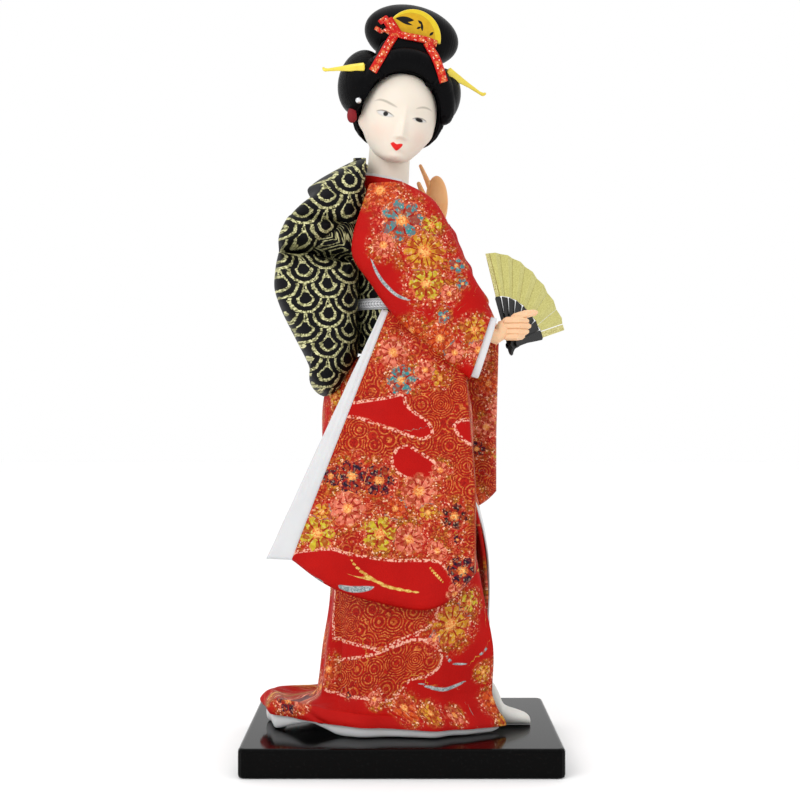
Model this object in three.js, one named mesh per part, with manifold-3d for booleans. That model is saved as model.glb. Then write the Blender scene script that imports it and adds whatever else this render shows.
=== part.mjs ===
// Doll in a brocade kimono with a folding fan, standing on a lacquered board.
// Millimetres, +Z up. The origin is the centre of the board's underside.
// The body faces +X. Its right side is the near side, -Y, and the head is turned toward it.
// Heights inside the figure are measured from the board's top face.

import * as THREE from 'three';
import { mergeVertices } from 'three/addons/utils/BufferGeometryUtils.js';
import Module from 'manifold-3d';

const wasm = await Module();
wasm.setup();

// Faces round the turned and wrapped forms
const skirtSides = 28;
const trunkSides = 22;
const neckSides = 18;
const pegSides = 14;
const sleeveSides = 10;
const faceColumns = 24;
const faceRows = 18;
const skullColumns = 16;
const skullRows = 12;
const capColumns = 20;
const capRows = 14;
const knotColumns = 18;
const knotRows = 12;
const smallColumns = 12;
const smallRows = 8;
const rollSides = 8;
const bowSteps = 18;

// Fits and cloth
const fit = 0.3;
const softFit = 0.45;
const overrun = 4;
const weld = 0.0002;
const brocadeWall = 1.2;
const liningWall = 1;

// Board
const boardWidth = 126;
const boardDepth = 100;
const boardThickness = 11.5;
const boardEdgeRadius = 1.4;
const boardCornerRadius = 2;
const wireHoleDepth = 6;

// Waist and trunk
const waistHeight = 160.5;
const waistHalfDepth = 16;
const waistHalfWidth = 13.3;
const chestHalfDepth = 17;
const shoulderHalfWidth = 16.4;
const neckOpening = 13.2;
const bodiceHeight = 63;
const neckRise = 58.5;
const shoulderRise = 61;
const necklineSlope = 0.3;
const collarRise = 3;
const collarDrop = 2.4;

// Skirt
const skirtRear = 33;
const skirtFront = 33;
const skirtSide = 25;
const foldDepth = 0.7;
const ankleHeight = 18.5;
const ankleRear = 33;
const ankleFront = 38;
const ankleSide = 26.5;
const hemRear = 53;
const hemFront = 41;
const hemNear = 34;
const hemFar = 30;
const hemRearHeight = 8.4;
const hemFrontHeight = 4.6;
const frontSlitHeight = 104;
const frontSlitNear = 17;
const frontSlitFar = 5;
const underskirtRearHeight = 5.5;
const underskirtFrontHeight = 12.6;
const coreBottom = 18.2;

// Feet and leg wires
const footLength = 30.6;
const footHalfWidth = 4.6;
const footHeight = 8.4;
const ankleRadius = 3.8;
const ankleTop = 17.5;
const heelBehindAnkle = 4.6;
const rightAnkleX = 27;
const rightAnkleY = -6;
const leftAnkleX = 7;
const leftAnkleY = 9;
const legWireRadius = 1;
const legWireReach = 36;

// Obi
const obiWall = 2;
const obiBelowWaist = 7.5;
const obiHeight = 37;
const obiCordHeight = 4.6;
const obiCordWall = 1;
const obiCordRise = 19.8;
const knotDepth = 7;
const knotHalfWidth = 11;
const knotHeight = 33;
const knotCornerRadius = 2.2;
const bowHalfWidth = 22;
const bowReach = 52;
const bowUpperRise = 73.4;
const bowUpperHeight = 31.9;
const bowLowerRise = 51;
const bowLowerHeight = 69;
const bowPocketDepth = 9;

// Sleeves: reach and drop are measured from the shoulder point
const sleeveClearance = 0.5;
const sleeveHalfDepth = 8.2;
const shoulderX = -6;
const armReach = 44.3;
const armDrop = 81.9;
const cuffWidth = 2.6;
const mouthSlope = 0.28;
const rightBagWidth = 73;
const rightBagDrop = 98;
const rightBagSag = 13.4;
const bagHalfThickness = 3.6;
const bagLean = 5.2;
const bagFold = 0.9;
const liningBandTop = 2.4;
const liningBandBottom = 10;
const leftBagWidth = 56;
const leftBagDrop = 79;
const leftBagSag = 6;
const elbowForward = 35;
const elbowDrop = 49.5;
const leftMouthForward = 20.6;
const leftMouthDrop = 14;
const leftArmHalfDepth = 7.6;
const armWireRadius = 0.8;
const armHoleRadius = 3.2;

// Hands, right fist and raised left hand
const fistForward = 6.4;
const fistOut = 1.6;
const fistDrop = 58.9;
const fistRadius = 6.3;
const leftHandForward = 1;
const leftHandOut = 0.4;
const leftHandRise = 11.1;
const leftHandLength = 27;
const wristRadius = 3.1;
const fingerRadius = 1.5;

// Fan
const fanPivotForward = 0.1;
const fanPivotBelow = 6.6;
const fanRadius = 38.2;
const fanLeafInner = 20.3;
const fanSticks = 8;
const fanSpread = 86 * Math.PI / 180;
const fanLean = 13.5 * Math.PI / 180;
const stickThickness = 0.36;
const stickPitch = 0.48;
const stickWidth = 2.6;
const stickEye = 1.75;
const rivetRadius = 0.6;
const rivetHeadRadius = 1.3;
const rivetHeadThickness = 0.5;
const leafThickness = 0.3;
const pleatHeight = 1.5;

// Neck and head: the head's own frame has its face toward -Y and its crown toward +Z
const neckX = -5.6;
const neckY = 0;
const neckRadius = 7.4;
const neckTilt = 10 * Math.PI / 180;
const pegRadius = 2.6;
const pegLength = 24;
const pegInTorso = 12;
const headForward = 3.6;
const headOut = 3;
const headRise = 29.5;
const headTilt = 11 * Math.PI / 180;
const headYaw = 9 * Math.PI / 180;
const faceHalfWidth = 15.8;
const headHalfDepth = 18;
const chinDrop = 19.6;
const crownRise = 22;
const noseRise = 2;

// Hair, in the head's frame
const capHalfWidth = 19.6;
const capHalfDepth = 20.4;
const capRise = 26.6;
const frontRollRadius = 5.8;
const wingReach = 26;
const wingHalfDepth = 12.5;
const wingHalfHeight = 13.5;
const napeReach = 23.5;
const knotHalfSpan = 20;
const topknotHalfDepth = 13.5;
const topknotHalfHeight = 12.4;
const topknotCentre = 38;
const topknotBack = 7;

// Hair ornaments, in the head's frame
const combRadius = 11.4;
const combThickness = 1.8;
const combToothLength = 6;
const combTeeth = 7;
const combCentre = 33;
const hairpinHeight = 22.6;
const beadRadius = 1.8;
const sideClothHalfWidth = 1.4;
const sideClothHalfHeight = 3.2;
const hairpinSlope = 14.8 * Math.PI / 180;
const hairpinInner = 7;
const hairpinOuter = 34.4;
const hairpinThickness = 1.3;
const hairpinWidth = 2.6;
const hairpinTipWidth = 4.6;
const ribbonThickness = 0.8;
const ribbonWidth = 3.4;
const ribbonRise = 32.6;
const ribbonKnotX = 7;
const tailReach = 14.2;
const tailDrop = 16;

// Places that follow from the sizes above
const obiBottom = waistHeight - obiBelowWaist;
const obiCordCentre = obiBottom + obiCordRise;
const bowUpperTop = obiBottom + bowUpperRise;
const bowUpperBottom = bowUpperTop - bowUpperHeight;
const bowLowerTop = obiBottom + bowLowerRise;
const bowLowerBottom = bowLowerTop - bowLowerHeight;
const neckBottom = waistHeight + neckRise;
const shoulderHeight = waistHeight + shoulderRise;
const sleeveInner = Math.max(waistHalfWidth + obiWall + obiCordWall + 2 * fit, shoulderHalfWidth)
  + sleeveClearance;
const elbowX = shoulderX + elbowForward;
const elbowHeight = shoulderHeight - elbowDrop;
const leftMouthX = shoulderX + leftMouthForward;
const leftMouthHeight = shoulderHeight - leftMouthDrop;
const leftHandX = leftMouthX + leftHandForward;
const leftHandY = sleeveInner + sleeveHalfDepth + leftHandOut;
const leftHandHeight = leftMouthHeight + leftHandRise;
const fistX = shoulderX + armReach + fistForward;
const fistY = -(sleeveInner + fistOut);
const fistHeight = shoulderHeight - fistDrop;
const fanPivotX = fistX + fanPivotForward;
const fanPivotY = fistY;
const fanPivotHeight = fistHeight - fanPivotBelow;
const headX = neckX + headForward;
const headY = neckY - headOut;
const headHeight = neckBottom + headRise;

// Finishes
const finishes = {
  lacquer: ['#0c0b0d', 0.18, 0],
  steel: ['#9a9c9e', 0.4, 1],
  wood: ['#c9a877', 0.7, 0],
  stuffing: ['#e8e2d6', 0.95, 0],
  skin: ['#f1e6dc', 0.45, 0],
  peach: ['#efc09a', 0.5, 0],
  hair: ['#0b0a0b', 0.35, 0],
  brocade: ['#c0260f', 0.6, 0.1],
  white: ['#f4f3f1', 0.8, 0],
  obi: ['#1c1810', 0.6, 0.1],
  silver: ['#dcdcdc', 0.35, 0.4],
  ribbon: ['#b01418', 0.6, 0],
  yellow: ['#e0b43a', 0.35, 0.2],
  gold: ['#c9b45c', 0.3, 0.6],
  stick: ['#101010', 0.35, 0],
};

const TURN = 2 * Math.PI;
const point = (x, y, z) => new THREE.Vector3(x, y, z);
const mix = (a, b, share) => a + (b - a) * share;
const range = count => Array.from({ length: count }, (unused, index) => index);

// A geometry from rows of points and a list of triangles, turned so that its faces point out.
function geometryFrom(points, triangles) {
  let volume = 0;
  for (const [a, b, c] of triangles) {
    volume += points[a].dot(points[b].clone().cross(points[c]));
  }
  const order = volume < 0 ? triangles.map(([a, b, c]) => [a, c, b]) : triangles;
  const geometry = new THREE.BufferGeometry();
  geometry.setAttribute('position', new THREE.Float32BufferAttribute(points.flatMap(p => p.toArray()), 3));
  geometry.setIndex(order.flat());
  return geometry;
}

// The two triangles between neighbouring places of two rows.
function cell(rowA, rowB, i, j) {
  return [[rowA + i, rowA + j, rowB + j], [rowA + i, rowB + j, rowB + i]];
}

// A solid through closed rings of equal length, its two ends closed by fans.
function loft(rings) {
  const length = rings[0].length;
  const points = rings.flat();
  const triangles = [];
  for (let row = 0; row + 1 < rings.length; row += 1) {
    for (let i = 0; i < length; i += 1) {
      triangles.push(...cell(row * length, (row + 1) * length, i, (i + 1) % length));
    }
  }
  const closeEnd = (row, flip) => {
    const middle = rings[row].reduce((sum, p) => sum.add(p), point(0, 0, 0)).divideScalar(length);
    const hub = points.push(middle) - 1;
    for (let i = 0; i < length; i += 1) {
      const a = row * length + i;
      const b = row * length + (i + 1) % length;
      triangles.push(flip ? [hub, b, a] : [hub, a, b]);
    }
  };
  closeEnd(0, true);
  closeEnd(rings.length - 1, false);
  return geometryFrom(points, triangles);
}

// A wall that closes on itself both ways: its rings run up the outside and down the inside.
function shell(outer, inner) {
  const rings = [...outer, ...[...inner].reverse()];
  const length = rings[0].length;
  const triangles = [];
  for (let row = 0; row < rings.length; row += 1) {
    const next = (row + 1) % rings.length;
    for (let i = 0; i < length; i += 1) {
      triangles.push(...cell(row * length, next * length, i, (i + 1) % length));
    }
  }
  return geometryFrom(rings.flat(), triangles);
}

// A solid between two open grids of equal size, closed along its four edges.
function slab(front, back) {
  const rows = front.length;
  const length = front[0].length;
  const points = [...front.flat(), ...back.flat()];
  const behind = rows * length;
  const triangles = [];
  for (let row = 0; row + 1 < rows; row += 1) {
    const a = row * length;
    const b = a + length;
    for (let i = 0; i + 1 < length; i += 1) {
      triangles.push(...cell(a, b, i, i + 1));
      triangles.push(...cell(behind + b, behind + a, i, i + 1));
    }
    triangles.push([a, b, behind + b], [a, behind + b, behind + a]);
    const endA = a + length - 1;
    const endB = b + length - 1;
    triangles.push([endA, behind + endB, endB], [endA, behind + endA, behind + endB]);
  }
  const last = (rows - 1) * length;
  for (let i = 0; i + 1 < length; i += 1) {
    triangles.push([i, behind + i + 1, i + 1], [i, behind + i, behind + i + 1]);
    const far = last + i;
    triangles.push([far, far + 1, behind + far + 1], [far, behind + far + 1, behind + far]);
  }
  return geometryFrom(points, triangles);
}

// Moves every point of a ring grid along the grid's own normal; a minus distance goes inward.
function offsetRings(rings, distance) {
  const length = rings[0].length;
  return rings.map((ring, row) => ring.map((p, i) => {
    const round = ring[(i + 1) % length].clone().sub(ring[(i + length - 1) % length]);
    const below = rings[Math.max(row - 1, 0)][i];
    const above = rings[Math.min(row + 1, rings.length - 1)][i];
    const normal = round.cross(above.clone().sub(below)).normalize();
    return p.clone().addScaledVector(normal, distance);
  }));
}

function solidOf(geometry) {
  const bare = new THREE.BufferGeometry();
  bare.setAttribute('position', geometry.getAttribute('position').clone());
  if (geometry.index) bare.setIndex(geometry.index.clone());
  const merged = mergeVertices(bare, weld);
  return new wasm.Manifold(new wasm.Mesh({
    numProp: 3,
    vertProperties: Float32Array.from(merged.getAttribute('position').array),
    triVerts: Uint32Array.from(merged.index.array),
  }));
}

function geometryOf(solid) {
  const mesh = solid.getMesh();
  const geometry = new THREE.BufferGeometry();
  geometry.setAttribute('position', new THREE.Float32BufferAttribute(mesh.vertProperties, 3));
  geometry.setIndex(Array.from(mesh.triVerts));
  return geometry;
}

const largest = solid => geometryOf(solid.decompose().sort((a, b) => b.volume() - a.volume())[0]);
const join = (...geometries) => largest(
  geometries.map(solidOf).reduce((whole, next) => whole.add(next)));

// Cuts tools out of a geometry and keeps the largest body that is left.
const cut = (geometry, ...tools) => largest(
  tools.map(solidOf).reduce((whole, tool) => whole.subtract(tool), solidOf(geometry)));

// An oval ring about the figure's axis, with its own reach to each of the four sides.
function ovalRing(sides, { rear, front, near, far, height, fold = 0, folds = 0, phase = 0 }) {
  return range(sides).map(i => {
    const angle = TURN * i / sides;
    const x = Math.cos(angle);
    const y = Math.sin(angle);
    const swell = fold * Math.sin(folds * angle + phase);
    const reachX = (x > 0 ? front : rear) + swell;
    const reachY = (y > 0 ? far : near) + swell;
    const level = typeof height === 'function' ? height(x) : height;
    return point(x * reachX, y * reachY, level);
  });
}

// A straight round bar between two points.
function bar(from, to, radius, sides = 12) {
  const axis = to.clone().sub(from);
  const geometry = new THREE.CylinderGeometry(radius, radius, axis.length(), sides);
  geometry.applyQuaternion(new THREE.Quaternion().setFromUnitVectors(point(0, 1, 0), axis.normalize()));
  const middle = from.clone().add(to).multiplyScalar(0.5);
  return geometry.translate(middle.x, middle.y, middle.z);
}

function ellipsoid(centre, rx, ry, rz, columns = 14, rows = 10) {
  return new THREE.SphereGeometry(1, columns, rows)
    .rotateX(Math.PI / 2).scale(rx, ry, rz).translate(centre.x, centre.y, centre.z);
}

// A tapering limb through points, with a radius at each of them and rounded ends.
function limb(path, radii, sides = 6) {
  const rings = [];
  const place = (centre, direction, radius) => {
    const side = point(0, 1, 0).cross(direction).normalize();
    const up = direction.clone().cross(side);
    rings.push(range(sides).map(i => centre.clone()
      .addScaledVector(side, radius * Math.cos(TURN * i / sides))
      .addScaledVector(up, radius * Math.sin(TURN * i / sides))));
  };
  const directions = path.map((p, i) => path[Math.min(i + 1, path.length - 1)].clone()
    .sub(path[Math.max(i - 1, 0)]).normalize());
  const roundShares = [[0.8, 0.6]];
  for (const [backShare, radiusShare] of roundShares) {
    place(path[0].clone().addScaledVector(directions[0], -radii[0] * backShare), directions[0],
      radii[0] * radiusShare);
  }
  path.forEach((p, i) => place(p, directions[i], radii[i]));
  const end = path.length - 1;
  for (const [aheadShare, radiusShare] of [...roundShares].reverse()) {
    place(path[end].clone().addScaledVector(directions[end], radii[end] * aheadShare), directions[end],
      radii[end] * radiusShare);
  }
  return loft(rings);
}

const doll = new THREE.Group();
const figure = new THREE.Group();
figure.position.z = boardThickness;
doll.add(figure);
const headGroup = new THREE.Group();
headGroup.position.set(headX, headY, headHeight);
headGroup.rotation.set(0, headTilt, 0);
const faceGroup = new THREE.Group();
faceGroup.rotation.set(0, 0, headYaw);
headGroup.add(faceGroup);
figure.add(headGroup);

function add(parent, name, finish, geometry) {
  const [color, roughness, metalness] = finishes[finish];
  const mesh = new THREE.Mesh(geometry, new THREE.MeshStandardMaterial({ color, roughness, metalness }));
  mesh.name = name;
  parent.add(mesh);
  return mesh;
}

// Board: a slab with rounded corners and eased edges, with two blind holes for the leg wires.
function makeBoard() {
  const halfWidth = boardWidth / 2 - boardEdgeRadius;
  const halfDepth = boardDepth / 2 - boardEdgeRadius;
  const outline = new THREE.Shape();
  outline.moveTo(boardCornerRadius - halfWidth, -halfDepth);
  outline.lineTo(halfWidth - boardCornerRadius, -halfDepth);
  outline.quadraticCurveTo(halfWidth, -halfDepth, halfWidth, boardCornerRadius - halfDepth);
  outline.lineTo(halfWidth, halfDepth - boardCornerRadius);
  outline.quadraticCurveTo(halfWidth, halfDepth, halfWidth - boardCornerRadius, halfDepth);
  outline.lineTo(boardCornerRadius - halfWidth, halfDepth);
  outline.quadraticCurveTo(-halfWidth, halfDepth, -halfWidth, halfDepth - boardCornerRadius);
  outline.lineTo(-halfWidth, boardCornerRadius - halfDepth);
  outline.quadraticCurveTo(-halfWidth, -halfDepth, boardCornerRadius - halfWidth, -halfDepth);
  const board = new THREE.ExtrudeGeometry(outline, {
    depth: boardThickness - 2 * boardEdgeRadius,
    bevelThickness: boardEdgeRadius,
    bevelSize: boardEdgeRadius,
    bevelSegments: 3,
    curveSegments: 3,
  }).translate(0, 0, boardEdgeRadius);
  const hole = (x, y) => bar(point(x, y, boardThickness - wireHoleDepth - fit),
    point(x, y, boardThickness + overrun), legWireRadius + fit);
  return cut(board, hole(rightAnkleX, rightAnkleY), hole(leftAnkleX, leftAnkleY));
}

// Tabi foot: flat-soled sections from heel to toe, with an ankle that the leg wire runs through.
const footShares = [
  [0, 0.5, 0.62], [0.06, 0.78, 0.86], [0.2, 0.86, 1], [0.38, 0.84, 1.1], [0.55, 0.92, 0.96],
  [0.72, 1, 0.82], [0.86, 0.98, 0.74], [0.95, 0.78, 0.64], [1, 0.46, 0.44],
];
function makeFoot(ankleX, ankleY) {
  const heel = ankleX - heelBehindAnkle;
  const sides = 12;
  const rings = footShares.map(([lengthShare, widthShare, heightShare]) => range(sides).map(i => {
    const angle = TURN * i / sides;
    const rise = Math.max(0, 0.62 + 0.62 * Math.sin(angle)) / 1.24;
    return point(heel + footLength * lengthShare, ankleY + footHalfWidth * widthShare * Math.cos(angle),
      fit + footHeight * heightShare * rise);
  }));
  const ankle = new THREE.CylinderGeometry(ankleRadius * 0.86, ankleRadius, ankleTop - footHeight * 0.4, 14)
    .rotateX(Math.PI / 2).translate(ankleX, ankleY, (ankleTop + footHeight * 0.4) / 2);
  const bore = bar(point(ankleX, ankleY, -overrun), point(ankleX, ankleY, ankleTop + overrun),
    legWireRadius + fit);
  return cut(join(loft(rings), ankle), bore);
}

function makeLegWire(ankleX, ankleY) {
  return bar(point(ankleX, ankleY, -wireHoleDepth), point(ankleX, ankleY, legWireReach), legWireRadius);
}

// Skirt surface: two rings at the waist under the obi, table rings down to the ankle, then the
// train, where the cloth turns outward over the board.
const skirtShares = [
  [0.935, 0.66, 0.6, 0.72], [0.895, 0.86, 0.74, 0.86], [0.84, 0.98, 0.86, 0.94], [0.74, 1, 0.9, 0.98],
  [0.55, 0.925, 0.885, 0.98], [0.34, 0.86, 0.945, 1], [0.2, 0.94, 1.12, 1.03],
];
const trainShares = [[1, 0], [0.58, 0.16], [0.3, 0.42], [0.12, 0.72], [0, 1]];
function skirtRings(inset, sides, { top = waistHeight, withTrain = true } = {}) {
  const waist = { rear: waistHalfDepth - inset, front: waistHalfDepth - inset,
    near: waistHalfWidth - inset, far: waistHalfWidth - inset };
  const rings = [
    { ...waist, height: top },
    { ...waist, height: obiBottom - fit },
  ];
  for (const [heightShare, rearShare, frontShare, sideShare] of skirtShares) {
    rings.push({ height: waistHeight * heightShare, rear: skirtRear * rearShare - inset,
      front: skirtFront * frontShare - inset, near: skirtSide * sideShare - inset,
      far: skirtSide * sideShare - inset, fold: foldDepth * (1 - heightShare), folds: 9 });
  }
  const train = withTrain ? trainShares : trainShares.slice(0, 1);
  for (const [heightShare, spreadShare] of train) {
    rings.push({ rear: mix(ankleRear, hemRear, spreadShare) - inset,
      front: mix(ankleFront, hemFront, spreadShare) - inset,
      near: mix(ankleSide, hemNear, spreadShare) - inset, far: mix(ankleSide, hemFar, spreadShare) - inset,
      height: x => mix(mix(hemFrontHeight, hemRearHeight, (1 - x) / 2), ankleHeight, heightShare),
      fold: foldDepth * (1 + spreadShare), folds: 9 });
  }
  return rings.map(ring => ovalRing(sides, ring)).reverse();
}

// The wedge that opens the wrap at the front, narrow at the top and wide at the hem.
function frontSlit() {
  const wedge = new THREE.Shape();
  wedge.moveTo(-frontSlitNear - overrun, -overrun);
  wedge.lineTo(frontSlitFar + overrun, -overrun);
  wedge.lineTo(mix(-frontSlitNear, frontSlitFar, 0.5), frontSlitHeight);
  return new THREE.ExtrudeGeometry(wedge, { depth: hemFront + overrun, bevelEnabled: false })
    .rotateX(Math.PI / 2).rotateZ(Math.PI / 2);
}

function makeSkirt() {
  const outer = skirtRings(0, skirtSides);
  return cut(shell(outer, offsetRings(outer, -brocadeWall)), frontSlit());
}

// Underskirt: a plain white wall inside the skirt, higher at the front where the foot steps out.
function makeUnderskirt() {
  const wall = inset => {
    const rings = skirtRings(inset, skirtSides, { withTrain: false }).slice(0, -5);
    const hem = rings[0].map(p => point(p.x, p.y,
      mix(underskirtRearHeight, underskirtFrontHeight, (p.x / ankleFront + 1) / 2)));
    return [hem, ...rings];
  };
  const inset = brocadeWall + softFit;
  return shell(wall(inset), wall(inset + liningWall));
}

// Padded white roll under the hem, from one side of the front opening round to the other.
function makeHemLining() {
  const stations = 24;
  const startTurn = 0.085;
  const inset = brocadeWall + softFit;
  const rings = range(stations + 1).map(i => {
    const angle = TURN * mix(startTurn * 1.15, 1 - startTurn * 1.9, i / stations);
    const x = Math.cos(angle);
    const y = Math.sin(angle);
    const outX = (x > 0 ? hemFront : hemRear) - inset;
    const outY = (y > 0 ? hemFar : hemNear) - inset;
    const edge = mix(hemFrontHeight, hemRearHeight, (1 - x) / 2);
    const halfHeight = (edge - brocadeWall - softFit - 2 * fit) / 2;
    const halfWidth = halfHeight * 0.9 + liningWall;
    return range(rollSides).map(k => {
      const turn = TURN * k / rollSides;
      const out = (Math.cos(turn) - 1) * halfWidth;
      return point(x * (outX + out), y * (outY + out), fit + halfHeight * (1 + Math.sin(turn)));
    });
  });
  return loft(rings);
}

function makeSkirtCore() {
  const inset = brocadeWall + liningWall + 3 * softFit;
  const rings = skirtRings(inset, skirtSides, { top: waistHeight - fit, withTrain: false });
  const core = loft([rings[0].map(p => point(p.x, p.y, coreBottom)), ...rings.slice(1)]);
  const bore = (x, y) => bar(point(x, y, coreBottom - overrun), point(x, y, legWireReach + fit),
    legWireRadius + fit);
  return cut(core, bore(rightAnkleX, rightAnkleY), bore(leftAnkleX, leftAnkleY));
}

// Trunk surface from the waist to the neck opening.
const trunkShares = [
  [0, 0, 0, 0], [0.24, 0, 0, 0], [0.48, 0, 0.1, 0.05], [0.66, 0, 0.8, 0.7], [0.82, 0.12, 0.86, 1],
  [0.92, 0.78, 0.5, 0.8], [1, 1, 0, 0],
];
function trunkRings(inset, sides, bottom) {
  return trunkShares.map(([heightShare, neckShare, chestShare, shoulderShare]) => {
    const depth = mix(mix(waistHalfDepth, chestHalfDepth, chestShare), neckOpening, neckShare) - inset;
    const width = mix(mix(waistHalfWidth, shoulderHalfWidth, shoulderShare), neckOpening, neckShare) - inset;
    return ovalRing(sides, { rear: depth - neckX * neckShare, front: depth + neckX * neckShare,
      near: width, far: width,
      height: x => mix(bottom, waistHeight + bodiceHeight, heightShare)
        - necklineSlope * neckOpening * x * heightShare });
  });
}

function armHole(side) {
  return bar(point(shoulderX, 0, shoulderHeight - sleeveHalfDepth),
    point(shoulderX, side * (shoulderHalfWidth + overrun), shoulderHeight - sleeveHalfDepth),
    armHoleRadius);
}

function makeBodice() {
  const outer = trunkRings(0, trunkSides, waistHeight + fit);
  const wall = shell(outer, trunkRings(brocadeWall, trunkSides, waistHeight + fit));
  return cut(wall, armHole(-1), armHole(1));
}

function neckLine(share, lift = 0) {
  const run = pegLength * share + lift;
  return point(neckX + run * Math.sin(neckTilt), neckY, neckBottom + run * Math.cos(neckTilt));
}

function makeTorsoCore() {
  const rings = trunkRings(brocadeWall + softFit, trunkSides, waistHeight + fit).slice(0, -1);
  const armBore = side => bar(point(shoulderX, side * overrun, shoulderHeight - sleeveHalfDepth),
    point(shoulderX, side * (shoulderHalfWidth + overrun), shoulderHeight - sleeveHalfDepth),
    armWireRadius + softFit);
  const pegBore = bar(neckLine(0, -pegInTorso - fit), neckLine(1), pegRadius + fit);
  const neckSeat = bar(neckLine(0, -fit), neckLine(1), neckRadius + softFit, neckSides);
  return cut(loft(rings), armBore(-1), armBore(1), pegBore, neckSeat);
}

function makeNeckPeg() {
  return bar(neckLine(0, -pegInTorso), neckLine(0, pegInTorso), pegRadius, pegSides);
}

// Collar: a band that stands in the neck opening, low at the breast and high at the nape.
function makeCollar(outside, wall, rise) {
  const ring = (reach, level) => ovalRing(trunkSides, { rear: reach - neckX, front: reach + neckX,
    near: reach, far: reach,
    height: x => waistHeight + bodiceHeight + level - necklineSlope * neckOpening * x });
  const rows = reach => [ring(reach, -collarDrop), ring(reach, rise)];
  return shell(rows(outside), rows(outside - wall));
}

// Obi: an oval band round the waist, its cord, knot and the two puffs behind.
function ovalBand(inner, wall, bottom, height) {
  const sides = 24;
  const levels = [0, 1];
  const ring = (reach, levelShare) => ovalRing(sides, { rear: waistHalfDepth + reach,
    front: waistHalfDepth + reach, near: waistHalfWidth + reach, far: waistHalfWidth + reach,
    height: bottom + height * levelShare });
  return shell(levels.map(share => ring(inner + wall, share)), levels.map(share => ring(inner, share)));
}

// A puffed form: one outline carried across the back, drawn in toward both ends.
function puff(outline, halfWidth, drawn) {
  const middle = outline.reduce((sum, p) => sum.add(p), new THREE.Vector2()).divideScalar(outline.length);
  const stationShares = [-1, -0.92, -0.65, 0, 0.65, 0.92, 1];
  return loft(stationShares.map(share => outline.map(p => {
    const size = 1 - drawn * Math.abs(share) ** 5;
    return point(mix(middle.x, p.x, size), halfWidth * share, mix(middle.y, p.y, size));
  })));
}

function smoothOutline(shares, left, right, bottom, top, count) {
  const corners = shares.map(([xShare, zShare]) =>
    point(mix(left, right, xShare), mix(bottom, top, zShare), 0));
  const curve = new THREE.CatmullRomCurve3(corners, true, 'centripetal');
  return curve.getPoints(count).slice(0, -1).map(p => new THREE.Vector2(p.x, p.y));
}

const knotFront = -(waistHalfDepth + obiWall + obiCordWall + 3 * fit);
function makeObiKnot() {
  const half = new THREE.Shape();
  const radius = knotCornerRadius;
  half.moveTo(radius - knotHalfWidth, -knotHeight / 2);
  half.lineTo(knotHalfWidth - radius, -knotHeight / 2);
  half.lineTo(knotHalfWidth, radius - knotHeight / 2);
  half.lineTo(knotHalfWidth, knotHeight / 2 - radius);
  half.lineTo(knotHalfWidth - radius, knotHeight / 2);
  half.lineTo(radius - knotHalfWidth, knotHeight / 2);
  half.lineTo(-knotHalfWidth, knotHeight / 2 - radius);
  half.lineTo(-knotHalfWidth, radius - knotHeight / 2);
  return new THREE.ExtrudeGeometry(half, { depth: knotDepth - 2 * radius, bevelThickness: radius,
    bevelSize: 0, bevelSegments: 1, bevelOffset: 0 })
    .rotateX(Math.PI / 2).rotateZ(-Math.PI / 2)
    .translate(knotFront - radius, 0, obiBottom + obiHeight / 2);
}

const bowUpperShares = [
  [1, 0.97], [0.8, 0.9], [0.53, 0.74], [0.37, 0.52], [0.15, 0.34], [0.02, 0.16], [0.14, 0.02],
  [0.42, 0.02], [0.72, 0.05], [0.93, 0.24], [1.02, 0.6],
];
const bowLowerShares = [
  [0.1, 0.97], [0.35, 1], [0.62, 0.95], [0.86, 0.84], [0.98, 0.62], [0.9, 0.36], [0.72, 0.14],
  [0.54, 0.01], [0.38, 0.02], [0.3, 0.2], [0.18, 0.36], [0.06, 0.54], [0, 0.74], [0.02, 0.9],
];
function bodyGrown(grow) {
  const skirt = loft(offsetRings(skirtRings(0, skirtSides), grow));
  const trunk = loft(trunkRings(-grow, trunkSides, waistHeight - fit));
  const obi = loft([obiBottom - grow, obiBottom + obiHeight + grow].map(height => ovalRing(32, {
    rear: waistHalfDepth + obiWall + obiCordWall + 2 * fit + grow,
    front: waistHalfDepth + obiWall + grow, near: waistHalfWidth + obiWall + obiCordWall + 2 * fit + grow,
    far: waistHalfWidth + obiWall + obiCordWall + 2 * fit + grow, height })));
  return [skirt, trunk, obi];
}

function knotGrown() {
  return new THREE.BoxGeometry(knotDepth + 2 * fit, 2 * (knotHalfWidth + fit), knotHeight + 2 * fit)
    .translate(knotFront - knotDepth / 2, 0, obiBottom + obiHeight / 2);
}

function makeBowUpper() {
  const outline = smoothOutline(bowUpperShares, -bowReach * 0.93, -bowReach * 0.25, bowUpperBottom,
    bowUpperTop, bowSteps);
  return cut(puff(outline, bowHalfWidth, 0.34), ...bodyGrown(softFit), knotGrown());
}

function makeBowLower() {
  const outline = smoothOutline(bowLowerShares, -bowReach, -bowReach * 0.2, bowLowerBottom, bowLowerTop, 22);
  const upper = smoothOutline(bowUpperShares, -bowReach * 0.93 - softFit, -bowReach * 0.25 + softFit,
    bowUpperBottom - softFit, bowUpperTop, bowSteps);
  const pocket = side => ellipsoid(point(-bowReach * 0.5, side * bowHalfWidth, bowUpperBottom),
    bowReach * 0.17, bowPocketDepth, bowReach * 0.14);
  return cut(puff(outline, bowHalfWidth + liningWall, 0.26), ...bodyGrown(softFit), knotGrown(),
    puff(upper, bowHalfWidth + softFit, 0.34), pocket(-1), pocket(1));
}

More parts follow.
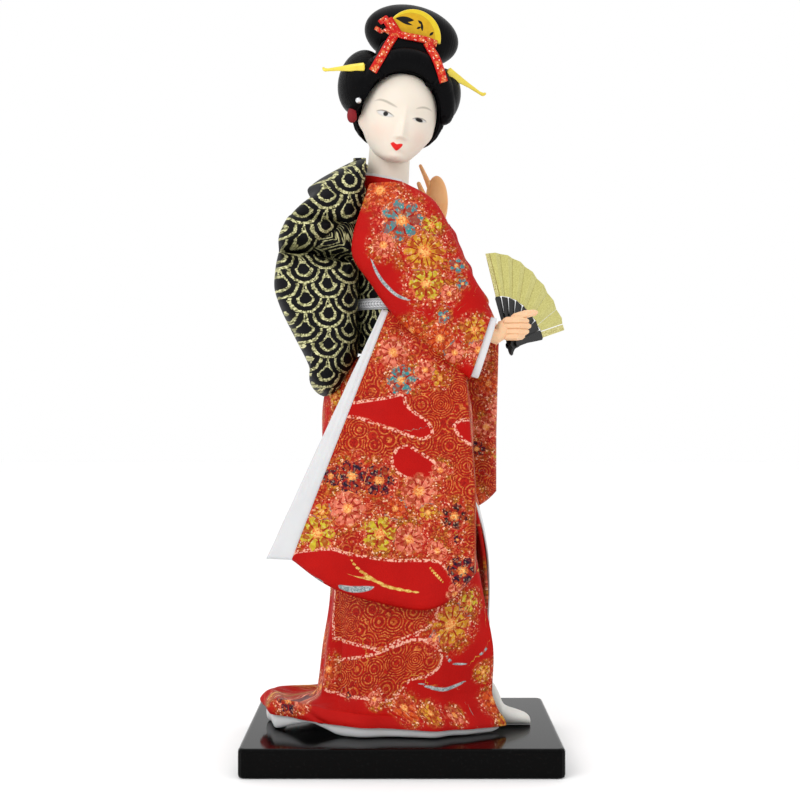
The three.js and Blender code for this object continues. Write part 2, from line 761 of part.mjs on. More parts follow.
// Sleeve tube: rings between a rear and a front edge point, given as shares of reach and drop.
const rightArmShares = [
  [-0.15, 0.02, 0.16, 0.015, 0.5], [-0.22, 0.14, 0.38, 0.085, 0.82], [-0.29, 0.27, 0.5, 0.17, 1],
  [-0.29, 0.38, 0.65, 0.34, 1], [-0.14, 0.5, 0.8, 0.5, 1], [0.06, 0.65, 0.905, 0.585, 1],
  [0.4, 0.82, 0.9, 0.62, 0.95], [0.755, 0.965, 0.935, 0.66, 0.86],
];
const leftArmShares = [
  [-0.12, 0.02, 0.14, 0.015, 0.5], [-0.2, 0.14, 0.3, 0.085, 0.82], [-0.22, 0.27, 0.42, 0.17, 1],
  [-0.1, 0.4, 0.6, 0.3, 1], [0.1, 0.55, 0.85, 0.45, 1], [0.35, 0.72, 1.02, 0.62, 1],
  [0.62, 0.84, 1.07, 0.72, 0.7],
];
function armRings(shares, side, inset, mouth = 0) {
  const rings = shares.map(([rearShare, rearDropShare, frontShare, frontDropShare, depthShare]) => {
    const rear = point(shoulderX + armReach * rearShare, 0, shoulderHeight - armDrop * rearDropShare);
    const front = point(shoulderX + armReach * frontShare, 0, shoulderHeight - armDrop * frontDropShare);
    const centre = rear.clone().add(front).multiplyScalar(0.5);
    const across = front.clone().sub(rear).multiplyScalar(0.5);
    const halfWidth = across.length() - inset;
    across.normalize();
    const halfDepth = sleeveHalfDepth * depthShare;
    return range(sleeveSides).map(i => {
      const angle = TURN * i / sleeveSides;
      const p = centre.clone().addScaledVector(across, halfWidth * Math.cos(angle));
      p.y = side * (sleeveInner + halfDepth) + (halfDepth - inset) * Math.sin(angle);
      return p;
    });
  });
  if (mouth) rings.push(rings.at(-1).map(p => point(p.x + mouth, p.y, p.z - mouth * mouthSlope)));
  return rings;
}

// Sleeve bag: rows run down from the arm, columns from the rear edge to the front edge.
function bagGrids(spec, inset, rearReach, least = liningWall / 4) {
  const rows = 9;
  const columns = 8;
  const grid = face => range(rows).map(row => range(columns).map(column => {
    const down = row / (rows - 1);
    const rearX = mix(spec.rearTopX, spec.rearBottomX, down);
    const frontX = mix(spec.frontTopX, spec.frontBottomX, Math.min(1, down * 1.6));
    const x = mix(rearX - rearReach(down), frontX - inset, column / (columns - 1));
    const along = (x - rearX) / (frontX - rearX);
    const span = Math.max(along, 0);
    const rearZ = mix(spec.rearTopZ, spec.rearBottomZ, down);
    const frontZ = mix(spec.frontTopZ, spec.frontBottomZ, down);
    const hang = 1 - Math.abs(2 * span ** 1.15 - 1) ** 3;
    const sag = (spec.sag - inset) * hang * down ** 2;
    const fullness = Math.sqrt(Math.sin(Math.PI * mix(0.14, 0.86, span))) * mix(1, 0.62, down ** 3);
    const wave = bagFold * Math.sin(TURN * (1.6 * span + 0.4 * down)) * down;
    const half = Math.max(bagHalfThickness * fullness - inset, least);
    const middle = spec.side * (sleeveInner + sleeveHalfDepth + bagLean * Math.min(1, down * 1.5)) + wave;
    return point(x, middle + face * half, mix(rearZ, frontZ, along) - sag);
  }));
  return [grid(-1), grid(1)];
}

const rightBag = {
  side: -1,
  rearTopX: shoulderX + armReach * 0.015,
  rearTopZ: shoulderHeight - armDrop * 0.64,
  rearBottomX: shoulderX + armReach * 0.8 - rightBagWidth,
  rearBottomZ: shoulderHeight - armDrop * 0.65 - rightBagDrop,
  frontTopX: shoulderX + armReach * 0.7,
  frontTopZ: shoulderHeight - armDrop * 0.78,
  frontBottomX: shoulderX + armReach * 0.8,
  frontBottomZ: shoulderHeight - armDrop * 0.69 - rightBagDrop,
  sag: rightBagSag,
};
const leftBag = {
  side: 1,
  rearTopX: shoulderX + armReach * 0.3,
  rearTopZ: shoulderHeight - armDrop * 0.6,
  rearBottomX: shoulderX + armReach * 0.95 - leftBagWidth,
  rearBottomZ: shoulderHeight - armDrop * 0.55 - leftBagDrop,
  frontTopX: shoulderX + armReach * 1.0,
  frontTopZ: shoulderHeight - armDrop * 0.7,
  frontBottomX: shoulderX + armReach * 0.95,
  frontBottomZ: shoulderHeight - armDrop * 0.6 - leftBagDrop,
  sag: leftBagSag,
};

function makeRightSleeve() {
  const tube = loft(armRings(rightArmShares, -1, 0));
  const bag = slab(...bagGrids(rightBag, 0, () => 0));
  const tubeHollow = loft(armRings(rightArmShares, -1, brocadeWall, overrun));
  const bagHollow = slab(...bagGrids(rightBag, brocadeWall, () => overrun, liningWall / 2));
  return cut(join(tube, bag), tubeHollow, bagHollow, armHole(-1));
}

// Raised forearm of the left sleeve, from the elbow up to its open mouth.
function forearmRings(inset, mouth) {
  const elbow = point(elbowX, sleeveInner + sleeveHalfDepth, elbowHeight);
  const wrist = point(leftMouthX, leftHandY, leftMouthHeight);
  const along = wrist.clone().sub(elbow).normalize();
  const stations = [[0, 1.1], [0.35, 1.06], [0.7, 1], [1, 0.94]];
  const across = point(along.z, 0, -along.x).normalize();
  const rings = stations.map(([share, sizeShare]) => {
    const centre = elbow.clone().lerp(wrist, share);
    return range(sleeveSides).map(i => {
      const angle = TURN * i / sleeveSides;
      return centre.clone().addScaledVector(across, (leftArmHalfDepth * sizeShare - inset) * Math.cos(angle))
        .add(point(0, (leftArmHalfDepth * sizeShare - inset) * Math.sin(angle), 0));
    });
  });
  if (mouth) rings.push(rings.at(-1).map(p => p.clone().addScaledVector(along, mouth)));
  return rings;
}

function makeLeftSleeve() {
  const outside = join(loft(armRings(leftArmShares, 1, 0)), slab(...bagGrids(leftBag, 0, () => 0)),
    loft(forearmRings(0, 0)));
  return cut(outside, loft(armRings(leftArmShares, 1, brocadeWall)), loft(forearmRings(brocadeWall, overrun)),
    slab(...bagGrids(leftBag, brocadeWall, () => overrun, liningWall / 2)), armHole(1));
}

// White lining of a bag: two layers that lie together in it and hang out along the open rear edge.
function makeSleeveLining(spec, tube) {
  const band = down => mix(liningBandTop, liningBandBottom, down);
  const inset = brocadeWall + fit + liningWall;
  return cut(slab(...bagGrids(spec, inset, band, (liningWall - fit) / 4)), tube);
}

// White cuff at the right sleeve's mouth.
function makeRightCuff() {
  const rings = inset => {
    const last = armRings(rightArmShares, -1, inset).at(-1);
    return [fit, fit + cuffWidth].map(run => last.map(p => point(p.x + run, p.y, p.z - run * mouthSlope)));
  };
  return shell(rings(0), rings(liningWall));
}

function makeLeftCuff() {
  const rings = inset => {
    const all = forearmRings(inset, fit);
    const ahead = forearmRings(inset, fit + cuffWidth);
    return [all.at(-1), ahead.at(-1)];
  };
  return cut(shell(rings(0), rings(liningWall)), loft(armRings(leftArmShares, 1, -fit)));
}

// Arm wire: from its bore in the torso through the sleeve into the hand.
function wireAlong(points) {
  const curve = new THREE.CatmullRomCurve3(points, false, 'centripetal');
  const section = new THREE.Shape();
  section.absarc(0, 0, armWireRadius, 0, TURN);
  return new THREE.ExtrudeGeometry(section, { steps: 18, extrudePath: curve, curveSegments: 3,
    bevelEnabled: false });
}

const armDepth = sleeveInner + sleeveHalfDepth;
const rightWirePoints = [
  point(shoulderX, -overrun - fit, shoulderHeight - sleeveHalfDepth),
  point(shoulderX, -shoulderHalfWidth * 0.7, shoulderHeight - sleeveHalfDepth),
  point(shoulderX, -shoulderHalfWidth, shoulderHeight - sleeveHalfDepth),
  point(shoulderX + armReach * 0.04, -armDepth, shoulderHeight - armDrop * 0.22),
  point(shoulderX + armReach * 0.34, -armDepth, shoulderHeight - armDrop * 0.5),
  point(shoulderX + armReach * 0.7, -armDepth, shoulderHeight - armDrop * 0.7),
];
const leftWirePoints = [
  point(shoulderX, overrun + fit, shoulderHeight - sleeveHalfDepth),
  point(shoulderX, shoulderHalfWidth * 0.7, shoulderHeight - sleeveHalfDepth),
  point(shoulderX, shoulderHalfWidth, shoulderHeight - sleeveHalfDepth),
  point(shoulderX + armReach * 0.04, armDepth, shoulderHeight - armDrop * 0.24),
  point(shoulderX + armReach * 0.45, armDepth, shoulderHeight - armDrop * 0.52),
  point(elbowX - armWireRadius, armDepth, elbowHeight),
  point(mix(elbowX, leftMouthX, 0.42), armDepth, mix(elbowHeight, leftMouthHeight, 0.42)),
];

// Right hand: a closed fist round the fan, with a slot in the fan's plane.
const fingerShares = [[0.62, 0.44], [0.72, 0.1], [0.62, -0.26], [0.42, -0.58]];
function makeRightHand() {
  const centre = point(fistX, fistY, fistHeight);
  const r = fistRadius;
  const palm = ellipsoid(centre, r, r * 0.94, r * 0.84);
  const fingers = fingerShares.map(([outShare, upShare]) => limb([
    centre.clone().add(point(-r * 0.45, -r * 0.72, r * upShare)),
    centre.clone().add(point(r * outShare * 0.5, -r * 1.02, r * upShare)),
    centre.clone().add(point(r * outShare * 1.3, -r * 0.7, r * upShare * 0.96)),
  ], [fingerRadius, fingerRadius * 1.06, fingerRadius * 0.9]));
  const thumb = limb([
    centre.clone().add(point(r * 0.1, -r * 0.72, r * 0.62)),
    centre.clone().add(point(r * 0.8, -r * 0.62, r * 0.86)),
    centre.clone().add(point(r * 1.42, -r * 0.35, r * 0.98)),
  ], [fingerRadius * 1.2, fingerRadius * 1.1, fingerRadius * 0.8]);
  const wireEnd = rightWirePoints.at(-1);
  const wrist = limb([centre.clone().add(point(-r * 0.5, -r * 0.3, 0)),
    centre.clone().add(point(-r * 1.1, -r * 0.85, -r * 0.6)),
    wireEnd.clone().add(point(wristRadius, 0, 0)).add(wireEnd.clone().sub(rightWirePoints.at(-2))
      .setLength(wristRadius))],
  [wristRadius * 1.2, wristRadius, wristRadius * 1.05], 10);
  return join(palm, ...fingers, thumb, wrist);
}

// Left hand: raised, with the forefinger up and the other fingers folded.
function makeLeftHand() {
  const centre = point(leftHandX, leftHandY, leftHandHeight);
  const unit = leftHandLength;
  const at = (x, y, z) => centre.clone().add(point(unit * x, unit * y, unit * z));
  const palm = ellipsoid(centre, unit * 0.18, unit * 0.12, unit * 0.25);
  const forefinger = limb([at(-0.06, 0, 0.16), at(-0.17, 0, 0.36), at(-0.26, 0, 0.58)],
    [fingerRadius * 1.1, fingerRadius, fingerRadius * 0.8]);
  const folded = [0, 1, 2].map(i => limb([at(0.03 + 0.05 * i, 0.03, 0.2 - 0.05 * i),
    at(-0.02 + 0.04 * i, -0.1, 0.29 - 0.07 * i), at(-0.1 + 0.03 * i, -0.12, 0.17 - 0.07 * i)],
  [fingerRadius * 1.1, fingerRadius, fingerRadius * 0.85]));
  const thumb = limb([at(-0.1, -0.03, -0.06), at(-0.2, -0.05, 0.06), at(-0.28, -0.05, 0.17)],
    [fingerRadius * 1.25, fingerRadius * 1.05, fingerRadius * 0.8]);
  const wireEnd = leftWirePoints.at(-1);
  const back = wireEnd.clone().sub(leftWirePoints.at(-2)).setLength(wristRadius + fit);
  const wrist = limb([at(0, 0, -0.12), at(-0.02, 0, -0.4), wireEnd.clone().add(back)],
    [wristRadius, wristRadius * 0.92, wristRadius], 10);
  return join(palm, forefinger, ...folded, thumb, wrist);
}

// Fan frame: its guard stands along one direction and the sticks spread toward the other.
const guardDirection = point(-Math.sin(fanLean), 0, Math.cos(fanLean));
const spreadHeading = 51 * Math.PI / 180;
const spreadDirection = point(Math.cos(spreadHeading), Math.sin(spreadHeading), 0);
spreadDirection.addScaledVector(guardDirection, -spreadDirection.dot(guardDirection)).normalize();
const fanNormal = guardDirection.clone().cross(spreadDirection);
const fanFrame = new THREE.Matrix4().makeBasis(spreadDirection, guardDirection, fanNormal.clone().negate());
fanFrame.setPosition(fanPivotX, fanPivotY, fanPivotHeight);
const fanStep = fanSpread / (fanSticks - 1);
const layer = index => (index - (fanSticks - 1) / 2) * stickPitch;

// In the fan's frame the pivot is the origin, the guard lies along +Y and angles open toward +X.
const fanPoint = (radius, angle, level) => point(radius * Math.sin(angle), radius * Math.cos(angle), level);

function makeStick(index) {
  const isGuard = index === 0 || index === fanSticks - 1;
  const reach = isGuard ? fanRadius : fanLeafInner - fit;
  const outline = new THREE.Shape();
  const half = stickWidth / 2;
  outline.absarc(0, 0, stickEye, Math.PI, TURN);
  outline.lineTo(half * 0.8, fanLeafInner * 0.35);
  outline.lineTo(isGuard ? half : half * 0.62, reach - half);
  outline.lineTo(isGuard ? half * 0.7 : half * 0.4, reach);
  outline.lineTo(isGuard ? -half * 0.7 : -half * 0.4, reach);
  outline.lineTo(isGuard ? -half : -half * 0.62, reach - half);
  outline.lineTo(-half * 0.8, fanLeafInner * 0.35);
  const eye = new THREE.Path();
  eye.absarc(0, 0, rivetRadius + fit, 0, TURN, true);
  outline.holes.push(eye);
  return new THREE.ExtrudeGeometry(outline, { depth: stickThickness, bevelEnabled: false, curveSegments: 3 })
    .translate(0, 0, layer(index) - stickThickness / 2).rotateZ(-fanStep * index).applyMatrix4(fanFrame);
}

// One pleat of the leaf: two facets that rise to a fold between neighbouring sticks.
function makeLeafPanel(index) {
  const start = fanStep * index;
  const stop = start + fanStep;
  const guardHalf = radius => (stickWidth / 2 + fit) / radius;
  const startGap = radius => (index === 0 ? guardHalf(radius) : fit / 2 / radius);
  const stopGap = radius => (index === fanSticks - 2 ? guardHalf(radius) : fit / 2 / radius);
  const grid = offset => [fanLeafInner, fanRadius].map(radius => [
    fanPoint(radius, start + startGap(radius), layer(index) + offset),
    fanPoint(radius, mix(start, stop, 0.5), mix(layer(index), layer(index + 1), 0.5) + offset
      + pleatHeight * radius / fanRadius),
    fanPoint(radius, stop - stopGap(radius), layer(index + 1) + offset),
  ]);
  return slab(grid(leafThickness / 2), grid(-leafThickness / 2)).applyMatrix4(fanFrame);
}

function makeRivet() {
  const reach = layer(fanSticks - 1) + stickThickness / 2 + fit;
  const profile = [[0, -reach - rivetHeadThickness], [rivetHeadRadius, -reach - rivetHeadThickness],
    [rivetHeadRadius, -reach], [rivetRadius, -reach], [rivetRadius, reach], [rivetHeadRadius, reach],
    [rivetHeadRadius, reach + rivetHeadThickness], [0, reach + rivetHeadThickness]];
  return new THREE.LatheGeometry(profile.map(([x, y]) => new THREE.Vector2(x, y)), 12)
    .rotateX(Math.PI / 2).applyMatrix4(fanFrame);
}

// The slot that lets the fan lie in the fist: open on the side to which the sticks spread.
function fistSlot() {
  const reach = layer(fanSticks - 1) + stickThickness / 2 + rivetHeadThickness + 2 * fit;
  const back = rivetHeadRadius + stickEye;
  return new THREE.BoxGeometry(fanRadius + back, 2 * fanRadius, 2 * reach)
    .translate((fanRadius - back) / 2, 0, 0).applyMatrix4(fanFrame);
}

// Head: an egg with a narrowing jaw, a nose, lips and a neck, in the head's frame.
function headPoint(longitude, latitude, grow) {
  const up = Math.sin(latitude);
  const round = Math.cos(latitude);
  const across = Math.sin(longitude);
  const front = -Math.cos(longitude);
  const jaw = up < 0 ? 1 - 0.3 * Math.sin(Math.PI / 2 * Math.min(1, -up / 0.8)) ** 2 : 1;
  const isFace = Math.max(0, -front);
  const nose = noseRise * isFace * Math.exp(-((across / 0.13) ** 2)) * Math.exp(-(((up + 0.22) / 0.14) ** 2));
  const x = (faceHalfWidth + liningWall * Math.max(0, front)) * jaw * round * across;
  const y = headHalfDepth * round * front * (front < 0 ? 0.96 : 1) * (up < 0 ? 1 + 0.1 * up * front : 1);
  const z = up > 0 ? crownRise * up : chinDrop * up;
  const p = point(x, y - nose, z);
  return p.addScaledVector(p.clone().normalize(), grow);
}

function headShape(grow, columns, rows) {
  return loft(range(rows - 1).map(row => {
    const latitude = Math.PI * ((row + 1) / rows - 0.5);
    return range(columns).map(i => headPoint(TURN * i / columns, latitude, grow));
  }));
}

// A world point of the figure in the head's own frame, and the neck's line there.
faceGroup.updateWorldMatrix(true, false);
headGroup.updateWorldMatrix(true, false);
doll.updateMatrixWorld(true);
const toHead = faceGroup.matrixWorld.clone().invert();
const inHead = p => p.clone().add(point(0, 0, boardThickness)).applyMatrix4(toHead);

function makeHead() {
  const neck = bar(inHead(neckLine(0)), inHead(neckLine(1)), neckRadius, neckSides);
  const bore = bar(inHead(neckLine(0, -overrun)), inHead(neckLine(0, pegInTorso + fit)),
    pegRadius + fit, pegSides);
  return cut(join(headShape(0, faceColumns, faceRows), neck), bore);
}

// Hair pieces, each cut by what it lies against.
const capCentre = point(0, headHalfDepth * 0.13, capRise * 0.22);
const capShape = grow => ellipsoid(capCentre, capHalfWidth + grow, capHalfDepth + grow,
  capRise - capCentre.z + grow, capColumns, capRows);
const faceWindow = () => ellipsoid(point(0, -headHalfDepth * 1.1, -chinDrop * 0.42), faceHalfWidth * 1.04,
  headHalfDepth * 1.35, chinDrop * 1.4, knotColumns, knotRows);
const neckClear = () => bar(inHead(neckLine(0, -overrun)), inHead(neckLine(1)), neckRadius + softFit,
  neckSides);
const wingShape = (side, grow) => ellipsoid(point(side * (wingReach - wingReach * 0.37), headHalfDepth * 0.02,
  capRise * 0.47), wingReach * 0.37 + grow, wingHalfDepth + grow, wingHalfHeight + grow);
const topknotShape = grow => ellipsoid(point(0, topknotBack, topknotCentre), knotHalfSpan + grow,
  topknotHalfDepth + grow, topknotHalfHeight + grow, knotColumns, knotRows);
const napeShape = grow => ellipsoid(point(0, napeReach * 0.66, -chinDrop * 0.3), capHalfWidth * 0.62 + grow,
  napeReach * 0.34 + grow, chinDrop * 0.5 + grow, smallColumns, smallRows);

function frontRollShape(grow) {
  const stations = 13;
  return limb(range(stations).map(i => {
    const angle = Math.PI * mix(0.1, 0.9, i / (stations - 1));
    return point(faceHalfWidth * 1.14 * Math.cos(angle), -headHalfDepth * mix(0.3, 0.56, Math.sin(angle)),
      capRise * 0.12 + crownRise * 0.92 * Math.sin(angle));
  }), range(stations).map(i => frontRollRadius * mix(0.72, 1, Math.sin(Math.PI * i / (stations - 1))) + grow),
  8);
}

function hairpinOutline(grow, stretch) {
  const shape = new THREE.Shape();
  const half = hairpinWidth / 2 + grow;
  const tip = hairpinTipWidth / 2 + grow;
  const run = (hairpinOuter - hairpinInner) / Math.cos(hairpinSlope) + stretch;
  const flare = stretch ? half : tip;
  shape.moveTo(-grow, -half);
  shape.lineTo(run * 0.62, -half);
  shape.lineTo(run, -flare);
  shape.lineTo(run, flare);
  shape.lineTo(run * 0.62, half);
  shape.lineTo(-grow, half);
  return shape;
}

// Hairpin: a flat bar that flares to its outer end, laid through the hair beside the topknot.
function hairpinShape(side, grow, stretch) {
  return new THREE.ExtrudeGeometry(hairpinOutline(grow, stretch), {
    depth: hairpinThickness + 2 * grow, bevelEnabled: false })
    .translate(0, 0, -hairpinThickness / 2 - grow).rotateX(Math.PI / 2)
    .rotateY(hairpinSlope).translate(hairpinInner, 0, hairpinHeight)
    .scale(side, 1, 1);
}

function turnedOut(geometry) {
  const solidPoints = mergeVertices(geometry.clone().deleteAttribute('normal').deleteAttribute('uv'), weld);
  const position = solidPoints.getAttribute('position');
  const points = range(position.count).map(i => point(position.getX(i), position.getY(i), position.getZ(i)));
  const index = Array.from(solidPoints.index.array);
  const triangles = range(index.length / 3).map(i => index.slice(3 * i, 3 * i + 3));
  return geometryFrom(points, triangles);
}

const hairpin = side => turnedOut(hairpinShape(side, 0, 0));
const hairpinSlot = side => turnedOut(hairpinShape(side, fit, overrun));

// Comb: a half-moon plate with a row of teeth that stand in the hair in front of the topknot.
const combPlane = -(topknotHalfDepth - topknotBack) - combThickness - 2 * fit;
function combShape(grow, withTeeth) {
  const plate = new THREE.Shape();
  plate.absarc(0, 0, combRadius + grow, 0, Math.PI);
  const toothSpan = combRadius * 1.5;
  const pitch = toothSpan / combTeeth;
  if (withTeeth) {
    for (const i of range(combTeeth)) {
      const left = -toothSpan / 2 + pitch * i + pitch * 0.2;
      plate.lineTo(left, 0);
      plate.lineTo(left + pitch * 0.1, -combToothLength);
      plate.lineTo(left + pitch * 0.5, -combToothLength);
      plate.lineTo(left + pitch * 0.6, 0);
    }
  } else {
    plate.lineTo(-toothSpan / 2 - grow, 0);
    plate.lineTo(-toothSpan / 2 - grow, -combToothLength - grow);
    plate.lineTo(toothSpan / 2 + grow, -combToothLength - grow);
    plate.lineTo(toothSpan / 2 + grow, 0);
  }
  return new THREE.ExtrudeGeometry(plate, { depth: combThickness + 2 * grow, bevelEnabled: false,
    curveSegments: 16 })
    .translate(0, 0, -combThickness / 2 - grow).rotateX(Math.PI / 2)
    .translate(0, combPlane + combThickness / 2, combCentre);
}

// Ribbon: strips laid over the hair, each point standing just off the surface in front.
const hairSurface = [];
function frontOf(x, z) {
  const caster = new THREE.Raycaster(point(x, -2 * fanRadius, z), point(0, 1, 0));
  const hits = hairSurface.flatMap(mesh => caster.intersectObject(mesh));
  return hits.length ? Math.min(...hits.map(hit => hit.point.y)) : -topknotBack;
}

function strip(path, width, steps, standOff) {
  const curve = new THREE.CatmullRomCurve3(path.map(([x, z]) => point(x, z, 0)), false, 'centripetal');
  const centres = curve.getPoints(steps);
  const places = centres.map((p, i) => {
    const ahead = centres[Math.min(i + 1, steps)];
    const behind = centres[Math.max(i - 1, 0)];
    const along = ahead.clone().sub(behind).normalize();
    const sideways = point(-along.y, along.x, 0).multiplyScalar(width / 2);
    const nearest = Math.min(...[-1, -0.5, 0, 0.5, 1].map(share =>
      frontOf(p.x + sideways.x * share, p.y + sideways.y * share)));
    return { p, sideways, y: nearest - standOff };
  });
  const grid = depth => places.map(({ p, sideways, y }, i) => {
    const level = Math.min(y, places[Math.max(i - 1, 0)].y, places[Math.min(i + 1, steps)].y);
    return [-1, 0, 1].map(share => point(p.x + sideways.x * share, level - depth, p.y + sideways.y * share));
  });
  return slab(grid(ribbonThickness), grid(0));
}

function makeHeadPieces() {
  const skull = () => headShape(2 * fit, skullColumns, skullRows);
  const slots = () => [hairpinSlot(-1), hairpinSlot(1)];
  const combSlot = () => turnedOut(combShape(fit, false));
  add(faceGroup, 'head', 'skin', makeHead());
  const cap = add(faceGroup, 'hair_cap', 'hair', cut(capShape(0), skull(), faceWindow(), neckClear(),
    ...slots(), combSlot()));
  const roll = add(faceGroup, 'hair_front_roll', 'hair', cut(frontRollShape(0), skull(), capShape(fit),
    combSlot()));
  const wings = [[-1, 'hair_wing_right'], [1, 'hair_wing_left']].map(([side, name]) => add(faceGroup, name,
    'hair', cut(wingShape(side, 0), skull(), capShape(fit), frontRollShape(fit), ...slots())));
  add(faceGroup, 'hair_nape_roll', 'hair', cut(napeShape(0), skull(), capShape(fit), neckClear(),
    wingShape(-1, fit), wingShape(1, fit)));
  const onWing = (across, outward, down) => point(-wingReach * across,
    headHalfDepth * 0.02 - wingHalfDepth * outward, capRise * 0.47 - wingHalfHeight * down);
  add(faceGroup, 'hair_bead', 'steel', cut(ellipsoid(onWing(0.71, 0.74, 0.74), beadRadius, beadRadius,
    beadRadius, smallColumns, smallRows), wingShape(-1, fit), frontRollShape(fit), capShape(fit), skull()));
  add(faceGroup, 'hair_side_cloth', 'ribbon', cut(ellipsoid(onWing(0.7, 0.2, 1.08), sideClothHalfWidth,
    sideClothHalfWidth, sideClothHalfHeight, smallColumns, smallRows), wingShape(-1, fit), capShape(fit),
    skull()));
  const base = ellipsoid(point(0, topknotBack, topknotCentre - topknotHalfHeight * 0.8), knotHalfSpan * 0.68,
    topknotHalfDepth * 0.8, topknotHalfHeight * 0.6);
  const topknot = add(faceGroup, 'hair_topknot', 'hair', cut(join(topknotShape(0), base), capShape(fit),
    frontRollShape(fit), ...slots(), combSlot()));
  add(faceGroup, 'comb', 'yellow', turnedOut(combShape(0, true)));
  add(faceGroup, 'hairpin_right', 'yellow', hairpin(-1));
  add(faceGroup, 'hairpin_left', 'yellow', hairpin(1));
  const combMesh = new THREE.Mesh(turnedOut(combShape(fit, false)), new THREE.MeshBasicMaterial({
    side: THREE.DoubleSide }));
  hairSurface.push(...[cap, roll, topknot, ...wings].map(mesh => new THREE.Mesh(mesh.geometry,
    new THREE.MeshBasicMaterial({ side: THREE.DoubleSide }))), combMesh);
  const top = ribbonRise;
  const low = ribbonRise - tailDrop;
  add(faceGroup, 'ribbon_band', 'ribbon', join(
    strip([[-ribbonKnotX, top], [0, top], [ribbonKnotX, top]], ribbonWidth, 8, fit),
    strip([[-ribbonKnotX, top], [-tailReach, top + ribbonWidth * 2]], ribbonWidth, 4, fit),
    strip([[-ribbonKnotX, top], [-tailReach, top + ribbonWidth * 0.4]], ribbonWidth, 4, fit),
    ellipsoid(point(-ribbonKnotX, frontOf(-ribbonKnotX, top) - fit - ribbonWidth / 2, top), ribbonWidth * 0.6,
      ribbonWidth / 2, ribbonWidth * 0.55, smallColumns, smallRows)));
  add(faceGroup, 'ribbon_tail_right', 'ribbon', strip([[-ribbonKnotX - ribbonWidth, top - ribbonWidth],
    [-mix(ribbonKnotX, tailReach, 0.7), mix(top, low, 0.5)], [-tailReach, low]], ribbonWidth, 7, fit));
  add(faceGroup, 'ribbon_tail_left', 'ribbon', strip([[ribbonKnotX, top - ribbonWidth],
    [mix(ribbonKnotX, tailReach, 0.6), mix(top, low, 0.5)], [tailReach, low]], ribbonWidth, 7, fit));
}

add(doll, 'base_board', 'lacquer', makeBoard());
add(figure, 'leg_wire_right', 'steel', makeLegWire(rightAnkleX, rightAnkleY));
add(figure, 'leg_wire_left', 'steel', makeLegWire(leftAnkleX, leftAnkleY));
add(figure, 'foot_right', 'white', makeFoot(rightAnkleX, rightAnkleY));
add(figure, 'foot_left', 'white', makeFoot(leftAnkleX, leftAnkleY));
add(figure, 'skirt_core', 'stuffing', makeSkirtCore());
add(figure, 'torso_core', 'stuffing', makeTorsoCore());
add(figure, 'neck_peg', 'wood', makeNeckPeg());
add(figure, 'underskirt', 'white', makeUnderskirt());
add(figure, 'kimono_skirt', 'brocade', makeSkirt());
add(figure, 'hem_lining', 'white', makeHemLining());
add(figure, 'kimono_bodice', 'brocade', makeBodice());
add(figure, 'collar', 'brocade', makeCollar(neckOpening - brocadeWall - fit, brocadeWall, collarRise));
add(figure, 'under_collar', 'white', makeCollar(neckOpening - 2 * (brocadeWall + fit), liningWall,
  collarRise + liningWall));
add(figure, 'obi_band', 'obi', ovalBand(fit, obiWall, obiBottom, obiHeight));
add(figure, 'obi_cord', 'silver', ovalBand(fit + obiWall + fit, obiCordWall,
  obiCordCentre - obiCordHeight / 2, obiCordHeight));
add(figure, 'obi_knot', 'obi', turnedOut(makeObiKnot()));
add(figure, 'obi_bow_upper', 'obi', makeBowUpper());
add(figure, 'obi_bow_lower', 'obi', makeBowLower());
add(figure, 'sleeve_right', 'brocade', makeRightSleeve());
add(figure, 'sleeve_left', 'brocade', makeLeftSleeve());
add(figure, 'sleeve_lining_right', 'white', makeSleeveLining(rightBag,
  loft(armRings(rightArmShares, -1, -fit))));
add(figure, 'sleeve_lining_left', 'white', makeSleeveLining(leftBag,
  join(loft(armRings(leftArmShares, 1, -fit)), loft(forearmRings(-fit, 0)))));
add(figure, 'cuff_right', 'white', makeRightCuff());
add(figure, 'cuff_left', 'white', makeLeftCuff());
add(figure, 'arm_wire_right', 'steel', wireAlong(rightWirePoints));
add(figure, 'arm_wire_left', 'steel', wireAlong(leftWirePoints));
add(figure, 'hand_right', 'peach', cut(makeRightHand(), fistSlot()));
add(figure, 'hand_left', 'peach', makeLeftHand());
const stickNames = ['fan_guard_near', ...range(fanSticks - 2).map(i => `fan_rib_${i + 1}`), 'fan_guard_far'];
for (const [index, name] of stickNames.entries()) {
  add(figure, name, 'stick', turnedOut(makeStick(index)));
}
for (const index of range(fanSticks - 1)) {
  add(figure, `fan_leaf_${index + 1}`, 'gold', makeLeafPanel(index));
}
add(figure, 'fan_rivet', 'gold', turnedOut(makeRivet()));
makeHeadPieces();

export default doll;
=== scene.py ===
"""A doll in a brocade kimono with a folding fan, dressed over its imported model.

The numbers are millimetres in the part's frame: X to the viewer's right, Y away from the viewer and
Z up, with the origin in the middle of the board's underside. The doll faces +X, so its right side
is the near one, and it turns its head toward the viewer.
"""

import logging
import math
from dataclasses import dataclass, field
from enum import IntEnum
from typing import Sequence

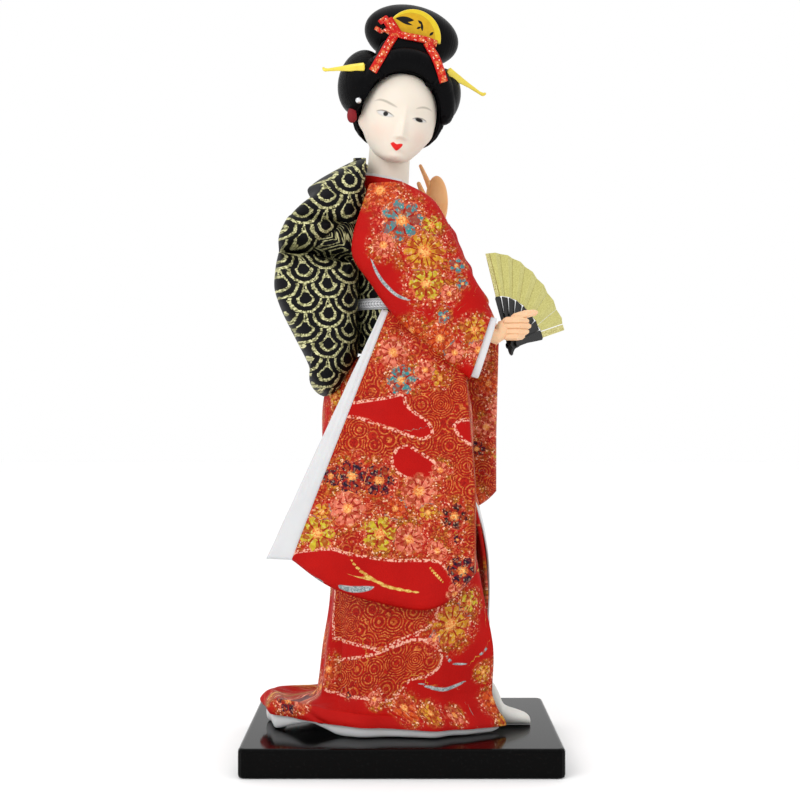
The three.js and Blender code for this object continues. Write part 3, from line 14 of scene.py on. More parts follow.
import bpy
import numpy as np
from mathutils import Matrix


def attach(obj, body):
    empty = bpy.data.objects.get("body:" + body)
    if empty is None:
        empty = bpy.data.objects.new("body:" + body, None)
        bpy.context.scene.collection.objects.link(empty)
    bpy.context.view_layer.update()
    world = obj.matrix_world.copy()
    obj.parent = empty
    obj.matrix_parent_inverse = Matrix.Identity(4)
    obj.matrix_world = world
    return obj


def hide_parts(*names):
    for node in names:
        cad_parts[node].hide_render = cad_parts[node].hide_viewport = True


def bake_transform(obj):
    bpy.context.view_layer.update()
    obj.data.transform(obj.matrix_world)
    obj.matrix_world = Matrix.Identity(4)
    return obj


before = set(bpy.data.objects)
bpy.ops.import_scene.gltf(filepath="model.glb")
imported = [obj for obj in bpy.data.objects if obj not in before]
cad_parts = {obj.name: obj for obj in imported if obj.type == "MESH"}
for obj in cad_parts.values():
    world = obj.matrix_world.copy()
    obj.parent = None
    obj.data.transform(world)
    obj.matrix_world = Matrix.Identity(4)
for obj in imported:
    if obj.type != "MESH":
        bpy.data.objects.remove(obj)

Array = np.ndarray
Value = float | np.ndarray
Pair = tuple[float, float]
Triple = tuple[float, float, float]
Material = bpy.types.Material
Socket = bpy.types.NodeSocket

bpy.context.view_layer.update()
MM = 0.001
TURN = 2 * math.pi
NOWHERE = 9.0  # A distance in a pattern that stands for no line or shape nearby.
LEAF_INNER = 20.3  # From the fan's rivet to the inner edge of its leaf.
log = logging.getLogger("doll")


# ---- Arithmetic on arrays ----


def mix(a: Value, b: Value, share: Value) -> Value:
    """Goes from a to b by a share, for numbers and arrays alike."""
    return a + (b - a) * share


def ramp(value: Array, low: float, high: float) -> Array:
    """Climbs smoothly from 0 at low to 1 at high, with the cubic 3t^2 - 2t^3."""
    t = np.clip((value - low) / (high - low), 0, 1)
    return t * t * (3 - 2 * t)


def bell(value: Array, centre: float, width: float) -> Array:
    """A bump of height 1 at centre that dies away over width: exp(-((v - centre) / width)^2)."""
    return np.exp(-(((value - centre) / width) ** 2))


def unit(vectors: Array) -> Array:
    """The vectors, each brought to length 1."""
    return vectors / np.maximum(np.linalg.norm(vectors, axis=-1, keepdims=True), 1e-9)


def angles(count: int) -> Array:
    """Angles spaced evenly round a full turn, from 0."""
    return np.linspace(0, TURN, count, endpoint=False)


def run_of(path: Array) -> Array:
    """Length along a path up to each of its points."""
    return np.concatenate([[0], np.cumsum(np.linalg.norm(np.diff(path, axis=0), axis=1))])


def closed(grid: Array) -> Array:
    """A grid with its first column once more after its last."""
    return np.concatenate([grid, grid[:, :1]], axis=1)


def out_and_back(cloth: Array) -> Array:
    """Cloth places of a ring that goes out along a face and back behind it, closed."""
    return closed(np.concatenate([cloth, cloth[:, ::-1]], axis=1))


def smooth_rows(table: Sequence, count: int) -> Array:
    """Carries a Catmull-Rom curve through the rows of a table.

    Args:
        table: Rows of numbers, such as a section's reach and height.
        count: How many rows come back, evenly spaced between the first and the last.

    Returns:
        The rows, each a cubic blend of its four nearest neighbours in the table.
    """
    rows = np.asarray(table, float)
    flat = rows.reshape(len(rows), -1)
    t = np.linspace(0, len(rows) - 1, count)
    low = np.minimum(t.astype(int), len(rows) - 2)
    f = (t - low)[:, None]
    a, b, c, d = (flat[np.clip(low + k, 0, len(rows) - 1)] for k in (-1, 0, 1, 2))
    curve = 0.5 * (2 * b + (c - a) * f + (2 * a - 5 * b + 4 * c - d) * f**2 + (3 * b - a - 3 * c + d) * f**3)
    return curve.reshape(count, *rows.shape[1:])


def spaced(path: Sequence, count: int) -> Array:
    """Points spaced evenly by length along the smooth curve through a path's points."""
    fine = smooth_rows(path, 24 * len(path))
    run = run_of(fine)
    wanted = np.linspace(0, run[-1], count)
    return np.stack([np.interp(wanted, run, fine[:, k]) for k in range(fine.shape[1])], axis=1)


def normals(grid: Array, wrap: bool) -> Array:
    """Unit normals of a grid: the cross product of its steps across and along."""
    if wrap:
        across = np.roll(grid, -1, axis=1) - np.roll(grid, 1, axis=1)
    else:
        across = np.gradient(grid, axis=1)
    return unit(np.cross(across, np.gradient(grid, axis=0)))


def arc_cloth(grid: Array, wrap: bool, start: int = 0) -> Array:
    """Cloth coordinates of a grid in millimetres: arc length across each row and up each column.

    Args:
        grid: Points, rows by columns by 3.
        wrap: Whether the last column joins the first, which adds a column of coordinates.
        start: The column that has 0 across, where the pattern is centred.

    Returns:
        Rows by columns (plus one when wrapped) by 2.
    """
    full = closed(grid) if wrap else grid
    zero = np.zeros((len(grid), 1))
    across = np.concatenate([zero, np.cumsum(np.linalg.norm(np.diff(full, axis=1), axis=2), axis=1)], axis=1)
    across = across - across[:, start : start + 1]
    up = np.concatenate([[0], np.cumsum(np.linalg.norm(np.diff(full, axis=0), axis=2).mean(axis=1))])
    return np.stack([across, np.broadcast_to(up[:, None], across.shape)], axis=2)


# ---- Surfaces and pieces ----


@dataclass
class Form:
    """A surface before it becomes a piece: points, faces and each face corner's cloth place."""

    points: Array
    faces: list[list[int]]
    cloth: Array

    def joined(self, other: "Form") -> "Form":
        """Both forms as one, the other's points counted on from this one's."""
        moved = [[corner + len(self.points) for corner in face] for face in other.faces]
        return Form(
            np.concatenate([self.points, other.points]),
            self.faces + moved,
            np.concatenate([self.cloth, other.cloth]),
        )


def quads(rows: int, columns: int, wrap_rows: bool, wrap_columns: bool) -> tuple[Array, Array]:
    """The cells of a grid, as point numbers and as unwrapped (row, column) pairs.

    Args:
        rows: Rows of the grid.
        columns: Columns of the grid.
        wrap_rows: Whether the last row joins the first.
        wrap_columns: Whether the last column joins the first.

    Returns:
        Cells by 4 point numbers, and cells by 4 corners by 2.
    """
    r, c = np.meshgrid(
        np.arange(rows if wrap_rows else rows - 1),
        np.arange(columns if wrap_columns else columns - 1),
        indexing="ij",
    )
    corners = np.stack([[r, c], [r, c + 1], [r + 1, c + 1], [r + 1, c]])
    raw = corners.transpose(2, 3, 0, 1).reshape(-1, 4, 2)
    return (raw[..., 0] % rows) * columns + raw[..., 1] % columns, raw


def form_of(grid: Array, cloth: Array | None = None, wrap_rows: bool = False, wrap: bool = True) -> Form:
    """A closed form on a grid: a tube capped at both ends, or a ring that closes on itself.

    Args:
        grid: Points, rows by columns by 3, in millimetres.
        cloth: Cloth places, with one more column (and row) than the grid where it wraps.
        wrap_rows: Whether the rows close on themselves, as a band's outside and inside do.
        wrap: Whether the columns close on themselves.

    Returns:
        The form, its faces turned outward by the sign of its volume.
    """
    rows, columns = grid.shape[:2]
    cells, raw = quads(rows, columns, wrap_rows, wrap)
    points = grid.reshape(-1, 3)
    if cloth is None:
        cloth = arc_cloth(grid, wrap)
    if wrap_rows:
        cloth = np.concatenate([cloth, cloth[:1]], axis=0)
    places = cloth[raw[..., 0], raw[..., 1]]
    a, b, c, d = (points[cells[:, k]] for k in range(4))
    volume = np.einsum("ij,ij->i", a, np.cross(b, c)).sum() + np.einsum("ij,ij->i", a, np.cross(c, d)).sum()
    if volume < 0:
        cells, places = cells[:, ::-1], places[:, ::-1]
    faces = cells.tolist()
    corner_places = [places.reshape(-1, 2)]
    if not wrap_rows:
        first, last = list(range(columns)), list(range((rows - 1) * columns, rows * columns))
        low, high = cloth[0, :columns], cloth[-1, :columns]
        if volume < 0:
            faces += [first, last[::-1]]
            corner_places += [low, high[::-1]]
        else:
            faces += [first[::-1], last]
            corner_places += [low[::-1], high]
    return Form(points, faces, np.concatenate(corner_places))


def sheet_form(grid: Array, cloth: Array, thickness: float) -> Form:
    """An open sheet with a thickness: each row becomes a flat ring, out along the outer face and back.

    Args:
        grid: The outer face, rows by columns by 3.
        cloth: Its cloth places, rows by columns by 2.
        thickness: How far the inner face lies inside, against the grid's normals.

    Returns:
        The closed form.
    """
    inner = grid - normals(grid, False) * thickness
    ring = np.concatenate([grid, inner[:, ::-1]], axis=1)
    places = out_and_back(cloth)
    rows, columns = ring.shape[:2]
    body = form_of(ring, places)
    half = columns // 2
    strip = np.arange(half - 1)
    ends = []
    for row, flip in ((0, False), (rows - 1, True)):
        a = row * columns + strip
        b = a + 1
        back = row * columns + columns - 1 - strip
        end = np.stack([a, b, back - 1, back], axis=1)
        ends.append(end[:, ::-1] if flip else end)
    body.faces = body.faces[:-2]
    kept = len(body.faces) * 4
    corners = places.reshape(-1, 2)
    wide = columns + 1
    extra = []
    is_forward = body.faces[0][0] < body.faces[0][1]
    for end in ends:
        ordered = end[:, ::-1] if is_forward else end
        body.faces += ordered.tolist()
        extra.append(corners[(ordered // columns) * wide + ordered % columns].reshape(-1, 2))
    body.cloth = np.concatenate([body.cloth[:kept], *extra])
    return body


def band_form(outer: Array, cloth: Array, thickness: float) -> Form:
    """A wall round an axis: up the outside and down the inside, closed both ways.

    Args:
        outer: The outside, rows by columns by 3.
        cloth: Its cloth places, with one more column.
        thickness: How far the inside lies within.

    Returns:
        The closed form.
    """
    inner = outer - normals(outer, True) * thickness
    ring = np.concatenate([outer, inner[::-1]], axis=0)
    places = np.concatenate([cloth, cloth[::-1]], axis=0)
    return form_of(ring, places, wrap_rows=True)


def closed_in(grid: Array, cloth: Array) -> tuple[Array, Array]:
    """A tube's grid with its first ring drawn in toward its middle, in three steps."""
    sizes = np.array([0.15, 0.6, 0.88])[:, None, None]
    centre = grid[:1].mean(axis=1, keepdims=True)
    middle = cloth[:1].mean(axis=1, keepdims=True)
    return (
        np.concatenate([centre + (grid[:1] - centre) * sizes, grid]),
        np.concatenate([middle + (cloth[:1] - middle) * sizes, cloth]),
    )


def dome_tube(centres: Array, side: Array, up: Array, radii: Array, columns: int = 20) -> Array:
    """Rings round a path: centre + radius_a cos(angle) side + radius_b sin(angle) up.

    Args:
        centres: Points of the path.
        side: One cross direction for each point.
        up: The other cross direction for each point.
        radii: Rows of (radius along side, radius along up).
        columns: Points round each ring.

    Returns:
        The grid of the tube.
    """
    angle = angles(columns)
    across = radii[:, :1, None] * np.cos(angle)[None, :, None] * side[:, None]
    rise = radii[:, 1:2, None] * np.sin(angle)[None, :, None] * up[:, None]
    return centres[:, None] + across + rise


def limb(path: Sequence, radii: Sequence, steps: int = 24, columns: int = 16) -> Form:
    """A tapering limb with rounded ends along a smooth path.

    Args:
        path: Points that the limb's middle passes through.
        radii: Its radius at each of them.
        steps: Rings along it.
        columns: Points round each ring.

    Returns:
        The closed form: rings square to the path, drawn in over the last radius at both ends by
        the circle's own formula sqrt(1 - t^2).
    """
    table = smooth_rows(np.column_stack([np.asarray(path, float), radii]), steps)
    centres, radius = table[:, :3], table[:, 3]
    along = unit(np.gradient(centres, axis=0))
    end = np.sin(np.linspace(0.12, math.pi / 2, 6))
    back = np.cos(np.linspace(0.12, math.pi / 2, 6))
    head = centres[0] - along[0] * (radius[0] * back)[:, None]
    tail = centres[-1] + along[-1] * (radius[-1] * back[::-1])[:, None]
    centres = np.concatenate([head[:-1], centres, tail[1:]])
    radius = np.concatenate([radius[0] * end[:-1], radius, radius[-1] * end[::-1][1:]])
    along = np.concatenate([np.repeat(along[:1], 5, 0), along, np.repeat(along[-1:], 5, 0)])
    side = unit(np.cross(along, [0.02, 1.0, 0.05]))
    up = np.cross(along, side)
    return form_of(dome_tube(centres, side, up, np.column_stack([radius, radius]), columns))


def lobe(centre: Sequence, radii: Sequence, axis: int, rows: int = 72, columns: int = 120) -> Form:
    """An ellipsoid whose poles lie on one axis: centre + radii (cos, sin sin, sin cos), permuted.

    Args:
        centre: Its middle.
        radii: Its three half sizes.
        axis: Which of X, Y and Z passes through the poles.
        rows: Rings from pole to pole.
        columns: Points round each ring.

    Returns:
        The closed form, with cloth places that run round it and from pole to pole.
    """
    return form_of(lobe_grid(centre, radii, axis, rows, columns))


def lobe_grid(centre: Sequence, radii: Sequence, axis: int, rows: int = 72, columns: int = 120) -> Array:
    """The grid of a lobe, its rings spaced evenly by angle from pole to pole."""
    polar = np.linspace(0.03, math.pi - 0.03, rows)[:, None]
    turn = angles(columns)[None]
    parts = [np.cos(polar) + 0 * turn, np.sin(polar) * np.cos(turn), np.sin(polar) * np.sin(turn)]
    direction = np.stack([parts[(k - axis) % 3] for k in range(3)], axis=2)
    return np.asarray(centre, float) + direction * np.asarray(radii, float)


def kept_out(grid: Array, centre: Sequence, radii: Sequence, gap: float) -> Array:
    """Pushes the points that lie inside an ellipsoid out to its surface, along rays from its middle.

    Args:
        grid: The points.
        centre: The ellipsoid's middle.
        radii: Its half sizes.
        gap: How much larger it is taken.

    Returns:
        The points, those outside unmoved.
    """
    centre, size = np.asarray(centre, float), np.asarray(radii, float) + gap
    offset = (grid - centre) / size
    reach = np.linalg.norm(offset, axis=-1, keepdims=True)
    return centre + offset / np.minimum(np.maximum(reach, 1e-6), 1.0) * size


def kept_off(grid: Array, path: Array, radii: Array, gap: float) -> Array:
    """Pushes the points that lie inside a tube along a path straight out to its surface.

    Args:
        grid: The points.
        path: The tube's middle line.
        radii: Its radius at each of the line's points.
        gap: How much larger it is taken.

    Returns:
        The points, those outside unmoved.
    """
    flat = grid.reshape(-1, 3)
    away = flat[:, None] - path[None]
    reach = np.linalg.norm(away, axis=2) / (radii + gap)
    nearest = reach.argmin(axis=1)
    rows = np.arange(len(flat))
    least = np.clip(reach[rows, nearest], 1e-3, None)
    push = np.where(least < 1, 1 / least - 1, 0)[:, None]
    return (flat + away[rows, nearest] * push).reshape(grid.shape)


def strip_form(grid: Array, thickness: float) -> Form:
    """A ribbon on a grid: its face, rounded at both edges, and a flat back behind it.

    Args:
        grid: The ribbon's back, along by across by 3.
        thickness: How far the face stands off it, toward the viewer.

    Returns:
        The closed form.
    """
    rows, columns = grid.shape[:2]
    across = np.linspace(-1, 1, columns)
    width = np.linalg.norm(grid[:, -1] - grid[:, 0], axis=1).mean()
    run = run_of(grid[:, columns // 2])
    out = normals(grid, False)
    if out[..., 1].mean() > 0:
        out = -out
    swell = np.sqrt(np.clip(1 - across**6, 0, 1))[None, :, None]
    face = grid + out * thickness * (0.35 + 0.65 * swell)
    places = np.stack([np.broadcast_to(across * width / 2, (rows, columns)),
                       np.broadcast_to(run[:, None], (rows, columns))], axis=2)
    ring = np.concatenate([face, grid[:, ::-1]], axis=1)
    return form_of(ring, out_and_back(places))


def build_piece(
    name: str,
    form: Form,
    material: Material,
    replaces: Sequence[str] = (),
    body: str = "figure",
    fields: dict[str, Array] | None = None,
) -> bpy.types.Object:
    """Makes a form into a piece of the doll.

    Args:
        name: The piece's name.
        form: Its surface in millimetres.
        material: Its finish.
        replaces: The solids that it stands for.
        body: The moving body that it rides on, or an empty string for a piece that rides on no body.
        fields: Numbers or vectors for each face corner, read by the finish.

    Returns:
        The object, at the origin, with its place in its mesh.
    """
    mesh = bpy.data.meshes.new(name)
    mesh.from_pydata((form.points * MM).tolist(), [], form.faces)
    cloth = mesh.uv_layers.new(name="cloth")
    cloth.data.foreach_set("uv", (form.cloth / 100).astype(np.float32).ravel())
    for key, values in (fields or {}).items():
        kind = "FLOAT" if values.ndim == 1 else "FLOAT_VECTOR"
        attribute = mesh.attributes.new(key, kind, "CORNER")
        attribute.data.foreach_set("value" if values.ndim == 1 else "vector", values.astype(np.float32).ravel())
    mesh.polygons.foreach_set("use_smooth", np.ones(len(mesh.polygons), bool))
    mesh.materials.append(material)
    mesh.update()
    piece = bpy.data.objects.new(name, mesh)
    bpy.context.scene.collection.objects.link(piece)
    if replaces:
        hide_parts(*replaces)
    if body:
        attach(piece, body)
    log.info("%s: %d points", name, len(form.points))
    return piece


# ---- Finishes ----


class Wire:
    """A value in a shader's node tree that takes part in sums like a number."""

    def __init__(self, tree: bpy.types.NodeTree, socket: Socket) -> None:
        """Keeps the tree and the socket that the value comes from."""
        self.tree = tree
        self.socket = socket

    def math(self, kind: str, *others: "Wire | float") -> "Wire":
        """The result of a Math node of that kind on this value and the others."""
        node = self.tree.nodes.new("ShaderNodeMath")
        node.operation = kind
        self.tree.links.new(self.socket, node.inputs[0])
        for index, other in enumerate(others, 1):
            if isinstance(other, Wire):
                self.tree.links.new(other.socket, node.inputs[index])
            else:
                node.inputs[index].default_value = other
        return Wire(self.tree, node.outputs[0])

    def __add__(self, other: "Wire | float") -> "Wire":
        """This value plus another."""
        return self.math("ADD", other)

    def __sub__(self, other: "Wire | float") -> "Wire":
        """This value less another."""
        return self.math("SUBTRACT", other)

    def __mul__(self, other: "Wire | float") -> "Wire":
        """This value times another."""
        return self.math("MULTIPLY", other)

    def __truediv__(self, other: "Wire | float") -> "Wire":
        """This value over another."""
        return self.math("DIVIDE", other)

    def below(self, limit: "Wire | float", soft: float = 0.0) -> "Wire":
        """1 where the value is under a limit and 0 above it, with a soft step where asked."""
        if not soft:
            return self.math("LESS_THAN", limit)
        return ((self - limit) / -soft + 0.5).clamped()

    def clamped(self) -> "Wire":
        """This value, kept between 0 and 1."""
        return self.math("MAXIMUM", 0.0).math("MINIMUM", 1.0)

    def wave(self, length: float) -> "Wire":
        """A sine of this value between 0 and 1, with a wave length."""
        return (self * (TURN / length)).math("SINE") * 0.5 + 0.5


class Finish:
    """A material under construction: its node tree, shader and the ways to read the surface."""

    def __init__(self, name: str, roughness: float = 0.5, metallic: float = 0.0, **sockets: float) -> None:
        """Starts a material with one shader.

        Args:
            name: The material's name.
            roughness: The shader's roughness.
            metallic: The shader's metallic share.
            sockets: Other shader inputs, their names with underscores for spaces.
        """
        self.material = bpy.data.materials.new(name)
        self.material.use_nodes = True
        self.tree = self.material.node_tree
        self.shader = self.tree.nodes["Principled BSDF"]
        self.shader.inputs["Roughness"].default_value = roughness
        self.shader.inputs["Metallic"].default_value = metallic
        for key, value in sockets.items():
            self.shader.inputs[key.replace("_", " ")].default_value = value

    def node(self, kind: str, **settings: object) -> bpy.types.Node:
        """A new node of a kind, with its settings."""
        made = self.tree.nodes.new(kind)
        for key, value in settings.items():
            setattr(made, key, value)
        return made

    def wire(self, socket: Socket) -> Wire:
        """A socket as a value for sums."""
        return Wire(self.tree, socket)

    def parts(self, socket: Socket) -> tuple[Wire, Wire, Wire]:
        """The three numbers of a vector socket."""
        split = self.node("ShaderNodeSeparateXYZ")
        self.tree.links.new(socket, split.inputs[0])
        return self.wire(split.outputs[0]), self.wire(split.outputs[1]), self.wire(split.outputs[2])

    def field(self, name: str) -> tuple[Wire, Wire, Wire]:
        """The numbers that a piece keeps at its face corners under a name."""
        return self.parts(self.node("ShaderNodeAttribute", attribute_name=name).outputs["Vector"])

    def cloth(self) -> tuple[Wire, Wire]:
        """Millimetres across and up the cloth."""
        u, v, _ = self.parts(self.node("ShaderNodeUVMap", uv_map="cloth").outputs[0])
        return u * 100.0, v * 100.0

    def place(self) -> Socket:
        """The surface's own place, in metres."""
        return self.node("ShaderNodeTexCoord").outputs["Object"]

    def point(self, x: Wire | float, y: Wire | float, z: Wire | float = 0.0) -> Socket:
        """A vector from three values."""
        joined = self.node("ShaderNodeCombineXYZ")
        for index, value in enumerate((x, y, z)):
            if isinstance(value, Wire):
                self.tree.links.new(value.socket, joined.inputs[index])
            else:
                joined.inputs[index].default_value = value
        return joined.outputs[0]

    def noise(self, place: Socket, scale: float, detail: float = 2.0) -> Wire:
        """Soft noise between 0 and 1."""
        made = self.node("ShaderNodeTexNoise")
        self.tree.links.new(place, made.inputs["Vector"])
        made.inputs["Scale"].default_value = scale
        made.inputs["Detail"].default_value = detail
        return self.wire(made.outputs["Fac"])

    def cells(self, place: Socket, scale: float, spread: float = 1.0) -> tuple[Wire, Wire]:
        """Distance to the nearest seed of a field of cells, and a random number for each cell."""
        made = self.node("ShaderNodeTexVoronoi")
        self.tree.links.new(place, made.inputs["Vector"])
        made.inputs["Scale"].default_value = scale
        made.inputs["Randomness"].default_value = spread
        chance, _, _ = self.parts(made.outputs["Color"])
        return self.wire(made.outputs["Distance"]), chance

    def blend(self, share: Wire, low: object, high: object) -> Socket:
        """A colour between two, each a triple or another blend, by a share."""
        made = self.node("ShaderNodeMix", data_type="RGBA")
        self.tree.links.new(share.socket, made.inputs[0])
        for index, value in ((6, low), (7, high)):
            if isinstance(value, Socket):
                self.tree.links.new(value, made.inputs[index])
            else:
                made.inputs[index].default_value = (*value, 1.0)
        return made.outputs[2]

    def colour(self, value: object) -> None:
        """Sets the shader's colour from a blend or a triple."""
        if isinstance(value, Socket):
            self.tree.links.new(value, self.shader.inputs["Base Color"])
        else:
            self.shader.inputs["Base Color"].default_value = (*value, 1.0)

    def link(self, value: Wire, name: str) -> None:
        """Feeds a value into one of the shader's inputs."""
        self.tree.links.new(value.socket, self.shader.inputs[name])

    def bump(self, height: Wire, depth_mm: float, strength: float = 1.0) -> None:
        """Roughens the surface by a height between 0 and 1 that stands for a depth."""
        made = self.node("ShaderNodeBump")
        made.inputs["Strength"].default_value = strength
        made.inputs["Distance"].default_value = depth_mm * MM
        self.tree.links.new(height.socket, made.inputs["Height"])
        self.tree.links.new(made.outputs[0], self.shader.inputs["Normal"])


class Tone(IntEnum):
    """Thread colours of the brocade's flowers."""

    GOLD = 0
    AMBER = 1
    TEAL = 2
    ROSE = 3
    NAVY = 4
    LIME = 5
    INK = 6


THREADS: dict[Tone, Triple] = {
    Tone.GOLD: (0.62, 0.31, 0.02),
    Tone.AMBER: (0.60, 0.08, 0.010),
    Tone.TEAL: (0.015, 0.25, 0.27),
    Tone.ROSE: (0.76, 0.20, 0.12),
    Tone.NAVY: (0.006, 0.004, 0.018),
    Tone.LIME: (0.56, 0.46, 0.025),
    Tone.INK: (0.016, 0.006, 0.008),
}


@dataclass(frozen=True)
class Bloom:
    """A woven flower: its place on the cloth, its radius, thread colour and number of petals."""

    x: float
    z: float
    radius: float
    tone: Tone
    petals: int


@dataclass(frozen=True)
class Cloud:
    """A cloud with a dotted edge: plain red inside, or a spiral ground where it is filled."""

    outline: tuple[Pair, ...]
    is_plain: bool = True


@dataclass(frozen=True)
class Stroke:
    """A leaf or water line that tapers at both ends."""

    path: tuple[Pair, ...]
    width: float
    is_gold: bool


@dataclass(frozen=True)
class Weave:
    """The pattern of one piece of brocade, worked out at each face corner."""

    blooms: tuple[Bloom, ...] = ()
    clouds: tuple[Cloud, ...] = ()
    strokes: tuple[Stroke, ...] = ()
    is_plain_ground: bool = False

    def fields(self, places: Array) -> dict[str, Array]:
        """The pattern's numbers at places on the cloth.

        Args:
            places: Corners by 2, in millimetres.

        Returns:
            bloom: (x, z) from the nearest flower's middle in radii, pushed out to 3 where no flower
            lies, and that flower's colour and petals in one number; ground: the distance to the
            nearest cloud's edge, the share of mixed ground threads and a spare; stroke: the distance
            to the nearest line in half widths, its colour and a spare.
        """
        places, back = distinct(places)
        count = len(places)
        bloom = np.tile([3.0, 3.0, 0.0], (count, 1))
        near = np.full(count, 1e3)
        gilt = np.zeros(count)
        for flower in self.blooms:
            offset = (places - (flower.x, flower.z)) / flower.radius
            reach = np.linalg.norm(offset, axis=1)
            gilt = np.maximum(gilt, 1 - ramp(reach, 1.1, 1.75))
            closer = reach < near
            near = np.where(closer, reach, near)
            outside = np.clip((reach - 1.05) / 0.2, 0, 1)[:, None]
            moved = offset * mix(1.0, 3.0 / np.maximum(reach, 1.0)[:, None], outside)
            bloom[closer, :2] = moved[closer]
            bloom[closer, 2] = flower.tone + flower.petals / 20.0
        edge = np.full(count, 30.0)
        plain = np.zeros(count)
        for cloud in self.clouds:
            distance = edge_distance(places, cloud.outline)
            edge = np.where(np.abs(distance) < np.abs(edge), distance, edge)
            inside = ramp(-distance, -0.2, 0.2)
            plain = np.maximum(plain, inside if cloud.is_plain else 0.0)
        swirl = 1 - plain
        if self.is_plain_ground:
            swirl = np.zeros(count)
            for cloud in self.clouds:
                if not cloud.is_plain:
                    swirl = np.maximum(swirl, ramp(-edge_distance(places, cloud.outline), -0.2, 0.2))
        line = np.full(count, NOWHERE)
        gold = np.zeros(count)
        for stroke in self.strokes:
            run, across = along_path(places, stroke.path)
            reach = across / (stroke.width / 2 * taper(run, 0.02))
            gold = np.where(reach < line, float(stroke.is_gold), gold)
            line = np.minimum(line, reach)
        gilt = gilt * (1 - plain)
        return {
            "bloom": bloom[back],
            "ground": np.column_stack([np.clip(edge, -30, 30), gilt, swirl])[back],
            "stroke": np.column_stack([line, gold, np.zeros(count)])[back],
        }


def edge_distance(places: Array, outline: Sequence) -> Array:
    """Signed distance from places to a smooth closed outline, less than 0 inside.

    Each place takes its least distance to the outline's short straight steps, and the sign comes
    from how often a ray to the right crosses them.
    """
    corners = spaced([*outline, outline[0]], 96)
    a, b = corners[:-1], corners[1:]
    step = b - a
    offset = places[:, None] - a[None]
    share = np.clip((offset * step).sum(2) / np.maximum((step**2).sum(1), 1e-9), 0, 1)
    least = np.linalg.norm(offset - share[..., None] * step, axis=2).min(axis=1)
    z = places[:, 1:2]
    crosses = (a[:, 1] > z) != (b[:, 1] > z)
    rise = np.where(np.abs(step[:, 1]) < 1e-9, 1e-9, step[:, 1])
    at = a[:, 0] + (z - a[:, 1]) / rise * step[:, 0]
    inside = ((places[:, :1] < at) & crosses).sum(axis=1) % 2 == 1
    return np.where(inside, -least, least)


def distinct(places: Array) -> tuple[Array, Array]:
    """The places without repeats, to a thousandth, and each place's number among them."""
    kept, back = np.unique(np.round(places, 3), axis=0, return_inverse=True)
    return kept, back.ravel()


def taper(run: Array, least: float) -> Array:
    """A stroke's width share along it: sqrt(4 r (1 - r)), its square kept over a least value."""
    return np.sqrt(np.clip(4 * run * (1 - run), least, 1))


def along_path(places: Array, path: Sequence) -> tuple[Array, Array]:
    """How far along a smooth path each place lies, from 0 to 1, and its distance to the path."""
    points = spaced(path, 40)
    gaps = np.linalg.norm(places[:, None] - points[None], axis=2)
    nearest = gaps.argmin(axis=1)
    return nearest / (len(points) - 1), gaps[np.arange(len(places)), nearest]


def scattered(low: Pair, high: Pair, spacing: float, seed: int) -> tuple[Bloom, ...]:
    """Flowers at the shaken corners of a net, in every thread colour.

    Args:
        low: Lowest corner of the area on the cloth.
        high: Highest corner.
        spacing: The net's width.
        seed: Picks the shake, sizes and colours.

    Returns:
        The flowers.
    """
    dice = np.random.default_rng(seed)
    across = np.arange(low[0], high[0], spacing)
    up = np.arange(low[1], high[1], spacing * 0.87)
    x, z = np.meshgrid(across, up)
    x = x + (np.arange(len(up)) % 2)[:, None] * spacing / 2 + dice.uniform(-0.16, 0.16, x.shape) * spacing
    z = z + dice.uniform(-0.16, 0.16, z.shape) * spacing
    radius = dice.uniform(0.3, 0.44, x.size) * spacing
    tones = dice.choice([0, 0, 1, 1, 2, 3, 3, 3, 4, 5], x.size)
    petals = dice.integers(5, 9, x.size)
    keep = dice.uniform(size=x.size) > 0.18
    rows = zip(x.ravel()[keep], z.ravel()[keep], radius[keep], tones[keep], petals[keep])
    return tuple(Bloom(a, b, r, Tone(int(t)), int(n)) for a, b, r, t, n in rows)


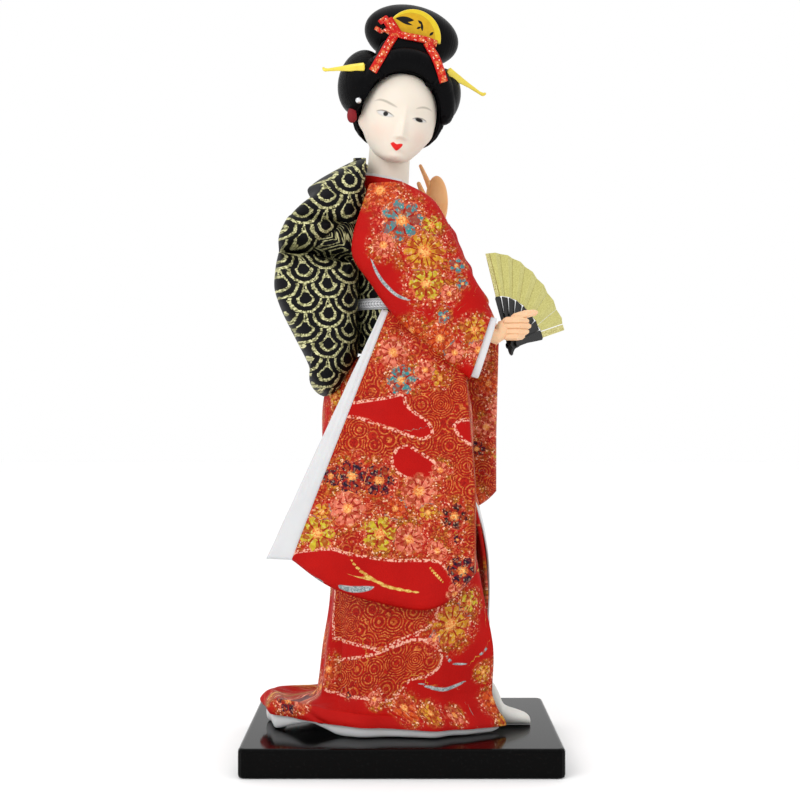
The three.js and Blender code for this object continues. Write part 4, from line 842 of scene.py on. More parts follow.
def brocade() -> Material:
    """Red jacquard: gold spirals, dotted clouds, flowers in seven thread colours and leaf lines."""
    cloth = Finish("brocade", roughness=0.6, Specular_IOR_Level=0.12)
    across, up = cloth.cloth()
    place = cloth.point(across, up)
    # Threads: a fine twill, and a random shine for each crossing.
    twill = (across + up).wave(0.62)
    weft = up.wave(0.5)
    _, spark = cloth.cells(place, 1.75)
    _, coarse = cloth.cells(place, 0.8)
    drift = cloth.noise(place, 0.09, 3.0)
    # Ground: plain red, spirals of gold rings round scattered seeds, or mixed threads.
    edge, gilt, swirl = cloth.field("ground")
    ring, _ = cloth.cells(place, 0.135, 0.75)
    rings = (((ring * (TURN * 8.4)).math("SINE") - 0.25) * 4.0).clamped()
    thread = (spark * 1.3).math("MINIMUM", 1.0)
    red = cloth.blend(drift, (0.36, 0.001, 0.0005), (0.54, 0.004, 0.001))
    red = cloth.blend(twill * 0.35, red, (0.26, 0.001, 0.001))
    between = cloth.blend(spark, (0.24, 0.003, 0.002), (0.44, 0.014, 0.004))
    gold = cloth.blend(coarse, (0.50, 0.10, 0.01), (0.78, 0.30, 0.07))
    swirled = cloth.blend(rings * thread * 0.75, between, gold)
    ground = cloth.blend(swirl, red, swirled)
    patch = ((cloth.noise(place, 0.16, 2.0) - 0.5) * 5.0 + 0.5).clamped()
    dark_thread = cloth.blend(patch, (0.32, 0.004, 0.002), (0.20, 0.045, 0.004))
    pale_thread = cloth.blend(patch, (0.70, 0.13, 0.06), (0.58, 0.24, 0.02))
    mixed = cloth.blend((spark * 1.7 - 0.55).clamped(), dark_thread, pale_thread)
    mixed = cloth.blend(spark.math("GREATER_THAN", 0.9) * 0.8, mixed, (0.93, 0.60, 0.42))
    mixed = cloth.blend(coarse.math("GREATER_THAN", 0.68) * 0.75, mixed, red)
    ground = cloth.blend(gilt * 0.92, ground, mixed)
    # Cloud edges: a line of pale dots.
    dots, _ = cloth.cells(place, 1.15)
    dotted = edge.math("ABSOLUTE").below(0.62, 0.25) * dots.below(0.52, 0.2) * 0.9
    ground = cloth.blend(dotted, ground, (0.88, 0.46, 0.34))
    # Flowers: petals round a middle, r < a + b |cos(n angle / 2)|, each with a dark outline.
    x, z, code = cloth.field("bloom")
    reach = (x * x + z * z).math("SQRT")
    tone = code.math("FLOOR")
    petals = (code - tone) * 20.0
    angle = z.math("ARCTAN2", x)
    lobe = (angle * petals * 0.5).math("COSINE").math("ABSOLUTE")
    limit = lobe * 0.34 + 0.66
    grain = (spark - 0.5) * 0.26
    petal = (reach + grain).below(limit, 0.07)
    parted = lobe.below(0.30, 0.2) * reach.math("GREATER_THAN", 0.3)
    heart = (reach + grain).below(0.27, 0.08)
    halo = (reach + grain).below(limit + 0.16, 0.1)
    ring_line = ((reach * 18.0).math("SINE") * 0.5 + 0.5) * reach.math("GREATER_THAN", 0.3)
    colour: object = THREADS[Tone.GOLD]
    for thread_tone in list(Tone)[1:]:
        share = tone.math("GREATER_THAN", float(thread_tone) - 0.5)
        colour = cloth.blend(share, colour, THREADS[thread_tone])
    # Painted highlights: sparse cream glints on the petal threads where the random shine number is high.
    lit = cloth.blend((spark - 0.75).math("MAXIMUM", 0.0) * 1.8, colour, (0.95, 0.72, 0.45))
    worn = cloth.blend(spark, (0.34, 0.004, 0.002), (0.34, 0.07, 0.006))
    lit = cloth.blend(coarse.below(0.42, 0.05) * 0.85, lit, worn)
    lit = cloth.blend((ring_line * 0.35 + parted * 0.95).math("MINIMUM", 1.0), lit, (0.30, 0.006, 0.003))
    ground = cloth.blend(halo * 0.5, ground, cloth.blend(spark, (0.36, 0.008, 0.003), (0.78, 0.22, 0.10)))
    ground = cloth.blend(petal, ground, lit)
    ground = cloth.blend(heart, ground, cloth.blend(spark, (0.62, 0.10, 0.015), (0.95, 0.58, 0.18)))
    # Leaf and water lines.
    line, is_gold, _ = cloth.field("stroke")
    stroke = (line + (spark - 0.5) * 0.12).below(1.0, 0.3)
    water = cloth.blend(spark, (0.13, 0.19, 0.20), (0.48, 0.52, 0.52))
    leaf = cloth.blend(spark, (0.50, 0.26, 0.03), (0.80, 0.56, 0.16))
    ground = cloth.blend(stroke, ground, cloth.blend(is_gold, water, leaf))
    cloth.colour(ground)
    metal = (rings * swirl * 0.5 + gilt * 0.4 + petal * 0.35).math("MINIMUM", 0.6)
    cloth.link(metal * spark * 0.35, "Metallic")
    cloth.link((metal * -0.3) + 0.62, "Roughness")
    cloth.bump(twill * 0.35 + weft * 0.2 + spark * 0.5 + petal * 0.6 + dotted * 0.6 + rings * swirl * 0.4, 0.12, 0.6)
    return cloth.material


def obi_brocade() -> Material:
    """Black silk with pale gold sea waves: overlapping scales of concentric arcs."""
    silk = Finish("obi_brocade", roughness=0.55, Specular_IOR_Level=0.12)
    across, up = silk.cloth()
    place = silk.point(across, up)
    _, spark = silk.cells(place, 1.9)
    wobble = silk.noise(place, 0.35, 2.0)
    across = across + (wobble - 0.5) * 2.2
    radius, rise = 8.6, 6.0
    arc: Wire | None = None
    low_row = (up / rise).math("FLOOR")
    for step in (2, 1, 0, -1):
        row = low_row - float(step)
        shift = row.math("MODULO", 2.0).math("ABSOLUTE") * radius
        offset = (across - shift).math("WRAP", radius, -radius)
        height = up - row * rise
        reach = (offset * offset + height * height).math("SQRT")
        if arc is None:
            arc = reach
            continue
        inside = reach.below(radius)
        arc = arc * (inside * -1.0 + 1.0) + reach * inside
    wave = ((arc / radius) * (TURN * 3.0)).math("COSINE") * 0.5 + 0.5
    line = (wave + (spark - 0.5) * 0.2 - 0.6) * 4.5
    line = line.clamped() * arc.math("GREATER_THAN", radius * 0.16)
    lit = line * ((spark * 0.75) + 0.35).math("MINIMUM", 1.0)
    gold = silk.blend(spark, (0.30, 0.29, 0.10), (0.74, 0.72, 0.40))
    silk.colour(silk.blend(lit, (0.0015, 0.0015, 0.0025), gold))
    silk.link(lit * 0.25, "Metallic")
    silk.bump(line * 0.8 + spark * 0.4, 0.15, 0.7)
    return silk.material


def crepe(name: str = "white_crepe", tint: Triple = (0.68, 0.68, 0.69)) -> Material:
    """White crepe: fine crossed threads and faint creases."""
    cloth = Finish(name, roughness=0.75, Sheen_Weight=0.15, Subsurface_Weight=0.08, Subsurface_Scale=0.002)
    across, up = cloth.cloth()
    place = cloth.point(across, up)
    threads = (across * (TURN / 0.45)).math("SINE") * (up * (TURN / 0.45)).math("SINE")
    crease = cloth.noise(cloth.point(across * 0.6, up * 0.08), 1.0, 3.0)
    shade = tuple(part * 0.90 for part in tint)
    cloth.colour(cloth.blend(cloth.noise(place, 0.12, 2.0), shade, tint))
    cloth.bump(threads * 0.2 + crease * 1.4, 0.12, 0.45)
    return cloth.material


def lacquer() -> Material:
    """Black lacquer on wood: a clear glossy coat with the faintest waviness and dust."""
    coat = Finish("black_lacquer", roughness=0.1, Specular_IOR_Level=0.05)
    place = coat.place()
    dust = coat.noise(place, 900.0, 3.0)
    coat.colour(coat.blend(dust.below(0.38, 0.1), (0.0015, 0.0015, 0.0015), (0.004, 0.004, 0.004)))
    coat.link(coat.noise(place, 60.0, 2.0) * 0.06 + 0.07, "Roughness")
    coat.bump(coat.noise(place, 35.0, 1.0), 0.05, 0.25)
    return coat.material


def painted_ivory() -> Material:
    """Matt ivory with the painted face: brows, lids, pupils, lips, a blush with painted shade under the chin, and two
    fine hair lines.
    """
    skin = Finish("painted_ivory", roughness=0.5, Subsurface_Weight=0.10, Subsurface_Scale=0.002,
                  Specular_IOR_Level=0.2)
    place = skin.place()
    cloudy = skin.noise(place, 120.0, 3.0)
    colour = skin.blend(cloudy, (0.72, 0.64, 0.54), (0.78, 0.71, 0.615))
    brow, lid, pupil = skin.field("ink")
    lips, blush_and_chin_shade, eye = skin.field("paint")
    # The blush field also carries painted shade under the chin.
    colour = skin.blend(blush_and_chin_shade * 0.4, colour, (0.78, 0.50, 0.40))
    colour = skin.blend(brow.below(0.0, 0.5) * 0.62, colour, (0.26, 0.22, 0.17))
    colour = skin.blend(eye.below(0.0, 0.35) * 0.75, colour, (0.60, 0.61, 0.62))
    colour = skin.blend(eye.math("ABSOLUTE").below(0.3, 0.5) * 0.22, colour, (0.30, 0.26, 0.24))
    colour = skin.blend(pupil.below(0.0, 0.3) * eye.below(0.25, 0.3), colour, (0.008, 0.006, 0.005))
    colour = skin.blend(lid.below(0.0, 0.3) * 0.85, colour, (0.06, 0.045, 0.04))
    red = skin.blend(skin.noise(place, 500.0, 2.0), (0.58, 0.003, 0.004), (0.80, 0.018, 0.010))
    colour = skin.blend(lips.below(0.0, 0.3), colour, red)
    skin.colour(colour)
    skin.link(lips.below(0.0, 0.3) * -0.15 + 0.46, "Roughness")
    skin.bump(cloudy, 0.04, 0.3)
    return skin.material


def moulded_skin(name: str, low: Triple, high: Triple) -> Material:
    """Moulded hands, drifting between two skin colours."""
    skin = Finish(name, roughness=0.5, Subsurface_Weight=0.15, Subsurface_Scale=0.002, Specular_IOR_Level=0.2)
    place = skin.place()
    tone = skin.noise(place, 160.0, 3.0)
    skin.colour(skin.blend(tone, low, high))
    skin.bump(skin.noise(place, 420.0, 2.0), 0.1, 0.4)
    return skin.material


def combed_hair() -> Material:
    """Black combed fibre: fine strands along the surface with a satin shine."""
    hair = Finish("combed_hair", roughness=0.38, Specular_IOR_Level=0.06)
    across, along = hair.cloth()
    strand = hair.noise(hair.point(across, along * 0.03), 2.2, 4.0)
    lock = hair.noise(hair.point(across * 0.35, along * 0.02), 1.0, 2.0)
    hair.colour(hair.blend(strand, (0.0004, 0.0004, 0.0006), (0.0028, 0.0027, 0.0034)))
    hair.link(strand * 0.30 + 0.20, "Roughness")
    hair.bump(strand * 0.7 + lock * 1.2, 0.22, 0.8)
    return hair.material


def moulded_gold(name: str, low: Triple, high: Triple,
                 metallic: float) -> Material:
    """Moulded yellow plastic with a little gilt in it."""
    gilt = Finish(name, roughness=0.32, metallic=metallic, Coat_Weight=0.3)
    tone = gilt.noise(gilt.place(), 260.0, 3.0)
    gilt.colour(gilt.blend(tone, low, high))
    gilt.bump(tone, 0.08, 0.4)
    return gilt.material


def comb_lacquer() -> Material:
    """Yellow lacquer with a bright rim, an amber field, and a painted spray of black leaves."""
    comb = Finish("comb_lacquer", roughness=0.35, Specular_IOR_Level=0.2)
    across, up = comb.cloth()
    reach = (across * across + up * up).math("SQRT")
    tone = comb.noise(comb.point(across, up), 0.5, 2.0)
    colour = comb.blend(tone, (0.62, 0.44, 0.010), (0.76, 0.58, 0.03))
    inner = ((across + 0.9) * (across + 0.9) + (up + 0.2) * (up + 0.2)).math("SQRT")
    field_share = inner.below(9.7, 0.4)
    colour = comb.blend(field_share, colour, comb.blend(tone, (0.50, 0.27, 0.006), (0.70, 0.42, 0.012)))
    colour = comb.blend((inner - 9.8).math("ABSOLUTE").below(0.12, 0.15) * 0.5, colour, (0.34, 0.16, 0.01))
    colour = comb.blend((reach - 11.2).math("GREATER_THAN", 0.0) * 0.5, colour, (0.95, 0.72, 0.20))

    def leaf(x: float, z: float, long: float, wide: float, angle: float) -> Wire:
        """1 inside a leaf: (s / long)^2 + |t / wide| < 1 in its own turned axes."""
        c, n = math.cos(angle), math.sin(angle)
        s = ((across - x) * c + (up - z) * n) / long
        t = ((across - x) * -n + (up - z) * c) / wide
        return (s * s + t.math("ABSOLUTE")).below(1.0, 0.12)

    for x, z, long, wide, angle in (
        (-4.9, 6.3, 3.9, 1.15, 0.12), (-4.2, 5.0, 3.0, 0.55, -0.12), (1.6, 6.5, 1.3, 0.55, -0.5),
        (2.6, 4.9, 1.8, 0.55, -1.3), (1.4, 4.2, 1.0, 0.45, 0.6), (7.0, 3.0, 1.2, 0.55, 0.9),
    ):
        colour = comb.blend(leaf(x, z, long, wide, angle), colour, (0.004, 0.003, 0.002))
    comb.colour(colour)
    comb.bump(tone, 0.05, 0.3)
    return comb.material


def ribbon_brocade() -> Material:
    """Red ribbon with a scatter of gold and pale threads along its middle."""
    ribbon = Finish("ribbon_brocade", roughness=0.45, Specular_IOR_Level=0.15)
    across, up = ribbon.cloth()
    place = ribbon.point(across, up)
    _, spark = ribbon.cells(place, 2.2)
    blot, _ = ribbon.cells(place, 0.55)
    threads = (across + up).wave(0.55)
    colour = ribbon.blend(threads, (0.42, 0.003, 0.004), (0.66, 0.014, 0.008))
    gold = ribbon.blend(spark, (0.66, 0.12, 0.02), (0.92, 0.46, 0.16))
    middle = across.math("ABSOLUTE").below(1.15, 0.5)
    colour = ribbon.blend(blot.below(0.5, 0.3) * middle * (spark * 0.8 + 0.15), colour, gold)
    colour = ribbon.blend(spark.math("GREATER_THAN", 0.93) * middle, colour, (0.95, 0.75, 0.60))
    ribbon.colour(colour)
    ribbon.link(spark * 0.2, "Metallic")
    ribbon.bump(threads * 0.5 + spark * 0.5, 0.1, 0.6)
    return ribbon.material


def silver_braid() -> Material:
    """White cord worked over with silver: slanting plaits."""
    braid = Finish("silver_braid", roughness=0.4, metallic=0.25)
    across, up = braid.cloth()
    plait = ((across * 2.2 + up * 2.6).math("SINE") * (across * 2.2 - up * 2.6).math("SINE")) * 0.5 + 0.5
    braid.colour(braid.blend(plait, (0.34, 0.36, 0.38), (0.90, 0.91, 0.93)))
    braid.bump(plait, 0.35, 0.9)
    return braid.material


def leaf_paper() -> Material:
    """Gold leaf paper, finely crinkled along the pleats."""
    paper = Finish("gold_leaf_paper", roughness=0.38, metallic=0.55)
    across, up = paper.cloth()
    place = paper.point(across, up)
    crinkle = paper.noise(paper.point(across, up * 0.25), 1.1, 4.0)
    _, spark = paper.cells(place, 2.4)
    paper.colour(paper.blend((crinkle * 0.6 + spark * 0.4), (0.40, 0.36, 0.08), (0.74, 0.70, 0.27)))
    paper.bump(crinkle, 0.12, 0.6)
    return paper.material


def guard_gilt() -> Material:
    """The fan's outer sticks: black up to the leaf, then covered with its gold paper."""
    guard = Finish("guard_gilt", roughness=0.4, Specular_IOR_Level=0.3)
    across, up = guard.cloth()
    _, spark = guard.cells(guard.point(across, up), 2.4)
    covered = up.math("GREATER_THAN", LEAF_INNER)
    gold = guard.blend(spark, (0.40, 0.35, 0.10), (0.78, 0.72, 0.32))
    guard.colour(guard.blend(covered, (0.004, 0.004, 0.004), gold))
    guard.link(covered * 0.4, "Metallic")
    guard.bump(spark, 0.08, 0.4)
    return guard.material


def plain(name: str, low: Triple, high: Triple, roughness: float,
          metallic: float = 0.0, scale: float = 300.0) -> Material:
    """A plain finish that drifts softly between two colours."""
    finish = Finish(name, roughness=roughness, metallic=metallic, Specular_IOR_Level=0.3)
    tone = finish.noise(finish.place(), scale, 3.0)
    finish.colour(finish.blend(tone, low, high))
    finish.bump(tone, 0.05, 0.4)
    return finish.material


# ---- Patterns, placed as the photograph shows them ----

CLOUD_LONG = Cloud(((-18.1, 138.4), (-7.2, 134.8), (6.0, 130.1), (10.4, 130.5), (12.2, 132.2), (10.4, 136.3),
                    (5.3, 140.0), (1.6, 143.5), (0.5, 147.2), (-6.6, 145.9), (-20.4, 143.5), (-26.0, 139.5)))
CLOUD_FRONT = Cloud(((20.6, 134.8), (23.5, 137.0), (30.2, 137.2), (40.0, 135.6), (40.0, 127.3), (27.8, 127.5),
                     (22.7, 131.3)))
CLOUD_MIDDLE = Cloud(((-2.2, 125.4), (2.5, 126.9), (7.3, 124.2), (12.8, 120.6), (15.2, 117.4), (12.0, 113.5),
                      (5.3, 113.5), (-0.6, 115.9), (-3.8, 120.2)))
CLOUD_LOW = Cloud(((-42.0, 85.1), (-28.3, 86.6), (-22.4, 85.1), (-14.5, 83.5), (-2.6, 81.9), (7.3, 81.9),
                   (15.2, 81.1), (19.9, 74.8), (19.9, 66.1), (15.2, 60.0), (-0.6, 56.0), (-16.4, 60.0),
                   (-34.0, 66.0), (-48.0, 77.1)))

ARM_WEAVE = Weave(
    blooms=(
        Bloom(-8.5, 228.1, 6.7, Tone.AMBER, 14),
        Bloom(0.2, 215.8, 8.3, Tone.TEAL, 7),
        Bloom(11.6, 213.9, 4.0, Tone.LIME, 5),
        Bloom(8.9, 203.6, 8.3, Tone.GOLD, 12),
        Bloom(9.6, 190.9, 6.7, Tone.LIME, 6),
        Bloom(-7.0, 206.0, 4.8, Tone.ROSE, 9),
        Bloom(21.5, 198.0, 3.2, Tone.TEAL, 5),
        Bloom(23.9, 190.9, 2.4, Tone.TEAL, 5),
        Bloom(18.7, 187.0, 3.6, Tone.ROSE, 6),
        Bloom(16.8, 177.9, 2.8, Tone.TEAL, 5),
        Bloom(28.6, 172.8, 5.1, Tone.GOLD, 8),
        Bloom(30.2, 164.9, 4.4, Tone.ROSE, 8),
        Bloom(15.2, 169.6, 5.5, Tone.AMBER, 9),
        Bloom(21.1, 164.1, 4.0, Tone.ROSE, 7),
        Bloom(4.1, 172.8, 4.8, Tone.AMBER, 8),
        *scattered((40.0, 130.0), (140.0, 240.0), 11.0, 3),
    ),
    strokes=(Stroke(((-12.5, 202.4), (-8.5, 193.7), (-1.8, 186.6), (5.7, 183.8)), 1.3, False),),
    is_plain_ground=True,
)
BAG_WEAVE = Weave(
    blooms=(
        Bloom(-3.4, 164.1, 6.3, Tone.ROSE, 8),
        Bloom(-0.2, 153.0, 5.9, Tone.TEAL, 6),
        Bloom(9.2, 157.0, 4.0, Tone.ROSE, 6),
        Bloom(15.2, 153.8, 3.6, Tone.GOLD, 6),
        Bloom(-19.6, 115.1, 6.7, Tone.NAVY, 6),
        Bloom(-8.9, 113.5, 6.3, Tone.NAVY, 6),
        Bloom(-27.9, 115.1, 4.0, Tone.NAVY, 5),
        Bloom(-21.2, 102.4, 7.1, Tone.ROSE, 9),
        Bloom(-33.4, 92.6, 7.1, Tone.LIME, 7),
        Bloom(-31.5, 100.9, 3.6, Tone.GOLD, 6),
        Bloom(-8.5, 92.6, 7.1, Tone.LIME, 5),
        Bloom(6.9, 109.2, 7.1, Tone.ROSE, 8),
        Bloom(2.9, 90.2, 6.3, Tone.ROSE, 8),
        Bloom(14.0, 85.8, 4.0, Tone.ROSE, 6),
        Bloom(20.7, 99.3, 5.5, Tone.INK, 5),
        Bloom(21.9, 90.2, 2.0, Tone.NAVY, 3),
        Bloom(23.9, 77.9, 6.3, Tone.NAVY, 6),
        Bloom(21.1, 68.5, 4.0, Tone.ROSE, 6),
        Bloom(10.4, 100.9, 3.6, Tone.GOLD, 7),
        Bloom(15.2, 117.4, 3.6, Tone.ROSE, 7),
        Bloom(-2.6, 102.4, 4.0, Tone.AMBER, 6),
        *scattered((40.0, 60.0), (140.0, 170.0), 12.0, 5),
    ),
    clouds=(CLOUD_LONG, CLOUD_FRONT, CLOUD_MIDDLE, CLOUD_LOW),
    strokes=(
        Stroke(((-21.4, 86.6), (-18.8, 80.7), (-13.0, 75.6), (-4.2, 71.2), (11.9, 68.3)), 1.5, True),
        Stroke(((10.4, 80.0), (13.6, 76.4), (16.9, 72.8)), 1.2, True),
        Stroke(((-25.5, 77.9), (-17.2, 75.2), (-8.5, 72.8)), 0.7, True),
        Stroke(((-25.5, 72.0), (-18.8, 70.5), (-10.9, 71.2)), 2.6, False),
        Stroke(((-40.7, 78.6), (-35.4, 75.2), (-29.1, 72.8)), 1.4, False),
        Stroke(((28.6, 135.2), (32.6, 134.4), (36.5, 133.6)), 1.3, False),
    ),
)
SKIRT_WEAVE = Weave(
    blooms=(
        Bloom(16.8, 55.0, 8.3, Tone.GOLD, 10),
        Bloom(24.0, 63.3, 4.8, Tone.LIME, 5),
        Bloom(10.5, 49.8, 3.2, Tone.ROSE, 6),
        Bloom(1.4, 22.8, 4.8, Tone.AMBER, 7),
        Bloom(-10.2, 26.0, 3.2, Tone.ROSE, 5),
        Bloom(11.3, 21.2, 3.6, Tone.GOLD, 7),
        Bloom(34.7, 35.5, 3.2, Tone.GOLD, 6),
        Bloom(-22.5, 26.4, 1.6, Tone.NAVY, 3),
        Bloom(-36.0, 35.5, 4.8, Tone.AMBER, 6),
        Bloom(-48.0, 26.0, 5.0, Tone.ROSE, 7),
        Bloom(21.2, 19.6, 3.2, Tone.ROSE, 6),
        Bloom(40.0, 24.0, 5.0, Tone.AMBER, 7),
        *scattered((44.0, 14.0), (190.0, 160.0), 13.0, 11),
        *scattered((-150.0, 14.0), (-52.0, 160.0), 13.0, 12),
        *scattered((-40.0, 84.0), (40.0, 160.0), 12.0, 13),
    ),
    clouds=(
        Cloud(((-36.0, 38.7), (-16.5, 42.7), (-5.5, 46.6), (2.5, 49.6), (10.1, 48.2), (15.0, 43.4), (14.3, 38.7),
               (9.5, 35.2), (4.1, 33.9), (-0.0, 29.7), (-2.7, 25.6), (-16.5, 26.0), (-36.0, 27.6)), False),
        Cloud(((-36.0, 48.2), (-19.3, 46.6), (-11.0, 45.8), (-4.2, 49.0), (3.3, 52.6), (8.9, 56.9), (10.9, 70.0),
               (8.9, 84.0), (-36.0, 84.0)), False),
        Cloud(((60.0, 60.0), (80.0, 66.0), (104.0, 60.0), (98.0, 84.0), (70.0, 90.0)), False),
        Cloud(((110.0, 30.0), (140.0, 36.0), (168.0, 30.0), (150.0, 60.0), (120.0, 54.0)), False),
        Cloud(((-90.0, 60.0), (-70.0, 56.0), (-56.0, 64.0), (-62.0, 90.0), (-88.0, 84.0)), False),
    ),
    strokes=(
        Stroke(((16.4, 44.1), (20.4, 40.0), (27.2, 39.3)), 1.3, False),
        Stroke(((30.7, 41.5), (33.5, 43.4), (36.2, 46.2)), 1.2, False),
        Stroke(((5.3, 33.1), (13.7, 30.4), (20.4, 29.7), (28.7, 33.1)), 1.5, False),
    ),
    is_plain_ground=True,
)


# ---- Shared body sizes ----


@dataclass(frozen=True)
class Figure:
    """Sizes of the figure that several garments share."""

    board_top: float = 11.5
    waist_height: float = 160.5
    waist_half_depth: float = 16.0
    waist_half_width: float = 13.3
    obi_below_waist: float = 7.5
    shoulder_x: float = -6.0
    shoulder_rise: float = 61.0
    sleeve_inner: float = 17.4
    sleeve_half_depth: float = 8.2
    arm_reach: float = 44.3
    arm_drop: float = 81.9
    brocade_wall: float = 1.2

    @property
    def shoulder_height(self) -> float:
        """Height of the shoulder point above the board."""
        return self.waist_height + self.shoulder_rise

    @property
    def obi_bottom(self) -> float:
        """Height of the obi's lower edge above the board."""
        return self.waist_height - self.obi_below_waist


FIGURE = Figure()


@dataclass
class Skirt:
    """The wrapped skirt with its train, its white roll and what lies inside it."""

    figure: Figure = FIGURE
    rows: int = 150
    columns: int = 260
    far_front: tuple[tuple[float, ...], ...] = (
        (0.0, 6.0, 12.0, 20.0, 32.0, 45.0, 54.6, 70.0, 81.0, 90.0, 100.0),
        (39.6, 39.6, 39.2, 38.0, 36.6, 35.8, 35.4, 34.6, 33.5, 32.0, 29.5),
    )
    # Height at the front and the rear, then the reach to the rear, the front, the near and far side.
    sections: tuple[tuple[float, ...], ...] = (
        (2.4, 6.6, 57.2, 50.6, 34.0, 30.0),
        (3.6, 9.4, 58.4, 50.4, 33.6, 29.6),
        (5.4, 13.0, 54.0, 50.0, 32.0, 29.0),
        (8.2, 10.4, 47.0, 49.4, 30.2, 28.4),
        (11.4, 10.6, 40.0, 48.8, 28.6, 27.6),
        (15.0, 12.4, 35.4, 48.2, 27.2, 26.9),
        (18.5, 17.5, 34.0, 47.6, 26.6, 26.5),
        (32.1, 32.1, 32.4, 45.0, 25.8, 25.8),
        (54.6, 54.6, 29.4, 36.7, 25.0, 25.0),
        (88.3, 88.3, 30.5, 30.0, 24.5, 24.5),
        (118.8, 118.8, 33.0, 29.7, 24.5, 24.5),
        (134.8, 134.8, 32.3, 28.4, 23.5, 23.5),
        (143.6, 143.6, 28.4, 24.4, 21.5, 21.5),
        (150.0, 150.0, 21.8, 19.8, 18.0, 18.0),
        (152.9, 152.9, 16.2, 16.0, 13.4, 13.4),
        (160.0, 160.0, 16.0, 16.0, 13.3, 13.3),
    )
    # The lining's first and last row, and where its far edge shows past the skirt's opening.
    lining_rows: tuple[int, int] = (4, 112)
    lining_depth: float = 2.0
    shown_columns: int = 36
    shown_middle: float = 82.0
    shown_reach: float = 34.0
    shown_forward: float = 3.4
    # What the underskirt and the core are less than the skirt at the rear, front, near and far side.
    slip_insets: tuple[float, ...] = (-9.0, 5.0, 8.0, 8.0)
    slip_levels: Pair = (1.2, 138.0)
    core_insets: tuple[float, ...] = (-12.0, 9.0, 11.5, 11.5)
    core_levels: Pair = (26.0, 136.0)
    rear_limit: float = 36.0
    # The white roll: its first column, how far it lies inside the hem, and its rise over the board.
    roll_first: int = 115
    roll_inset: float = 2.7
    roll_half_width: float = 1.3
    roll_lift: float = 4.4

    def outer(self) -> tuple[Array, Array]:
        """The cloth's outer face and its cloth places.

        An oval section is carried up the table of sections: (reach_x cos a, reach_y sin a), with the
        reach chosen by side. The angle runs from the far front edge round the back to the near one.
        The edges part below the apex of the opening by a width that grows downward. Folds are sums of
        sines of the angle, deeper toward the hem, and the rear hem stands up as a roll.
        """
        table = smooth_rows(self.sections, self.rows)
        low, high, rear, front, near, far = (table[:, k : k + 1] for k in range(6))
        mean = (low + high) / 2
        share = np.clip((104.0 - mean) / 104.0, 0, 1)
        near_edge = -6.0 - 14.0 * share**1.3
        far_edge = -6.0 + 13.5 * share
        start = np.arcsin(np.clip(far_edge / far, -0.9, 0.9))
        stop = TURN + np.arcsin(np.clip(near_edge / near, -0.9, 0.9))
        turn = mix(start, stop, np.linspace(0, 1, self.columns)[None])
        x, y = np.cos(turn), np.sin(turn)
        level = mix(low, high, ((1 - x) / 2) ** 1.5)
        down = np.clip(1 - level / 150.0, 0, 1)
        fold = (0.95 * np.sin(9 * turn + 0.6) + 0.6 * np.sin(14 * turn + 1.9) + 0.35 * np.sin(23 * turn)) * down**1.4
        waist = 0.35 * np.sin(31 * turn) * bell(level, 146.0, 9.0)
        front = mix(front, np.interp(level, *self.far_front), ramp(y, -0.45, 0.05) * ramp(118.0 - level, 0.0, 18.0))
        groove = 1.7 * bell(x * rear, -26.3, 0.9) * ramp(level, 8.0, 20.0) * ramp(-y, 0.1, 0.3)
        reach_x = np.where(x > 0, front, rear - groove) + fold + waist
        reach_y = np.where(y > 0, far, near) + fold + waist
        # A dart near the middle of the near side, and the tuck that falls from the front edge.
        across = x * reach_x
        is_near = ramp(-y, 0.2, 0.6)
        dart = 0.8 * ramp(across - 3.2, -0.35, 0.35) * bell(level, 31.0, 12.0)
        tuck = 1.5 * ramp((across - 8.0) + (level - 34.0) * -0.55, -6.0, 2.0) * bell(level, 58.0, 20.0)
        crease = 1.5 * bell(level - 10.0 + (across + 40.5) * 0.47, 0.0, 1.3) * bell(across, -34.0, 5.0)
        push = (dart + tuck - crease - groove - 0.9 * bell(across, 21.0, 3.0) * bell(level, 30.0, 22.0)) * is_near
        grid = np.stack([across, y * (reach_y + push), level + self.figure.board_top], axis=2)
        middle = int(np.abs(turn[self.rows // 4] - 1.5 * math.pi).argmin())
        cloth = arc_cloth(grid, False, middle)
        cloth[..., 1] = grid[..., 2]
        return grid, cloth

    def build(self, finishes: "Finishes") -> None:
        """Builds the skirt, its lining, the underskirt, the stuffed core and the roll at the hem."""
        grid, cloth = self.outer()
        form = sheet_form(grid, cloth, self.figure.brocade_wall)
        skirt = build_piece("skirt_cloth", form, finishes.brocade, ["kimono_skirt"],
                            fields=SKIRT_WEAVE.fields(form.cloth))
        out = normals(grid, False)
        out = out * np.sign((grid * out * (1.0, 1.0, 0.0)).sum())
        inside = (grid - out * self.lining_depth)[slice(*self.lining_rows)]
        shown = np.clip(1 - np.arange(self.columns) / self.shown_columns, 0, 1)[None]
        inside[..., 0] += self.shown_forward * (shown * bell(inside[..., 2], self.shown_middle, self.shown_reach))
        form = sheet_form(inside, arc_cloth(inside, False), 0.5)
        lining = build_piece("skirt_lining_cloth", form, finishes.white, ["hem_lining"])
        slip = self.tube(self.slip_insets, *self.slip_levels)
        form = band_form(*closed_in(slip, arc_cloth(slip, True)), 0.5)
        slip_cloth = build_piece("underskirt_cloth", form, finishes.white, ["underskirt"])
        core = self.tube(self.core_insets, *self.core_levels)
        ends = core.mean(axis=1, keepdims=True)
        core = np.concatenate([mix(ends[:1], core[:1], 0.05), core, mix(ends[-1:], core[-1:], 0.05)])
        build_piece("skirt_wadding", form_of(core), finishes.wadding, ["skirt_core"])
        build_piece("hem_roll_cloth", self.roll(grid), finishes.white, ["hem_lining"])

